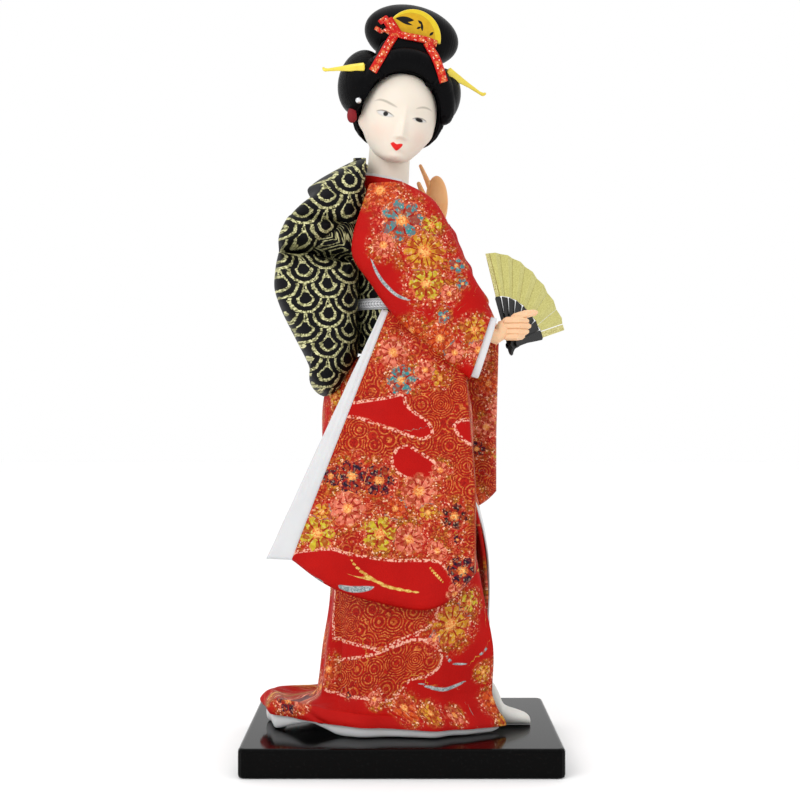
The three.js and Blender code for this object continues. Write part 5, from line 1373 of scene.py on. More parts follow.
    def tube(self, insets: tuple[float, ...], low: float, high: float) -> Array:
        """A tube inside the skirt: its sections between two levels, less an inset for each side.

        Args:
            insets: Millimetres off the rear, front, near and far reach; the rear's is added.
            low: Height of the lowest ring over the board.
            high: Height of the highest ring.

        Returns:
            The grid, rows by columns by 3.
        """
        table = smooth_rows(self.sections, 400)
        level = np.linspace(low, high, 90)[:, None]
        mean = (table[:, 0] + table[:, 1]) / 2
        rear, front, near, far = (np.interp(level, mean, table[:, k]) for k in range(2, 6))
        front = np.interp(level, *self.far_front) * ramp(118.0 - level, 0.0, 18.0) + front * ramp(level, 100.0, 118.0)
        rear = np.minimum(rear, self.rear_limit)
        turn = angles(160)[None]
        x, y = np.cos(turn), np.sin(turn)
        fold = 0.5 * np.sin(11 * turn + 0.4) * np.clip(1 - level / 150.0, 0, 1)
        reach_x = np.where(x > 0, front - insets[1], rear + insets[0]) + fold
        reach_y = np.where(y > 0, far - insets[3], near - insets[2]) + fold
        return np.stack([x * reach_x, y * reach_y, level + 0 * turn + self.figure.board_top], axis=2)

    def roll(self, grid: Array) -> Form:
        """The white roll under the hem: a tube along the lowest row, from the rear round the near side."""
        path = grid[0, self.roll_first : -2]
        along = unit(np.gradient(path, axis=0))
        side = unit(np.cross(along, np.array([0.0, 0.0, 1.0])))
        side = side * np.sign((side * path * (1.0, 1.0, 0.0)).sum(axis=1).mean())
        floor = self.figure.board_top
        top = path[:, 2] + 0.4
        bottom = floor + np.maximum(0.3, self.roll_lift * bell(path[:, 0], -38.0, 9.0))
        centres = path - side * self.roll_inset
        centres[:, 2] = (top + bottom) / 2
        radii = np.column_stack([np.full(len(path), self.roll_half_width), np.maximum((top - bottom) / 2, 0.5)])
        step = np.arange(len(path))
        radii = radii * np.sqrt(np.clip(np.minimum(step, step[::-1]) / 5 + 0.1, 0, 1))[:, None]
        return form_of(dome_tube(centres, side, np.cross(side, along), radii, 28))


@dataclass
class Foot:
    """A foot in its split sock: rings whose height falls from the ankle to the toes."""

    figure: Figure = FIGURE
    # Share of the length, half width and height.
    shares: tuple[Triple, ...] = (
        (0.0, 1.2, 3.0), (0.03, 2.6, 8.0), (0.09, 3.5, 15.5), (0.2, 3.9, 18.0), (0.4, 3.9, 18.0), (0.5, 4.0, 17.0),
        (0.58, 4.1, 12.6), (0.63, 4.3, 8.8), (0.69, 4.5, 7.3), (0.8, 4.5, 6.2), (0.92, 3.7, 4.8), (0.98, 2.4, 3.4),
        (1.0, 1.0, 2.0),
    )
    length: float = 30.6

    def build(self, name: str, heel: float, y: float, finishes: "Finishes") -> None:
        """Builds one foot: y = w cos a and z = h (1 + sin a) / 2 round each ring.

        Args:
            name: The piece's name, which is its solid's with an ending.
            heel: X of the heel.
            y: Where the foot's middle line lies.
            finishes: The doll's finishes.
        """
        table = smooth_rows(self.shares, 90)
        angle = angles(72)[None]
        share, wide, tall = (table[:, k : k + 1] for k in range(3))
        lift = self.figure.board_top + 0.25
        grid = np.stack([heel + self.length * share + 0 * angle, y + wide * np.cos(angle),
                         lift + tall * (1 + np.sin(angle)) / 2], axis=2)
        build_piece(name, form_of(grid), finishes.sock, [name.replace("_sock", "")])


# How far each ring of a cuff lies past the sleeve's mouth, and its size against the mouth's.
CUFF_RINGS = ((-2.0, 0.93), (0.0, 0.955), (2.2, 0.96), (2.75, 0.95), (2.9, 0.92), (2.6, 0.88), (1.4, 0.86),
              (0.2, 0.84))
CREASE_POINTS = 40


@dataclass
class Sleeve:
    """One sleeve: the arm's tube, the bag that hangs from it, its white lining and cuff."""

    side: int
    name: str
    arm: tuple[tuple[float, ...], ...]
    bag_width: float
    bag_drop: float
    bag_sag: float
    rear_top: Pair
    rear_bottom: Pair
    front_top: Pair
    front_bottom: Pair
    weave_arm: Weave
    weave_bag: Weave
    figure: Figure = FIGURE
    half_thickness: float = 3.6
    lean: float = 5.2
    band_top: float = 2.4
    band_bottom: float = 10.0
    dip: float = 0.0
    tuck: float = 0.0
    creases: tuple[tuple[Pair, ...], ...] = ()

    def place(self, reach: Array, drop: Array) -> tuple[Array, Array]:
        """X and Z of a share of the arm's reach and drop from the shoulder."""
        x = self.figure.shoulder_x + self.figure.arm_reach * reach
        z = self.figure.shoulder_height - self.figure.arm_drop * drop + self.figure.board_top
        return x, z

    def arm_grid(self) -> tuple[Array, Array]:
        """The arm's tube: ovals between a rear and a front edge, folded and creased on the half of larger Y."""
        table = smooth_rows(self.arm, 110)
        rear_x, rear_z = self.place(table[:, 0], table[:, 1])
        front_x, front_z = self.place(table[:, 2], table[:, 3])
        rear, front = np.column_stack([rear_x, rear_z]), np.column_stack([front_x, front_z])
        centre, across = (rear + front) / 2, (front - rear) / 2
        depth = self.figure.sleeve_half_depth * table[:, 4]
        angle = angles(120)
        run = np.linspace(0, 1, 110)[:, None]
        swell = np.sign(np.sin(angle)) * np.abs(np.sin(angle)) ** 0.85
        share = np.cos(angle)[None]
        fold = 1.0 * np.sin(TURN * (1.1 * share - 2.3 * run) + 0.5) + 0.6 * np.sin(TURN * (2.3 * share + 1.8 * run))
        far_half = np.clip(swell, 0, 1)[None]
        bulge = 1 + 0.2 * fold * far_half * np.sin(math.pi * run)
        x = centre[:, :1] + across[:, :1] * share
        z = centre[:, 1:] + across[:, 1:] * share
        y = self.side * (self.figure.sleeve_inner + depth)[:, None] + depth[:, None] * swell[None] * bulge
        grid = np.stack([x, y, z], axis=2)
        for crease in self.creases:
            spot, gap = along_path(grid[..., [0, 2]].reshape(-1, 2), crease)
            points = spaced(crease, CREASE_POINTS)
            course = np.gradient(points, axis=0)
            nearest = np.round(spot * (CREASE_POINTS - 1)).astype(int)
            away = grid[..., [0, 2]].reshape(-1, 2) - points[nearest]
            side = course[nearest, 0] * away[:, 1] - course[nearest, 1] * away[:, 0]
            gap = gap * np.sign(side)
            relief = (2.4 * bell(gap, -0.4, 1.0) - 1.5 * bell(gap, 3.0, 2.6)) * ramp(np.sin(math.pi * spot), 0.0, 0.4)
            grid[..., 1] += relief.reshape(x.shape) * far_half
        # The cloth lies flat against the viewer: X and Z themselves, unrolled past both edges.
        full = np.concatenate([angle, [TURN]])
        near_face = np.sin(full) * self.side > 0
        width = np.linalg.norm(across, axis=1)[:, None]
        flat_x = centre[:, :1] + across[:, :1] * np.cos(full)[None]
        flat_z = centre[:, 1:] + across[:, 1:] * np.cos(full)[None]
        beyond = np.where(near_face, 0.0, 1.0)[None] * (width * (1 - np.cos(full))[None] + 60.0)
        return grid, np.stack([flat_x + beyond, flat_z], axis=2)

    def bag_grid(self, lining: bool) -> tuple[Array, Array]:
        """The bag as a sheet folded along its front edge, open at the rear and drawn together below.

        The share across runs -1 to 1 over the far and the near face. X goes between the rear edge and
        the front fold; the half thickness goes with sqrt(sin(pi mix(.14, .86, span))), rounded in at
        the fold by a quarter circle and at the bottom; the bottom sags by a power curve; two waves
        make the folds. The lining is the same sheet a little inside, reaching out past the rear edge.
        """
        rows, columns = (90, 61) if lining else (110, 181)
        down = np.linspace(0, 1, rows)[:, None]
        turn = np.linspace(-1, 1, columns)[None]
        share = 1 - np.abs(turn)
        rear_top, rear_top_z = self.place(*self.rear_top)
        front_top, front_top_z = self.place(*self.front_top)
        rear_bottom, rear_bottom_z = self.place(*self.rear_bottom)
        front_bottom, front_bottom_z = self.place(*self.front_bottom)
        rear = mix(rear_top, rear_bottom - self.bag_width, down)
        front = mix(front_top, front_bottom, np.minimum(1, 1.6 * down))
        band = mix(self.band_top, self.band_bottom, down) if lining else 0.0
        inset = 0.9 if lining else 0.0
        x = mix(rear - band, mix(rear, front, 0.3) if lining else front, share)
        span = np.clip((x - rear) / (front - rear), 0, 1)
        rear_z = mix(rear_top_z, rear_bottom_z - self.bag_drop, down)
        front_z = mix(front_top_z, front_bottom_z - self.bag_drop, down)
        z = mix(rear_z, front_z, (x - rear) / (front - rear))
        z = z - (self.bag_sag - inset) * (1 - np.abs(2 * span**1.15 - 1) ** 3) * down**2
        z = z - self.dip * bell(span, 0.72, 0.28) * down**4
        half = self.half_thickness * np.sqrt(np.sin(math.pi * mix(0.14, 0.86, span))) * mix(1, 0.62, down**3)
        half = np.maximum(half - inset, 0.4)
        bottom = np.sqrt(np.clip(1 - (np.clip(down - 0.955, 0, 1) / 0.0451) ** 2, 0.02, 1))
        edge = np.clip(np.abs(turn) / 0.06, 0, 1)
        y_share = np.sign(turn) * np.sqrt(1 - (1 - edge) ** 2)
        middle = self.side * (self.figure.sleeve_inner + self.figure.sleeve_half_depth - self.tuck
                              + (self.lean + self.tuck) * np.minimum(1, 1.5 * down))
        wave = 1.4 * np.sin(TURN * (1.6 * span + 0.4 * down)) * down
        fold = 1.5 * np.sin(TURN * (2.1 * span - 0.9 * down + 0.1)) * bell(down, 0.16, 0.2)
        fold = fold + 0.7 * np.sin(TURN * (3.3 * span + 0.7 * down)) * down
        ridge = 0.22 * np.sin((rear - x) * (TURN / 2.1)) * (x < rear) if lining else 0.0
        y = middle + wave + self.side * (half * bottom * y_share + (fold + ridge) * np.abs(y_share) * 0.6)
        cloth_x = np.where(turn > 0, x, x + 80.0)
        return np.stack([x, y, z + 0 * x], axis=2), np.stack([cloth_x, z + 0 * x], axis=2)

    def cuff(self, ring: Array, along: Array) -> Form:
        """The white edge of the sleeve's mouth: out along the arm, over the rim and back inside."""
        centre = ring.mean(axis=0)
        return form_of(np.array([centre + (ring - centre) * size + along * out for out, size in CUFF_RINGS]))

    def build(self, finishes: "Finishes") -> None:
        """Builds the sleeve's tube, bag and lining."""
        node = f"sleeve_{self.name}"
        grid, cloth = self.arm_grid()
        form = band_form(*closed_in(grid, cloth), 0.5)
        arm = build_piece(f"{node}_arm", form, finishes.brocade, [node], fields=self.weave_arm.fields(form.cloth))
        grid, cloth = self.bag_grid(False)
        form = sheet_form(grid, cloth, 0.45)
        bag = build_piece(f"{node}_bag", form, finishes.brocade, [node], fields=self.weave_bag.fields(form.cloth))
        grid, cloth = self.bag_grid(True)
        lining = build_piece(f"sleeve_lining_{self.name}_cloth", sheet_form(grid, cloth, 0.4), finishes.white,
                             [f"sleeve_lining_{self.name}"])


@dataclass
class RightSleeve(Sleeve):
    """The near sleeve, whose tube ends in the cuff that the fan hand comes out of."""

    def build(self, finishes: "Finishes") -> None:
        """Builds the sleeve and the cuff at the tube's last ring."""
        super().build(finishes)
        grid, _ = self.arm_grid()
        cuff = self.cuff(grid[-1], np.array([1.0, 0.0, -0.28]))
        build_piece("cuff_right_cloth", cuff, finishes.white, ["cuff_right"])


@dataclass
class LeftSleeve(Sleeve):
    """The far sleeve, with the forearm raised to the chest."""

    elbow: Triple = (29.0, 25.6, 172.0)
    wrist: Triple = (14.6, 26.0, 207.5)
    half_depth: float = 7.6
    # Share of the forearm, less than 0 behind the elbow, and its size there.
    forearm_shares: tuple[float, ...] = (-0.12, -0.08, 0, 0.35, 0.7, 1)
    forearm_sizes: tuple[float, ...] = (0.2, 0.75, 1.1, 1.06, 1, 0.94)
    cloth_shift: Pair = (60.0, 60.0)
    palm_middle: Triple = (15.2, 26.0, 231.0)
    palm_radii: Triple = (4.9, 3.4, 11.5)
    fingers: tuple = (
        (((14.0, 25.6, 232.0), (11.6, 25.4, 239.0), (8.2, 25.0, 246.6)), (1.5, 1.2, 0.75)),
        (((12.6, 24.2, 229.0), (9.6, 23.4, 233.5), (7.4, 23.0, 238.6)), (1.6, 1.3, 0.9)),
    )

    def build(self, finishes: "Finishes") -> None:
        """Builds the sleeve, its forearm and the cuff."""
        super().build(finishes)
        rise = (0, 0, self.figure.board_top)
        elbow, wrist = np.array(self.elbow) + rise, np.array(self.wrist) + rise
        along = unit(wrist - elbow)
        side = np.array([0.0, 1.0, 0.0])
        up = np.cross(along, side)
        share = np.linspace(self.forearm_shares[0], 1, 60)
        size = self.half_depth * np.interp(share, self.forearm_shares, self.forearm_sizes)
        size = size * (1 + 0.04 * np.sin(share * 17) + 0.03 * np.sin(share * 29 + 1))
        centres = elbow + (wrist - elbow) * share[:, None]
        grid = dome_tube(centres, np.tile(side, (60, 1)), np.tile(up, (60, 1)), np.column_stack([size, size]), 64)
        form = band_form(grid, arc_cloth(grid, True) + self.cloth_shift, 0.5)
        build_piece("sleeve_left_forearm", form, finishes.brocade, ["sleeve_left"],
                    fields=self.weave_arm.fields(form.cloth))
        build_piece("cuff_left_cloth", self.cuff(grid[-1], along), finishes.white, ["cuff_left"])
        hand = lobe(self.palm_middle, self.palm_radii, 2)
        for path, radii in self.fingers:
            hand = hand.joined(limb(path, radii, 40, 24))
        # The far hand takes a darker, oranger finish than the near one: painted shade.
        build_piece("hand_left_moulded", hand, finishes.tan, ["hand_left"])


@dataclass
class Bodice:
    """The kimono's upper part, its collars and the obi round the waist."""

    figure: Figure = FIGURE
    # Height share, then how far the section has gone to the neck's, the chest's and the shoulders'.
    sections: tuple[tuple[float, ...], ...] = (
        (0, 0, 0, 0), (0.24, 0, 0, 0), (0.48, 0, 0.1, 0.05), (0.66, 0, 0.8, 0.85), (0.82, 0.05, 0.86, 1),
        (0.93, 0.5, 0.6, 1), (1, 1, 0, 0),
    )
    chest_half_depth: float = 17.0
    shoulder_half_width: float = 17.1
    neck_opening: float = 13.2
    neck_shift: float = 5.6
    height: float = 59.4
    slope: float = 0.3
    cloth_shift: Pair = (50.0, 60.0)
    # Each collar's reach, its lower and upper edge and its wall.
    red_collar: tuple[float, ...] = (11.7, -2.4, 3.0, 1.2)
    white_collar: tuple[float, ...] = (10.2, -2.4, 4.0, 1.0)
    obi_height: float = 37.0
    cord_levels: Pair = (170.5, 175.1)

    def trunk(self) -> Array:
        """Oval sections that go from the waist's to the chest's, the shoulders' and the neck's."""
        table = smooth_rows(self.sections, 90)
        share, neck, chest, shoulder = (np.clip(table[:, k : k + 1], 0, 1) for k in range(4))
        depth = mix(mix(self.figure.waist_half_depth, self.chest_half_depth, chest), self.neck_opening, neck)
        width = mix(mix(self.figure.waist_half_width, self.shoulder_half_width, shoulder), self.neck_opening, neck)
        angle = angles(120)[None]
        shift = self.neck_shift * neck
        x = np.cos(angle) * np.where(np.cos(angle) > 0, depth - shift, depth + shift)
        y = np.sin(angle) * width
        fold = 0.35 * np.sin(7 * angle + 9 * share) * np.sin(math.pi * share)
        base = self.figure.waist_height + self.figure.board_top
        z = base + self.height * share - self.slope * self.neck_opening * np.cos(angle) * share
        return np.stack([x * (1 + fold / 16), y * (1 + fold / 16), z], axis=2)

    def collar(self, reach: float, low: float, high: float, wall: float) -> Array:
        """A collar's wall round the neck: up the outside, over a rounded edge and down the inside.

        Args:
            reach: Half width of its outside.
            low: Its lower edge, from the bodice's top.
            high: Its upper edge.
            wall: Its thickness.

        Returns:
            The grid of the section carried round.
        """
        angle = angles(120)
        rows = []
        base = self.figure.waist_height + self.figure.board_top + self.height
        section = [(0.0, low), (0.05, mix(low, high, 0.5)), (0.0, high - wall / 3), (-0.3, high),
                   (-0.7, high), (-1.0, high - wall / 3), (-1.0, mix(low, high, 0.5)), (-1.0, low)]
        for out, level in section:
            size = reach + out * wall
            x = np.where(np.cos(angle) > 0, size - self.neck_shift, size + self.neck_shift) * np.cos(angle)
            z = base - self.slope * self.neck_opening * np.cos(angle) + level
            rows.append(np.column_stack([x, size * np.sin(angle), z]))
        return np.array(rows)

    def obi_ring(self, low: float, high: float, out: float, wall: float, bulge: float) -> Array:
        """A band round the waist: an oval wall, swollen outward by a half sine over its height.

        Args:
            low: Its lower edge over the board.
            high: Its upper edge.
            out: How far its outside lies past the waist.
            wall: Its thickness; a thick one is creased.
            bulge: How far its middle swells.

        Returns:
            The grid of the section carried round.
        """
        angle = angles(160)
        share = np.linspace(0, 1, 24)
        outer = [(out + bulge * math.sin(math.pi * s) ** 0.7, mix(low, high, s)) for s in share]
        inner = [(out - wall, high), (out - wall, low)]
        rows = []
        for reach, level in outer + inner:
            crease = 0.18 * np.sin(level * 1.3 + 2 * np.cos(angle)) if wall > 1.5 else 0
            rows.append(np.column_stack([
                (self.figure.waist_half_depth + reach + crease) * np.cos(angle),
                (self.figure.waist_half_width + reach + crease) * np.sin(angle),
                np.full(len(angle), level + self.figure.board_top)]))
        return np.array(rows)

    def build(self, finishes: "Finishes") -> None:
        """Builds the bodice, both collars, the obi and its cord."""
        trunk = self.trunk()
        form = band_form(trunk, arc_cloth(trunk, True) + self.cloth_shift, 0.5)
        bodice = build_piece("kimono_bodice_cloth", form, finishes.brocade, ["kimono_bodice", "torso_core"],
                             fields=ARM_WEAVE.fields(form.cloth))
        form = form_of(self.collar(*self.red_collar), wrap_rows=True)
        form.cloth = form.cloth + self.cloth_shift
        build_piece("collar_red_cloth", form, finishes.brocade, ["collar"], fields=ARM_WEAVE.fields(form.cloth))
        form = form_of(self.collar(*self.white_collar), wrap_rows=True)
        build_piece("collar_white_cloth", form, finishes.white, ["under_collar"])
        low = self.figure.obi_bottom
        form = form_of(self.obi_ring(low, low + self.obi_height, 2.0, 1.9, 0.5), wrap_rows=True)
        build_piece("obi_band_cloth", form, finishes.obi, ["obi_band"])
        form = form_of(self.obi_ring(*self.cord_levels, 3.0, 0.9, 0.9), wrap_rows=True)
        build_piece("obi_cord_cloth", form, finishes.braid, ["obi_cord"])


@dataclass
class Bow:
    """The obi's bow behind the back: two upper puffs before a hollow, and a lower one over a knot."""

    # Side outlines as places along X and Z.
    ear: tuple[Pair, ...] = (
        (-9.6, 245.6), (-17, 242.0), (-26, 237.2), (-32, 232.6), (-37, 228.6), (-42.5, 224.6), (-46.5, 220.6),
        (-47, 217.4), (-40, 216.6), (-32, 216.4), (-24, 216), (-18, 216.5), (-14.5, 222), (-11.2, 233),
    )
    fold: tuple[Pair, ...] = (
        (-22, 217.5), (-30, 220.6), (-38, 222), (-46, 221.3), (-49.6, 215.5), (-50.8, 209), (-50, 205.6),
        (-43, 204.4), (-36, 204.2), (-32, 208), (-26, 213),
    )
    fall: tuple[Pair, ...] = (
        (-51.2, 204.6), (-44, 203.4), (-38, 203.2), (-30, 201.0), (-22, 200.4), (-17.2, 200.6), (-17.2, 176),
        (-19, 161), (-26.7, 146.5), (-33.8, 147), (-37.8, 152), (-38.2, 159), (-44, 170.6), (-48.4, 179.5),
        (-51.3, 186.5), (-52.9, 192.2), (-52.6, 199.2),
    )
    hollow: tuple[Pair, ...] = (
        (-46, 205.8), (-38, 204.2), (-30, 202), (-22, 201.4), (-16.4, 201.8), (-16.4, 219), (-24, 221), (-40, 221),
        (-47.5, 214),
    )
    # How far the trunk, obi, cord and collar reach back and sideways at each height.
    back: tuple[tuple[float, ...], ...] = (
        (140.0, 164.0, 180.0, 181.0, 188.0, 189.0, 202.0, 204.0, 212.0, 224.0, 232.0, 242.0),
        (26.0, 19.2, 19.2, 20.6, 20.6, 19.2, 19.2, 17.4, 17.8, 18.6, 19.6, 19.6),
        (22.0, 16.5, 16.5, 17.9, 17.9, 16.5, 16.5, 15.6, 17.0, 17.2, 14.5, 13.8),
    )
    knot_middle: Triple = (-22.6, 0.0, 183.0)
    knot_radii: Triple = (1.7, 10.5, 15.5)
    # Half width and half height of the place before the knot, and the X that the puffs keep behind.
    knot_room: Pair = (12.0, 17.5)
    knot_back: float = -24.9

    def puff(self, path: Sequence, half: float, crumple: float) -> Array:
        """A puff: its side outline carried across, smaller toward both ends, which bulge shut.

        The size is (1 - 0.24 |s|^8) cos(t)^0.36 with s the share across; low waves crumple it, and it is
        moved back wherever it would sink into the trunk, the obi, the knot or the neck.

        Args:
            path: Its side outline, as places along X and Z.
            half: Half its width across.
            crumple: Height of the waves, as a share of its size.

        Returns:
            The grid, rows across by columns round the outline.
        """
        columns = 180
        outline = spaced([*path, path[0]], columns + 1)[:-1]
        centre = outline.mean(axis=0)
        turn = np.linspace(-1, 1, 81)[:, None] * (math.pi / 2)
        s = np.sin(turn)
        size = (1 - 0.24 * np.abs(s) ** 8) * np.maximum(np.cos(turn), 0.0) ** 0.36
        spot = np.arange(columns)[None] * (TURN / columns)
        swell = 1 + 0.012 * np.sin(3 * spot + 2 * s) + crumple * np.sin(5 * spot + 3.4 * s) * np.cos(2 * s + 1)
        x = centre[0] + (outline[None, :, 0] - centre[0]) * size * swell
        z = centre[1] + (outline[None, :, 1] - centre[1]) * size * swell
        x = x - 8.0 * (1 - np.abs(s)) * ramp(z, 227.0, 234.0)
        # The seam between the upper and the lower puff steps down behind, so no light passes it.
        z = z - 2.6 * np.tanh((s * half + 4.0) / 2.5) * bell(z, 203.5, 8.0)
        return self.behind(np.stack([x, s * half + 0 * x, z], axis=2))

    def behind(self, grid: Array) -> Array:
        """Keeps a grid behind the back: x under -reach sqrt(1 - (y / width)^2), and clear of the knot."""
        x, y, z = (grid[..., k] for k in range(3))
        reach, width = np.interp(z, self.back[0], self.back[1]), np.interp(z, self.back[0], self.back[2])
        inside = 1 - (y / width) ** 2
        rear = -reach * np.sqrt(np.clip(inside, 0, 1)) - 0.5
        x = np.where(inside > 0, np.minimum(x, rear), x)
        knot = 1 - (y / self.knot_room[0]) ** 2 - ((z - self.knot_middle[2]) / self.knot_room[1]) ** 2
        x = np.where(knot > 0, np.minimum(x, self.knot_back), x)
        return np.stack([x, y, z], axis=2)

    def build(self, finishes: "Finishes") -> None:
        """Builds the puffs and the knot between them and the obi."""
        groups = (("obi_bow_upper", ((self.ear, 21.0, 0.02), (self.fold, 20.0, 0.012))),
                  ("obi_bow_lower", ((self.fall, 23.0, 0.012),)))
        for name, puffs in groups:
            form = None
            for path, half, crumple in puffs:
                grid = self.puff(path, half, crumple)
                places = np.stack([grid[..., 0] * 0.94 + grid[..., 1] * 0.3, grid[..., 2]], axis=2)
                part = form_of(grid, closed(places))
                form = part if form is None else form.joined(part)
            if name == "obi_bow_upper":
                form = form.joined(form_of(self.puff(self.hollow, 15.0, 0.0)))
            build_piece(f"{name}_cloth", form, finishes.obi, [name])
        knot = lobe(self.knot_middle, self.knot_radii, 1)
        build_piece("obi_knot_cloth", knot, finishes.obi, ["obi_knot"])


@dataclass(frozen=True)
class HeadFrame:
    """Where the head sits: its middle, its tilt about Y and its turn about its own Z."""

    middle: Triple = (-2.0, -3.0, 260.0)
    tilt: float = math.radians(11)
    yaw: float = math.radians(9)

    def seat(self, form: Form) -> Form:
        """A form of the head's own frame, turned about Z, tilted about Y and moved to its middle."""
        ct, st, cy, sy = math.cos(self.tilt), math.sin(self.tilt), math.cos(self.yaw), math.sin(self.yaw)
        tilted = np.array([[ct, 0, st], [0, 1, 0], [-st, 0, ct]])
        yawed = np.array([[cy, -sy, 0], [sy, cy, 0], [0, 0, 1]])
        return Form(form.points @ (tilted @ yawed).T + self.middle, form.faces, form.cloth)


HEAD = HeadFrame()


@dataclass
class Face:
    """The moulded head with its painted face, and the neck."""

    midline: float = 0.3
    # Height, half width, front and back of each section, from under the chin to the crown.
    sections: tuple[tuple[float, ...], ...] = (
        (-17.9, 0.8, -12.6, -9.6), (-17.5, 3.4, -14.3, -6.0), (-16.5, 5.4, -15.4, -1.0),
        (-14.9, 7.3, -16.2, 6.0), (-13.0, 8.9, -16.7, 10.0), (-9.8, 11.3, -17.0, 13.5),
        (-6.0, 13.5, -17.2, 15.5), (-3.0, 14.7, -17.3, 16.6), (2.0, 15.5, -17.3, 17.6),
        (7.0, 15.3, -17.1, 17.4), (12.0, 13.6, -15.8, 16.0), (17.0, 10.0, -12.3, 12.4),
        (20.5, 5.0, -6.8, 7.0), (21.8, 0.8, -1.0, 1.0),
    )
    brows: tuple = (((-11.7, 4.8), (-10.0, 5.2), (-7.9, 4.8), (-5.7, 4.0), (-3.0, 3.0)),
                    ((4.8, 4.2), (6.3, 5.0), (8.0, 5.6), (9.9, 5.8), (12.0, 5.6)))
    lids: tuple = (((-10.6, 0.6), (-8.9, 1.0), (-7.0, 0.8), (-5.3, 0.1), (-3.6, -0.9)),
                   ((4.0, -0.2), (5.4, 0.55), (7.0, 0.95), (8.9, 1.0), (10.6, 0.5)))
    eyes: tuple = (((-10.3, 0.5), (-8.9, 0.95), (-7.0, 0.75), (-5.3, 0.05), (-3.7, -0.95), (-5.6, -1.35),
                    (-7.8, -1.25), (-9.5, -0.5)),
                   ((4.2, -0.3), (5.4, 0.45), (7.0, 0.85), (8.9, 0.95), (10.2, 0.5), (9.0, -0.15), (7.0, -0.6),
                    (5.4, -0.65)))
    pupils: tuple = ((-6.9, -0.3, 0.95, 1.0), (6.9, 0.1, 1.75, 0.85))
    hair_lines: tuple = (((0.7, 17.6), (1.0, 14.6)), ((1.9, 17.8), (2.1, 15.6)))
    mouth: tuple = ((-2.9, -11.7), (-1.8, -11.0), (-0.5, -11.6), (0.8, -11.2), (2.0, -11.1), (1.7, -12.4),
                    (0.1, -14.1), (-1.7, -13.1))

    def grid(self) -> tuple[Array, Array]:
        """The head's sections (half width sin, middle - half depth cos) with its features in relief.

        The relief is a sum of bells on the front: the nose's ridge and tip, the hollows of the eyes,
        the lids, the lips, the cheeks and the chin, and an ear on each side.
        """
        table = smooth_rows(self.sections, 170)
        height, wide, front, back = (table[:, k : k + 1] for k in range(4))
        turn = np.linspace(-math.pi, math.pi, 264, endpoint=False)[None]
        x = wide * np.sin(turn)
        y = (front + back) / 2 - (back - front) / 2 * np.cos(turn)
        ahead = ramp(np.cos(turn), 0.05, 0.5)
        off = np.abs(x - self.midline)
        ridge = (0.45 + 1.85 * ramp(-height, -2.0, 8.0)) * bell(off, 0, 1.2 + 0.06 * (2 - height))
        ridge = ridge * (height >= -8.4) * ramp(-height, -6.5, -1.0)
        under = 2.3 * bell(off, 0, 1.85) * ramp(height, -9.9, -8.4) * (height < -8.4)
        nostril = 0.5 * bell(off, 1.7, 0.9) * bell(height, -8.7, 1.0)
        socket = -0.75 * bell(off, 6.6, 4.2) * bell(height, 1.6, 2.4)
        ball = 0.45 * bell(off, 6.8, 3.0) * bell(height, -0.2, 1.5)
        lips = 0.55 * bell(off, 0, 2.2) * (bell(height, -11.6, 0.9) + 0.9 * bell(height, -13.1, 0.8))
        dip = -0.35 * bell(off, 0, 2.8) * bell(height, -14.9, 1.1)
        chin = 0.6 * bell(off, 0, 3.6) * bell(height, -16.2, 1.4)
        cheek = 0.45 * bell(off, 7.5, 4.0) * bell(height, -6.5, 4.0)
        y = y - ahead * (ridge + under + nostril + socket + ball + lips + dip + chin + cheek)
        ear = bell(height, -3.4, 3.4) * bell(np.abs(turn), 1.52, 0.13)
        x = x + np.where(x < 0, -1.6, 0.4) * ear
        grid = np.stack([x + self.midline, y, height + 0 * x], axis=2)
        full = closed(grid)
        behind = closed(np.cos(turn)) < 0
        return grid, np.stack([full[..., 0] + behind * 60.0, full[..., 2]], axis=2)

    def paint(self, places: Array) -> dict[str, Array]:
        """Signed distances to every painted shape, in millimetres, at places on the face, with the blush and the
        painted shade under the chin.
        """
        places, back = distinct(places)
        brow = np.full(len(places), NOWHERE)
        for path, width in zip(self.brows, (0.42, 0.36)):
            run, gap = along_path(places, path)
            brow = np.minimum(brow, gap - width * taper(run, 0.05))
        for start, stop in self.hair_lines:
            _, gap = along_path(places, (start, mix(np.array(start), np.array(stop), 0.5), stop))
            brow = np.minimum(brow, gap + 0.05)
        lid = np.full(len(places), NOWHERE)
        for path in self.lids:
            run, gap = along_path(places, path)
            lid = np.minimum(lid, gap - 0.26 * taper(run, 0.1))
        eye = np.minimum(*(edge_distance(places, outline) for outline in self.eyes))
        pupil = np.full(len(places), NOWHERE)
        for x, z, wide, high in self.pupils:
            reach = np.hypot((places[:, 0] - x) / wide, (places[:, 1] - z) / high)
            pupil = np.minimum(pupil, (reach - 1) * min(wide, high))
        lips = edge_distance(places, self.mouth)
        off, height = np.abs(places[:, 0] - self.midline), places[:, 1]
        blush_and_chin_shade = 0.8 * bell(off, 8.5, 4.5) * bell(height, -7.0, 4.0)
        blush_and_chin_shade = blush_and_chin_shade + 0.6 * bell(off, 15.2, 1.6) * bell(height, -3.4, 3.5)
        # The warm tint under the chin is painted shade.
        blush_and_chin_shade = blush_and_chin_shade + 0.35 * bell(off, 0.0, 3.0) * bell(height, -18.5, 2.5)
        return {
            "ink": np.column_stack([brow, lid, pupil])[back],
            "paint": np.column_stack([lips, blush_and_chin_shade, eye])[back],
        }

    def neck(self) -> Array:
        """The neck: rings along its slanting line, wider where it meets the shoulders."""
        share = np.linspace(0, 1, 40)
        slant = math.radians(4)
        run = mix(-1.5, 27.0, share)
        centres = np.column_stack([-6.5 + run * math.sin(slant), 0 * run, 226.5 + run * math.cos(slant)])
        size = 8.7 + 0.2 * np.cos(math.pi * share)
        side = np.tile([0.0, 1.0, 0.0], (40, 1))
        up = np.tile([math.cos(slant), 0.0, -math.sin(slant)], (40, 1))
        return dome_tube(centres, side, up, np.column_stack([size, size]), 72)

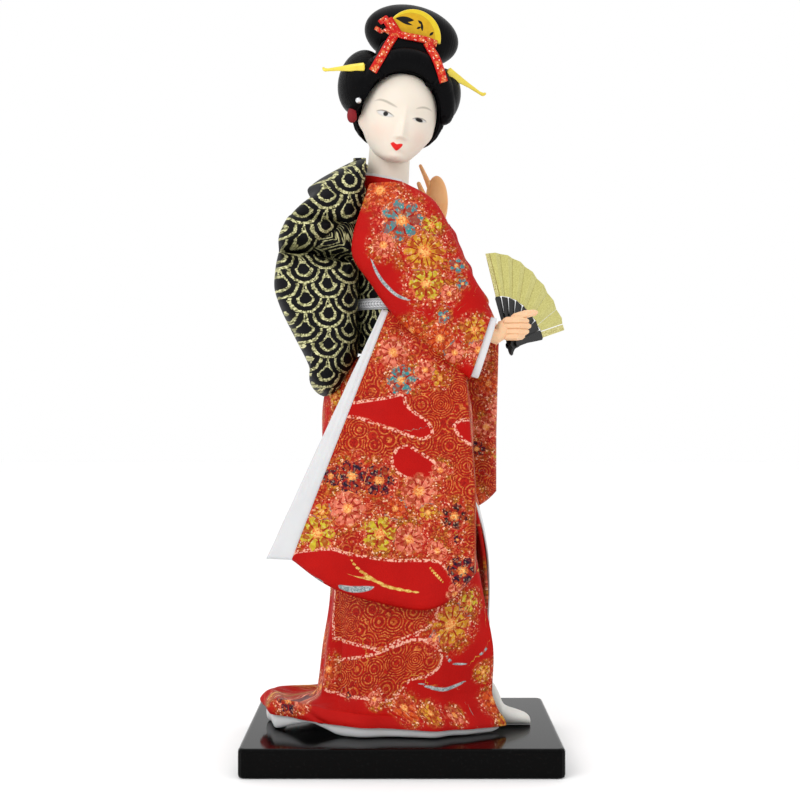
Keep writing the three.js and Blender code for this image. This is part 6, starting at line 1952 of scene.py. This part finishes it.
    def build(self, finishes: "Finishes") -> None:
        """Builds the head and the neck."""
        grid, cloth = self.grid()
        form = form_of(grid, cloth)
        build_piece("face", HEAD.seat(form), finishes.skin, ["head"], "head", self.paint(form.cloth))
        neck = form_of(self.neck())
        far = np.full((len(neck.cloth), 3), NOWHERE)
        build_piece("neck", neck, finishes.skin, ["head"], "head",
                    {"ink": far, "paint": far * (1.0, 0.0, 1.0)})


@dataclass
class Hair:
    """The dressed hair with its comb, pins, ribbon, bead and side cloth."""

    cap_middle: Triple = (0.0, 2.34, 5.85)
    cap_radii: Triple = (19.6, 20.4, 20.75)
    skull_radii: Triple = (15.6, 17.5, 22.0)
    knot_middle: Triple = (0.0, 7.0, 38.0)
    knot_radii: Triple = (20.0, 13.5, 12.4)
    base_middle: Triple = (0.0, 7.0, 28.1)
    base_radii: Triple = (13.6, 10.8, 7.4)
    right_wing: tuple = ((-17.3, 0.36, 12.8), (9.8, 12.5, 13.6))
    left_wing: tuple = ((15.3, 0.36, 14.2), (8.9, 12.5, 12.0))
    nape_middle: Triple = (0.8, 14.5, -1.2)
    nape_radii: Triple = (9.0, 7.6, 7.4)
    pad_middle: Triple = (-1.5, -9.4, 26.0)
    pad_radii: Triple = (12.5, 3.2, 7.6)
    comb_middle: Pair = (-1.0, 33.9)
    comb_radius: float = 11.4
    comb_teeth: int = 7
    teeth_width: float = 17.1
    roll_radius: float = 5.8
    bead_middle: Triple = (-18.2, -9.6, 3.7)
    bead_radius: float = 1.3
    side_middle: Triple = (-18.9, -3.4, -1.2)
    side_radii: Triple = (2.3, 1.4, 3.6)
    ribbon_lift: float = 0.35

    def roll_path(self, count: int) -> tuple[Array, Array]:
        """The front roll's middle line, an arch over the brow, and its radius along it."""
        share = np.linspace(0, 1, count)
        angle = math.pi * mix(0.04, 0.96, share)
        path = np.column_stack([18.0 * np.cos(angle), -18.0 * mix(0.3, 0.56, np.sin(angle)),
                                3.2 + 20.24 * np.sin(angle)])
        return path, self.roll_radius * mix(0.6, 1.0, np.sin(math.pi * share) ** 0.6)

    def cap(self) -> Form:
        """The hair over the skull: from the hairline, whose polar angle changes round it, to the back.

        Points lie at middle + radii (sin t cos a, -cos t, sin t sin a), t from the hairline to the
        pole behind; the inside lies 7 percent further in, and both keep off the skull.
        """
        turn = angles(200)[None]
        from_top = np.abs((np.degrees(turn) - 90 + 180) % 360 - 180)
        edge = np.radians(np.interp(from_top, [0, 45, 80, 100, 115, 130, 150, 180],
                                    [42, 48, 57, 70, 90, 108, 124, 130]))
        share = np.linspace(0, 1, 100)[:, None]
        polar = mix(edge, math.pi - 0.02, share)
        lip = 1 - 0.06 * (1 - ramp(share, -0.001, 0.06))
        comb = 1 + 0.004 * np.sin(turn * 38 + 2.0 * np.sin(3 * polar)) * ramp(share, 0.0, 0.1)
        size = np.asarray(self.cap_radii) * (lip * comb)[..., None]
        direction = np.stack([np.sin(polar) * np.cos(turn), -np.cos(polar), np.sin(polar) * np.sin(turn)], axis=2)
        outer = kept_out(np.asarray(self.cap_middle) + direction * size, (0.3, 0, 0), self.skull_radii, 0.9)
        inner = kept_out(np.asarray(self.cap_middle) + direction * size * 0.93, (0.3, 0, 0), self.skull_radii, 0.4)
        ring = np.concatenate([outer, inner[::-1]])
        along = closed((polar + 0 * turn) * 20.0)
        around = np.concatenate([turn, [[TURN]]], axis=1) * 18.0
        places = np.stack([np.broadcast_to(around, along.shape), along], axis=2)
        return form_of(ring, np.concatenate([places, places[::-1]]), wrap_rows=True)

    def combed(self, grid: Array, across_first: bool) -> Form:
        """A form on a grid whose strands run along its rings or from pole to pole."""
        cloth = arc_cloth(grid, True)
        if not across_first:
            cloth = cloth[..., ::-1]
        return form_of(grid, cloth)

    def front_of(self, x: Array, z: Array) -> Array:
        """How far forward the hair and the comb reach at places seen from in front."""
        front = np.full(x.shape, 4.0)
        path, radii = self.roll_path(60)
        lobes = [(self.cap_middle, self.cap_radii), (self.knot_middle, self.knot_radii),
                 (self.base_middle, self.base_radii)]
        lobes += [self.right_wing, self.left_wing, (self.pad_middle, self.pad_radii)]
        lobes += [(point, (radius,) * 3) for point, radius in zip(path, radii)]
        for middle, size in lobes:
            inside = 1 - ((x - middle[0]) / size[0]) ** 2 - ((z - middle[2]) / size[2]) ** 2
            reach = middle[1] - size[1] * np.sqrt(np.clip(inside, 0, None))
            front = np.where(inside > 0, np.minimum(front, reach), front)
        comb = (np.hypot(x - self.comb_middle[0], np.maximum(z - self.comb_middle[1], 0)) < 11.6) & (z > 30.0)
        return np.where(comb, np.minimum(front, -9.0), front)

    def ribbon(self, path: Sequence, width: float, lift: float = 0.0) -> Array:
        """A ribbon's grid along a path over the hair, held just off what lies under it.

        Args:
            path: Its middle line, as places seen from in front.
            width: Its width.
            lift: How much further off it is held than a ribbon that lies straight on the hair.

        Returns:
            The grid, along by across by 3.
        """
        centre = spaced(path, 40)
        along = unit(np.gradient(centre, axis=0))
        sideways = np.stack([-along[:, 1], along[:, 0]], axis=1)
        share = np.linspace(-1, 1, 9)
        x = centre[:, :1] + sideways[:, :1] * share * width / 2
        z = centre[:, 1:] + sideways[:, 1:] * share * width / 2
        front = self.front_of(x, z)
        level = front.min(axis=1)
        for _ in range(3):
            between = (level[:-2] + level[2:]) / 2
            level = np.minimum(level, np.concatenate([level[:1], between, level[-1:]]))
        y = level[:, None] + 0 * x - self.ribbon_lift - lift
        return np.stack([x, y, z], axis=2)

    def build(self, finishes: "Finishes") -> None:
        """Builds the hair's masses, then what is set in them."""
        skull = ((0.3, 0, 0), self.skull_radii, 0.5)
        cap = (self.cap_middle, self.cap_radii, 0.25)
        build_piece("hair_cap_combed", HEAD.seat(self.cap()), finishes.hair, ["hair_cap"], "head")
        path, radii = self.roll_path(110)
        along = unit(np.gradient(path, axis=0))
        side = unit(np.cross(along, [0.0, 1.0, 0.0]))
        angle = angles(72)
        swell = (1 + 0.012 * np.sin(angle * 3))[None, :, None]
        cosine, sine = np.cos(angle)[None, :, None], np.sin(angle)[None, :, None]
        ring = side[:, None] * cosine + np.cross(along, side)[:, None] * sine
        tip = np.sqrt(np.clip(1 - np.abs(np.linspace(-1, 1, 110)) ** 14, 0.02, 1))
        grid = path[:, None] + ring * swell * (radii * tip)[:, None, None]
        grid = kept_out(kept_out(grid, *skull), *cap)
        # The hair swept up before the comb's teeth: a lobe cut flat behind them.
        pad = lobe_grid(self.pad_middle, self.pad_radii, 0)
        pad[..., 1] = np.minimum(pad[..., 1], -9.25)
        roll = self.combed(grid, False).joined(self.combed(pad, True))
        build_piece("hair_roll_combed", HEAD.seat(roll), finishes.hair, ["hair_front_roll"], "head")
        for name, (middle, size) in (("right", self.right_wing), ("left", self.left_wing)):
            grid = lobe_grid(middle, size, 1)
            grid = kept_off(kept_out(kept_out(grid, *skull), *cap), *self.roll_path(60), 0.25)
            build_piece(f"hair_wing_{name}_combed", HEAD.seat(self.combed(grid, True)), finishes.hair,
                        [f"hair_wing_{name}"], "head")
        grid = kept_out(kept_out(lobe_grid(self.nape_middle, self.nape_radii, 0), *skull), *cap)
        build_piece("hair_nape_combed", HEAD.seat(self.combed(grid, False)), finishes.hair,
                    ["hair_nape_roll"], "head")
        knot = self.combed(lobe_grid(self.knot_middle, self.knot_radii, 0, 96, 160), False)
        base = self.combed(kept_out(lobe_grid(self.base_middle, self.base_radii, 0), *cap), False)
        build_piece("hair_topknot_combed", HEAD.seat(knot.joined(base)), finishes.hair, ["hair_topknot"], "head")
        self.ornaments(finishes)

    def ornaments(self, finishes: "Finishes") -> None:
        """Builds the comb, the pins, the ribbon, the bead and the cloth at the right wing."""
        build_piece("comb_plate", HEAD.seat(self.comb()), finishes.comb, ["comb"], "comb")
        for name, sign in (("right", -1), ("left", 1)):
            build_piece(f"hairpin_{name}_bar", HEAD.seat(self.pin(sign)), finishes.pin,
                        [f"hairpin_{name}"], f"hairpin_{name}")
        strips = {
            "ribbon_band": (((-8.4, 33.2), (-4.5, 32.9), (-0.5, 33.1), (4.0, 33.3), (8.9, 33.2)),
                            ((-8.0, 33.4), (-10.4, 35.8), (-14.4, 39.8)),
                            ((-8.6, 32.6), (-12.0, 33.6), (-16.2, 35.8))),
            "ribbon_tail_right": (((-9.0, 32.4), (-10.6, 28.5), (-12.7, 22.6), (-15.2, 15.5)),),
            "ribbon_tail_left": (((4.6, 32.2), (7.4, 28.4), (10.4, 23.6), (14.0, 17.6)),),
        }
        for name, paths in strips.items():
            form = strip_form(self.ribbon(paths[0], 2.9 if name == "ribbon_band" else 3.5), 0.6)
            for index, path in enumerate(paths[1:]):
                form = form.joined(strip_form(self.ribbon(path, 4.4 if index == 0 else 1.8, 0.25), 0.6))
            if name == "ribbon_band":
                front = float(self.front_of(np.array([-8.1]), np.array([33.4]))[0])
                form = form.joined(lobe((-8.1, front - 1.0, 33.4), (2.1, 1.3, 2.0), 0, 24, 32))
            build_piece(f"{name}_cloth", HEAD.seat(form), finishes.ribbon, [name], "head")
        bead = lobe_grid(self.bead_middle, (self.bead_radius,) * 3, 1, 30, 40)
        bead = kept_out(bead, *self.right_wing, 0.1)
        build_piece("bead", HEAD.seat(form_of(bead)), finishes.silver, ["hair_bead"], "head")
        cloth = kept_out(lobe_grid(self.side_middle, self.side_radii, 2, 60, 72), *self.right_wing, 0.1)
        cloth = kept_out(cloth, self.cap_middle, self.cap_radii, 0.1)
        build_piece("side_cloth", HEAD.seat(form_of(cloth)), finishes.dark_ribbon, ["hair_side_cloth"], "head")

    def comb(self) -> Form:
        """The comb: a half moon with softened edges, and its tapering teeth."""
        angle = np.linspace(0, math.pi, 90)
        outline = np.column_stack([self.comb_radius * np.cos(angle), self.comb_radius * np.sin(angle)])
        levels = ((0.45, -8.9), (0.12, -8.85), (0.0, -8.6), (0.0, -7.4), (0.12, -7.15), (0.45, -7.1))
        middle, place = np.array([0.0, 4.0]), self.comb_middle
        rows, places = [], []
        for inset, y in levels:
            flat = middle + (outline - middle) * (1 - inset / 8)
            rows.append(np.column_stack([flat[:, 0] + place[0], np.full(90, y), flat[:, 1] + place[1]]))
            places.append(np.concatenate([flat, flat[:1]]))
        form = form_of(np.array(rows), np.array(places))
        corner = np.array([(1, 0.55), (0.55, 1), (-0.55, 1), (-1, 0.55), (-1, -0.55), (-0.55, -1), (0.55, -1),
                           (1, -0.55)])
        for index in range(self.comb_teeth):
            x = place[0] - self.teeth_width / 2 + self.teeth_width / self.comb_teeth * (index + 0.5)
            tooth = []
            for z, half, deep in ((34.5, 0.75, 0.8), (30.9, 0.7, 0.75), (28.5, 0.5, 0.55), (27.9, 0.25, 0.3)):
                tooth.append(np.column_stack([x + half * corner[:, 0], -8.0 + deep * corner[:, 1],
                                              np.full(8, z)]))
            form = form.joined(form_of(np.array(tooth)))
        return form

    def pin(self, sign: int) -> Form:
        """A hairpin laid over a wing: a flat bar that narrows toward a small upturned tip."""
        path = ((15.2, -10.6, 23.4), (21.0, -6.8, 21.9), (27.2, -3.2, 20.6), (32.6, -0.8, 19.3), (34.2, -0.4, 20.1))
        if sign < 0:
            path = ((-18.6, -12.5, 16.9), (-23.6, -9.4, 15.9), (-28.6, -5.6, 15.1), (-33.2, -2.2, 14.3),
                    (-34.2, -1.6, 15.2))
        centres = spaced(path, 64)
        share = np.linspace(0, 1, 64)
        along = unit(np.gradient(centres, axis=0))
        up = unit(np.cross(along, np.array([0.45 * sign, 1.0, 0.0])) * -sign)
        half = np.interp(share, [0, 0.02, 0.3, 0.6, 0.85, 0.94, 1.0], [1.0, 1.65, 1.45, 0.9, 0.62, 0.8, 0.5])
        deep = np.interp(share, [0, 0.02, 0.97, 1.0], [0.4, 0.6, 0.5, 0.35])
        return form_of(dome_tube(centres, np.cross(up, along), up, np.column_stack([deep, half]), 20))


@dataclass
class Fan:
    """The folding fan: its sticks, and the pleats of its leaf between each pair of them."""

    pivot: Triple = (44.8, -19.0, 167.5)
    lean: float = math.radians(13.5)
    heading: float = math.radians(51)
    spread: float = math.radians(86)
    sticks: int = 8
    pitch: float = 0.48
    inner: float = LEAF_INNER
    radius: float = 38.2
    pleat: float = 0.8
    thickness: float = 0.26
    tail: float = 4.2
    # How far a pleat keeps from the middle of a guard and of a rib.
    guard_room: float = 1.6
    rib_room: float = 0.1
    stick_half_thickness: float = 0.16

    def axes(self) -> tuple[Array, Array, Array]:
        """The fan's own directions: toward the spread, along the guard and along the pin."""
        guard = np.array([-math.sin(self.lean), 0, math.cos(self.lean)])
        spread = np.array([math.cos(self.heading), math.sin(self.heading), 0])
        spread = unit(spread - guard * (spread @ guard))
        return spread, guard, np.cross(spread, guard)

    def panel(self, index: int) -> tuple[Form, Array, Array]:
        """One pleat between two sticks: up to a fold half way and down again.

        Args:
            index: The pleat's number, from 0 at the near guard.

        Returns:
            The form, and the places of the two sticks at the leaf's inner edge.
        """
        spread, guard, pin = self.axes()
        step = self.spread / (self.sticks - 1)
        level = (index - (self.sticks - 1) / 2) * self.pitch
        radius = np.linspace(self.inner, self.radius, 14)[:, None]
        first = (self.guard_room if index == 0 else self.rib_room) / radius
        last = (self.guard_room if index == self.sticks - 2 else self.rib_room) / radius
        angle = step * index + np.concatenate([first, step / 2 + 0 * radius, step - last], axis=1)
        height = level + np.concatenate(
            [0 * radius, self.pitch / 2 + self.pleat * radius / self.radius, self.pitch + 0 * radius], axis=1)
        top = height + self.thickness / 2

        def place(angles: Array, levels: Array) -> Array:
            """Points of the fan from polar places."""
            return (np.asarray(self.pivot) + (radius * np.sin(angles))[..., None] * spread
                    + (radius * np.cos(angles))[..., None] * guard + levels[..., None] * pin)

        face, back = place(angle, top), place(angle, top - self.thickness)
        ring = np.concatenate([face, back[:, ::-1]], axis=1)
        flat = np.stack([radius * (angle - angle[:, :1]), radius + 0 * angle], axis=2)
        cloth = out_and_back(flat)
        start, stop = (np.asarray(self.pivot) + self.inner * (math.sin(a) * spread + math.cos(a) * guard)
                       for a in (step * index, step * (index + 1)))
        return form_of(ring, cloth), start, stop

    def stick(self, index: int) -> Form:
        """One stick: a flat bar from behind the rivet to the leaf, or past it for the two guards."""
        spread, guard, pin = self.axes()
        is_guard = index in (0, self.sticks - 1)
        level = (index - (self.sticks - 1) / 2) * self.pitch
        turn = self.spread / (self.sticks - 1) * index
        along = math.sin(turn) * spread + math.cos(turn) * guard
        side = math.cos(turn) * spread - math.sin(turn) * guard
        run = np.linspace(-self.tail, self.radius if is_guard else self.inner - 0.3, 60)
        half = np.interp(run, [-self.tail, -3.8, -2.5, 0.0, 3.0, 8.0, 14.0, 19.9, self.inner, self.radius],
                         [0.3, 1.1, 1.6, 1.7, 1.3, 1.25, 1.7, 2.1, 1.25, 1.25])
        centre = np.asarray(self.pivot) + pin * level + run[:, None] * along
        shape = np.array([(1, 0.5), (0.93, 1), (-0.93, 1), (-1, 0.5), (-1, -0.5), (-0.93, -1), (0.93, -1),
                          (1, -0.5)])
        grid = (centre[:, None] + (half[:, None] * shape[:, 0])[..., None] * side
                + (self.stick_half_thickness * shape[:, 1])[None, :, None] * pin)
        places = np.stack([half[:, None] * shape[None, :, 0], run[:, None] + 0 * shape[None, :, 0]], axis=2)
        return form_of(grid, closed(places))

    def build(self, finishes: "Finishes") -> None:
        """Builds the sticks and the pleats, each pleat between the two sticks that carry it."""
        names = ["fan_guard_near", *(f"fan_rib_{k}" for k in range(1, self.sticks - 1)), "fan_guard_far"]
        for index, name in enumerate(names):
            piece = build_piece(f"{name}_stick", self.stick(index), finishes.guard, [name],
                                f"fan_stick_{index}" if index else "fan")
            piece.data.polygons.foreach_set("use_smooth", np.zeros(len(piece.data.polygons), bool))
        for index in range(self.sticks - 1):
            form, start, end = self.panel(index)
            piece = build_piece(f"fan_pleat_{index + 1}", form, finishes.leaf, [f"fan_leaf_{index + 1}"], "")
            tuple(start * MM)
            tuple(end * MM)
            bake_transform(piece)
            piece.data.polygons.foreach_set("use_smooth", np.zeros(len(piece.data.polygons), bool))


@dataclass
class Finishes:
    """Every finish of the doll, made once."""

    brocade: Material = field(default_factory=brocade)
    obi: Material = field(default_factory=obi_brocade)
    white: Material = field(default_factory=crepe)
    lacquer: Material = field(default_factory=lacquer)
    sock: Material = field(default_factory=lambda: crepe("white_cotton", (0.68, 0.67, 0.63)))
    skin: Material = field(default_factory=painted_ivory)
    peach: Material = field(
        default_factory=lambda: moulded_skin("peach_hand", (0.78, 0.47, 0.27), (0.86, 0.58, 0.36)))
    # The far hand's finish: the hand colour made darker and oranger, which is painted shade.
    tan: Material = field(
        default_factory=lambda: moulded_skin("shaded_peach_hand", (0.72, 0.31, 0.10), (0.86, 0.52, 0.25)))
    hair: Material = field(default_factory=combed_hair)
    comb: Material = field(default_factory=comb_lacquer)
    ribbon: Material = field(default_factory=ribbon_brocade)
    braid: Material = field(default_factory=silver_braid)
    leaf: Material = field(default_factory=leaf_paper)
    dark_ribbon: Material = field(
        default_factory=lambda: plain("dark_red_silk", (0.13, 0.002, 0.006), (0.30, 0.006, 0.012), 0.6))
    pin: Material = field(
        default_factory=lambda: moulded_gold("pin_gilt", (0.68, 0.50, 0.02), (0.86, 0.72, 0.08), 0.1))
    silver: Material = field(
        default_factory=lambda: plain("silver", (0.62, 0.63, 0.65), (0.85, 0.86, 0.88), 0.22, 0.9))
    steel: Material = field(
        default_factory=lambda: plain("drawn_steel", (0.35, 0.35, 0.36), (0.55, 0.55, 0.56), 0.35, 0.9))
    wood: Material = field(
        default_factory=lambda: plain("turned_wood", (0.42, 0.26, 0.13), (0.58, 0.39, 0.21), 0.6, 0.0, 90.0))
    stick: Material = field(
        default_factory=lambda: plain("black_sticks", (0.003, 0.003, 0.003), (0.008, 0.008, 0.008), 0.4))
    guard: Material = field(default_factory=guard_gilt)
    wadding: Material = field(
        default_factory=lambda: plain("wadding", (0.62, 0.58, 0.50), (0.78, 0.74, 0.66), 0.9))

    def carried(self, name: str) -> Material:
        """The finish of a solid that the scene keeps as it is."""
        plans = (
            ("base_board", self.lacquer), ("hand", self.peach), ("fan_rivet", self.stick), ("fan_leaf", self.leaf),
            ("fan", self.stick), ("neck_peg", self.wood), ("arm_wire", self.steel), ("leg_wire", self.steel),
            ("hair", self.hair), ("comb", self.comb), ("ribbon", self.ribbon), ("hairpin", self.pin),
            ("skirt_core", self.wadding), ("torso_core", self.wadding), ("obi", self.obi), ("kimono", self.brocade),
        )
        return next((finish for start, finish in plans if name.startswith(start)), self.white)


@dataclass(frozen=True)
class Studio:
    """Camera, floor and lights."""

    lens: float = 66.15
    distance: float = 611.8
    height: float = 144.0
    shift: Pair = (-0.002, 0.0035)
    # Each lamp's name, place in metres, size and power; all of them point at the doll's middle.
    lamps: tuple = (
        ("key", (-0.55, -0.75, 0.75), 0.6, 3.4),
        ("fill", (0.75, -0.6, 0.45), 0.7, 0.2),
        ("top", (0.0, 0.1, 0.95), 0.8, 0.9),
    )
    aim: Triple = (0.0, 0.0, 0.15)

    def build(self) -> None:
        """Sets the camera at the photograph's place, a white floor, a pale surround and soft lights."""
        camera = bpy.data.objects.new("camera", bpy.data.cameras.new("camera"))
        camera.location = (0, -self.distance * MM, self.height * MM)
        camera.rotation_euler = (math.pi / 2, 0, 0)
        camera.data.lens = self.lens
        camera.data.shift_x, camera.data.shift_y = self.shift
        scene = bpy.context.scene
        scene.collection.objects.link(camera)
        scene.camera = camera
        scene.view_settings.view_transform = "Standard"
        world = bpy.data.worlds.new("surround")
        world.use_nodes = True
        world.node_tree.nodes["Background"].inputs[0].default_value = (1.0, 1.0, 1.0, 1.0)
        world.node_tree.nodes["Background"].inputs[1].default_value = 1.0
        scene.world = world
        mesh = bpy.data.meshes.new("floor")
        mesh.from_pydata([(-3, -3, 0), (3, -3, 0), (3, 3, 0), (-3, 3, 0)], [], [(0, 1, 2, 3)])
        paint = Finish("floor_paint", roughness=0.9)
        paint.colour((1.0, 1.0, 1.0))
        mesh.materials.append(paint.material)
        floor = bpy.data.objects.new("floor", mesh)
        scene.collection.objects.link(floor)
        for name, place, size, power in self.lamps:
            light = bpy.data.lights.new(name, "AREA")
            light.size = size
            light.energy = power
            lamp = bpy.data.objects.new(name, light)
            lamp.location = place
            aim = np.array(self.aim) - np.array(place)
            yaw, pitch = math.atan2(aim[1], aim[0]), math.atan2(math.hypot(aim[0], aim[1]), -aim[2])
            lamp.rotation_euler = (pitch, 0, yaw - math.pi / 2)
            scene.collection.objects.link(lamp)


RIGHT_SLEEVE = RightSleeve(
    side=-1, name="right",
    arm=((-0.15, 0.02, 0.16, 0.015, 0.5), (-0.22, 0.14, 0.38, 0.085, 0.82), (-0.29, 0.27, 0.5, 0.17, 1.0),
         (-0.29, 0.38, 0.65, 0.34, 1.0), (-0.14, 0.5, 0.8, 0.5, 1.0), (0.06, 0.65, 0.905, 0.585, 1.0),
         (0.4, 0.82, 0.9, 0.62, 0.95), (0.755, 0.965, 0.935, 0.66, 0.86)),
    bag_width=73.0, bag_drop=98.0, bag_sag=13.4,
    rear_top=(0.015, 0.64), rear_bottom=(0.8, 0.65), front_top=(0.7, 0.78), front_bottom=(0.8, 0.69),
    dip=4.6, tuck=4.0,
    creases=(((-2.5, 198.6), (3.0, 194.3), (9.7, 189.5), (15.8, 186.4), (24.9, 184.0), (31.0, 182.2)),
             ((15.4, 218.0), (16.1, 211.6), (14.5, 204.0))),
    weave_arm=ARM_WEAVE, weave_bag=BAG_WEAVE,
)
LEFT_SLEEVE = LeftSleeve(
    side=1, name="left",
    arm=((-0.12, 0.02, 0.14, 0.015, 0.5), (-0.2, 0.14, 0.3, 0.085, 0.82), (-0.22, 0.27, 0.42, 0.17, 1.0),
         (-0.1, 0.4, 0.6, 0.3, 1.0), (0.1, 0.55, 0.85, 0.45, 1.0), (0.35, 0.72, 1.02, 0.62, 1.0),
         (0.62, 0.84, 1.07, 0.72, 0.7)),
    bag_width=56.0, bag_drop=80.0, bag_sag=10.0,
    rear_top=(0.3, 0.6), rear_bottom=(0.95, 0.55), front_top=(1.08, 0.7), front_bottom=(1.06, 0.58),
    weave_arm=ARM_WEAVE, weave_bag=BAG_WEAVE,
)


def main() -> None:
    """Builds the doll in order."""
    logging.basicConfig(level=logging.INFO, format="%(message)s")
    finishes = Finishes()
    Studio().build()
    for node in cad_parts.values():
        node.data.materials.clear()
        node.data.materials.append(finishes.carried(node.name))
    Skirt().build(finishes)
    Foot().build("foot_right_sock", 22.4, -6.0, finishes)
    Foot().build("foot_left_sock", 2.4, 9.0, finishes)
    RIGHT_SLEEVE.build(finishes)
    LEFT_SLEEVE.build(finishes)
    Bodice().build(finishes)
    Bow().build(finishes)
    Face().build(finishes)
    Hair().build(finishes)
    Fan().build(finishes)


if __name__ == "__main__":
    main()
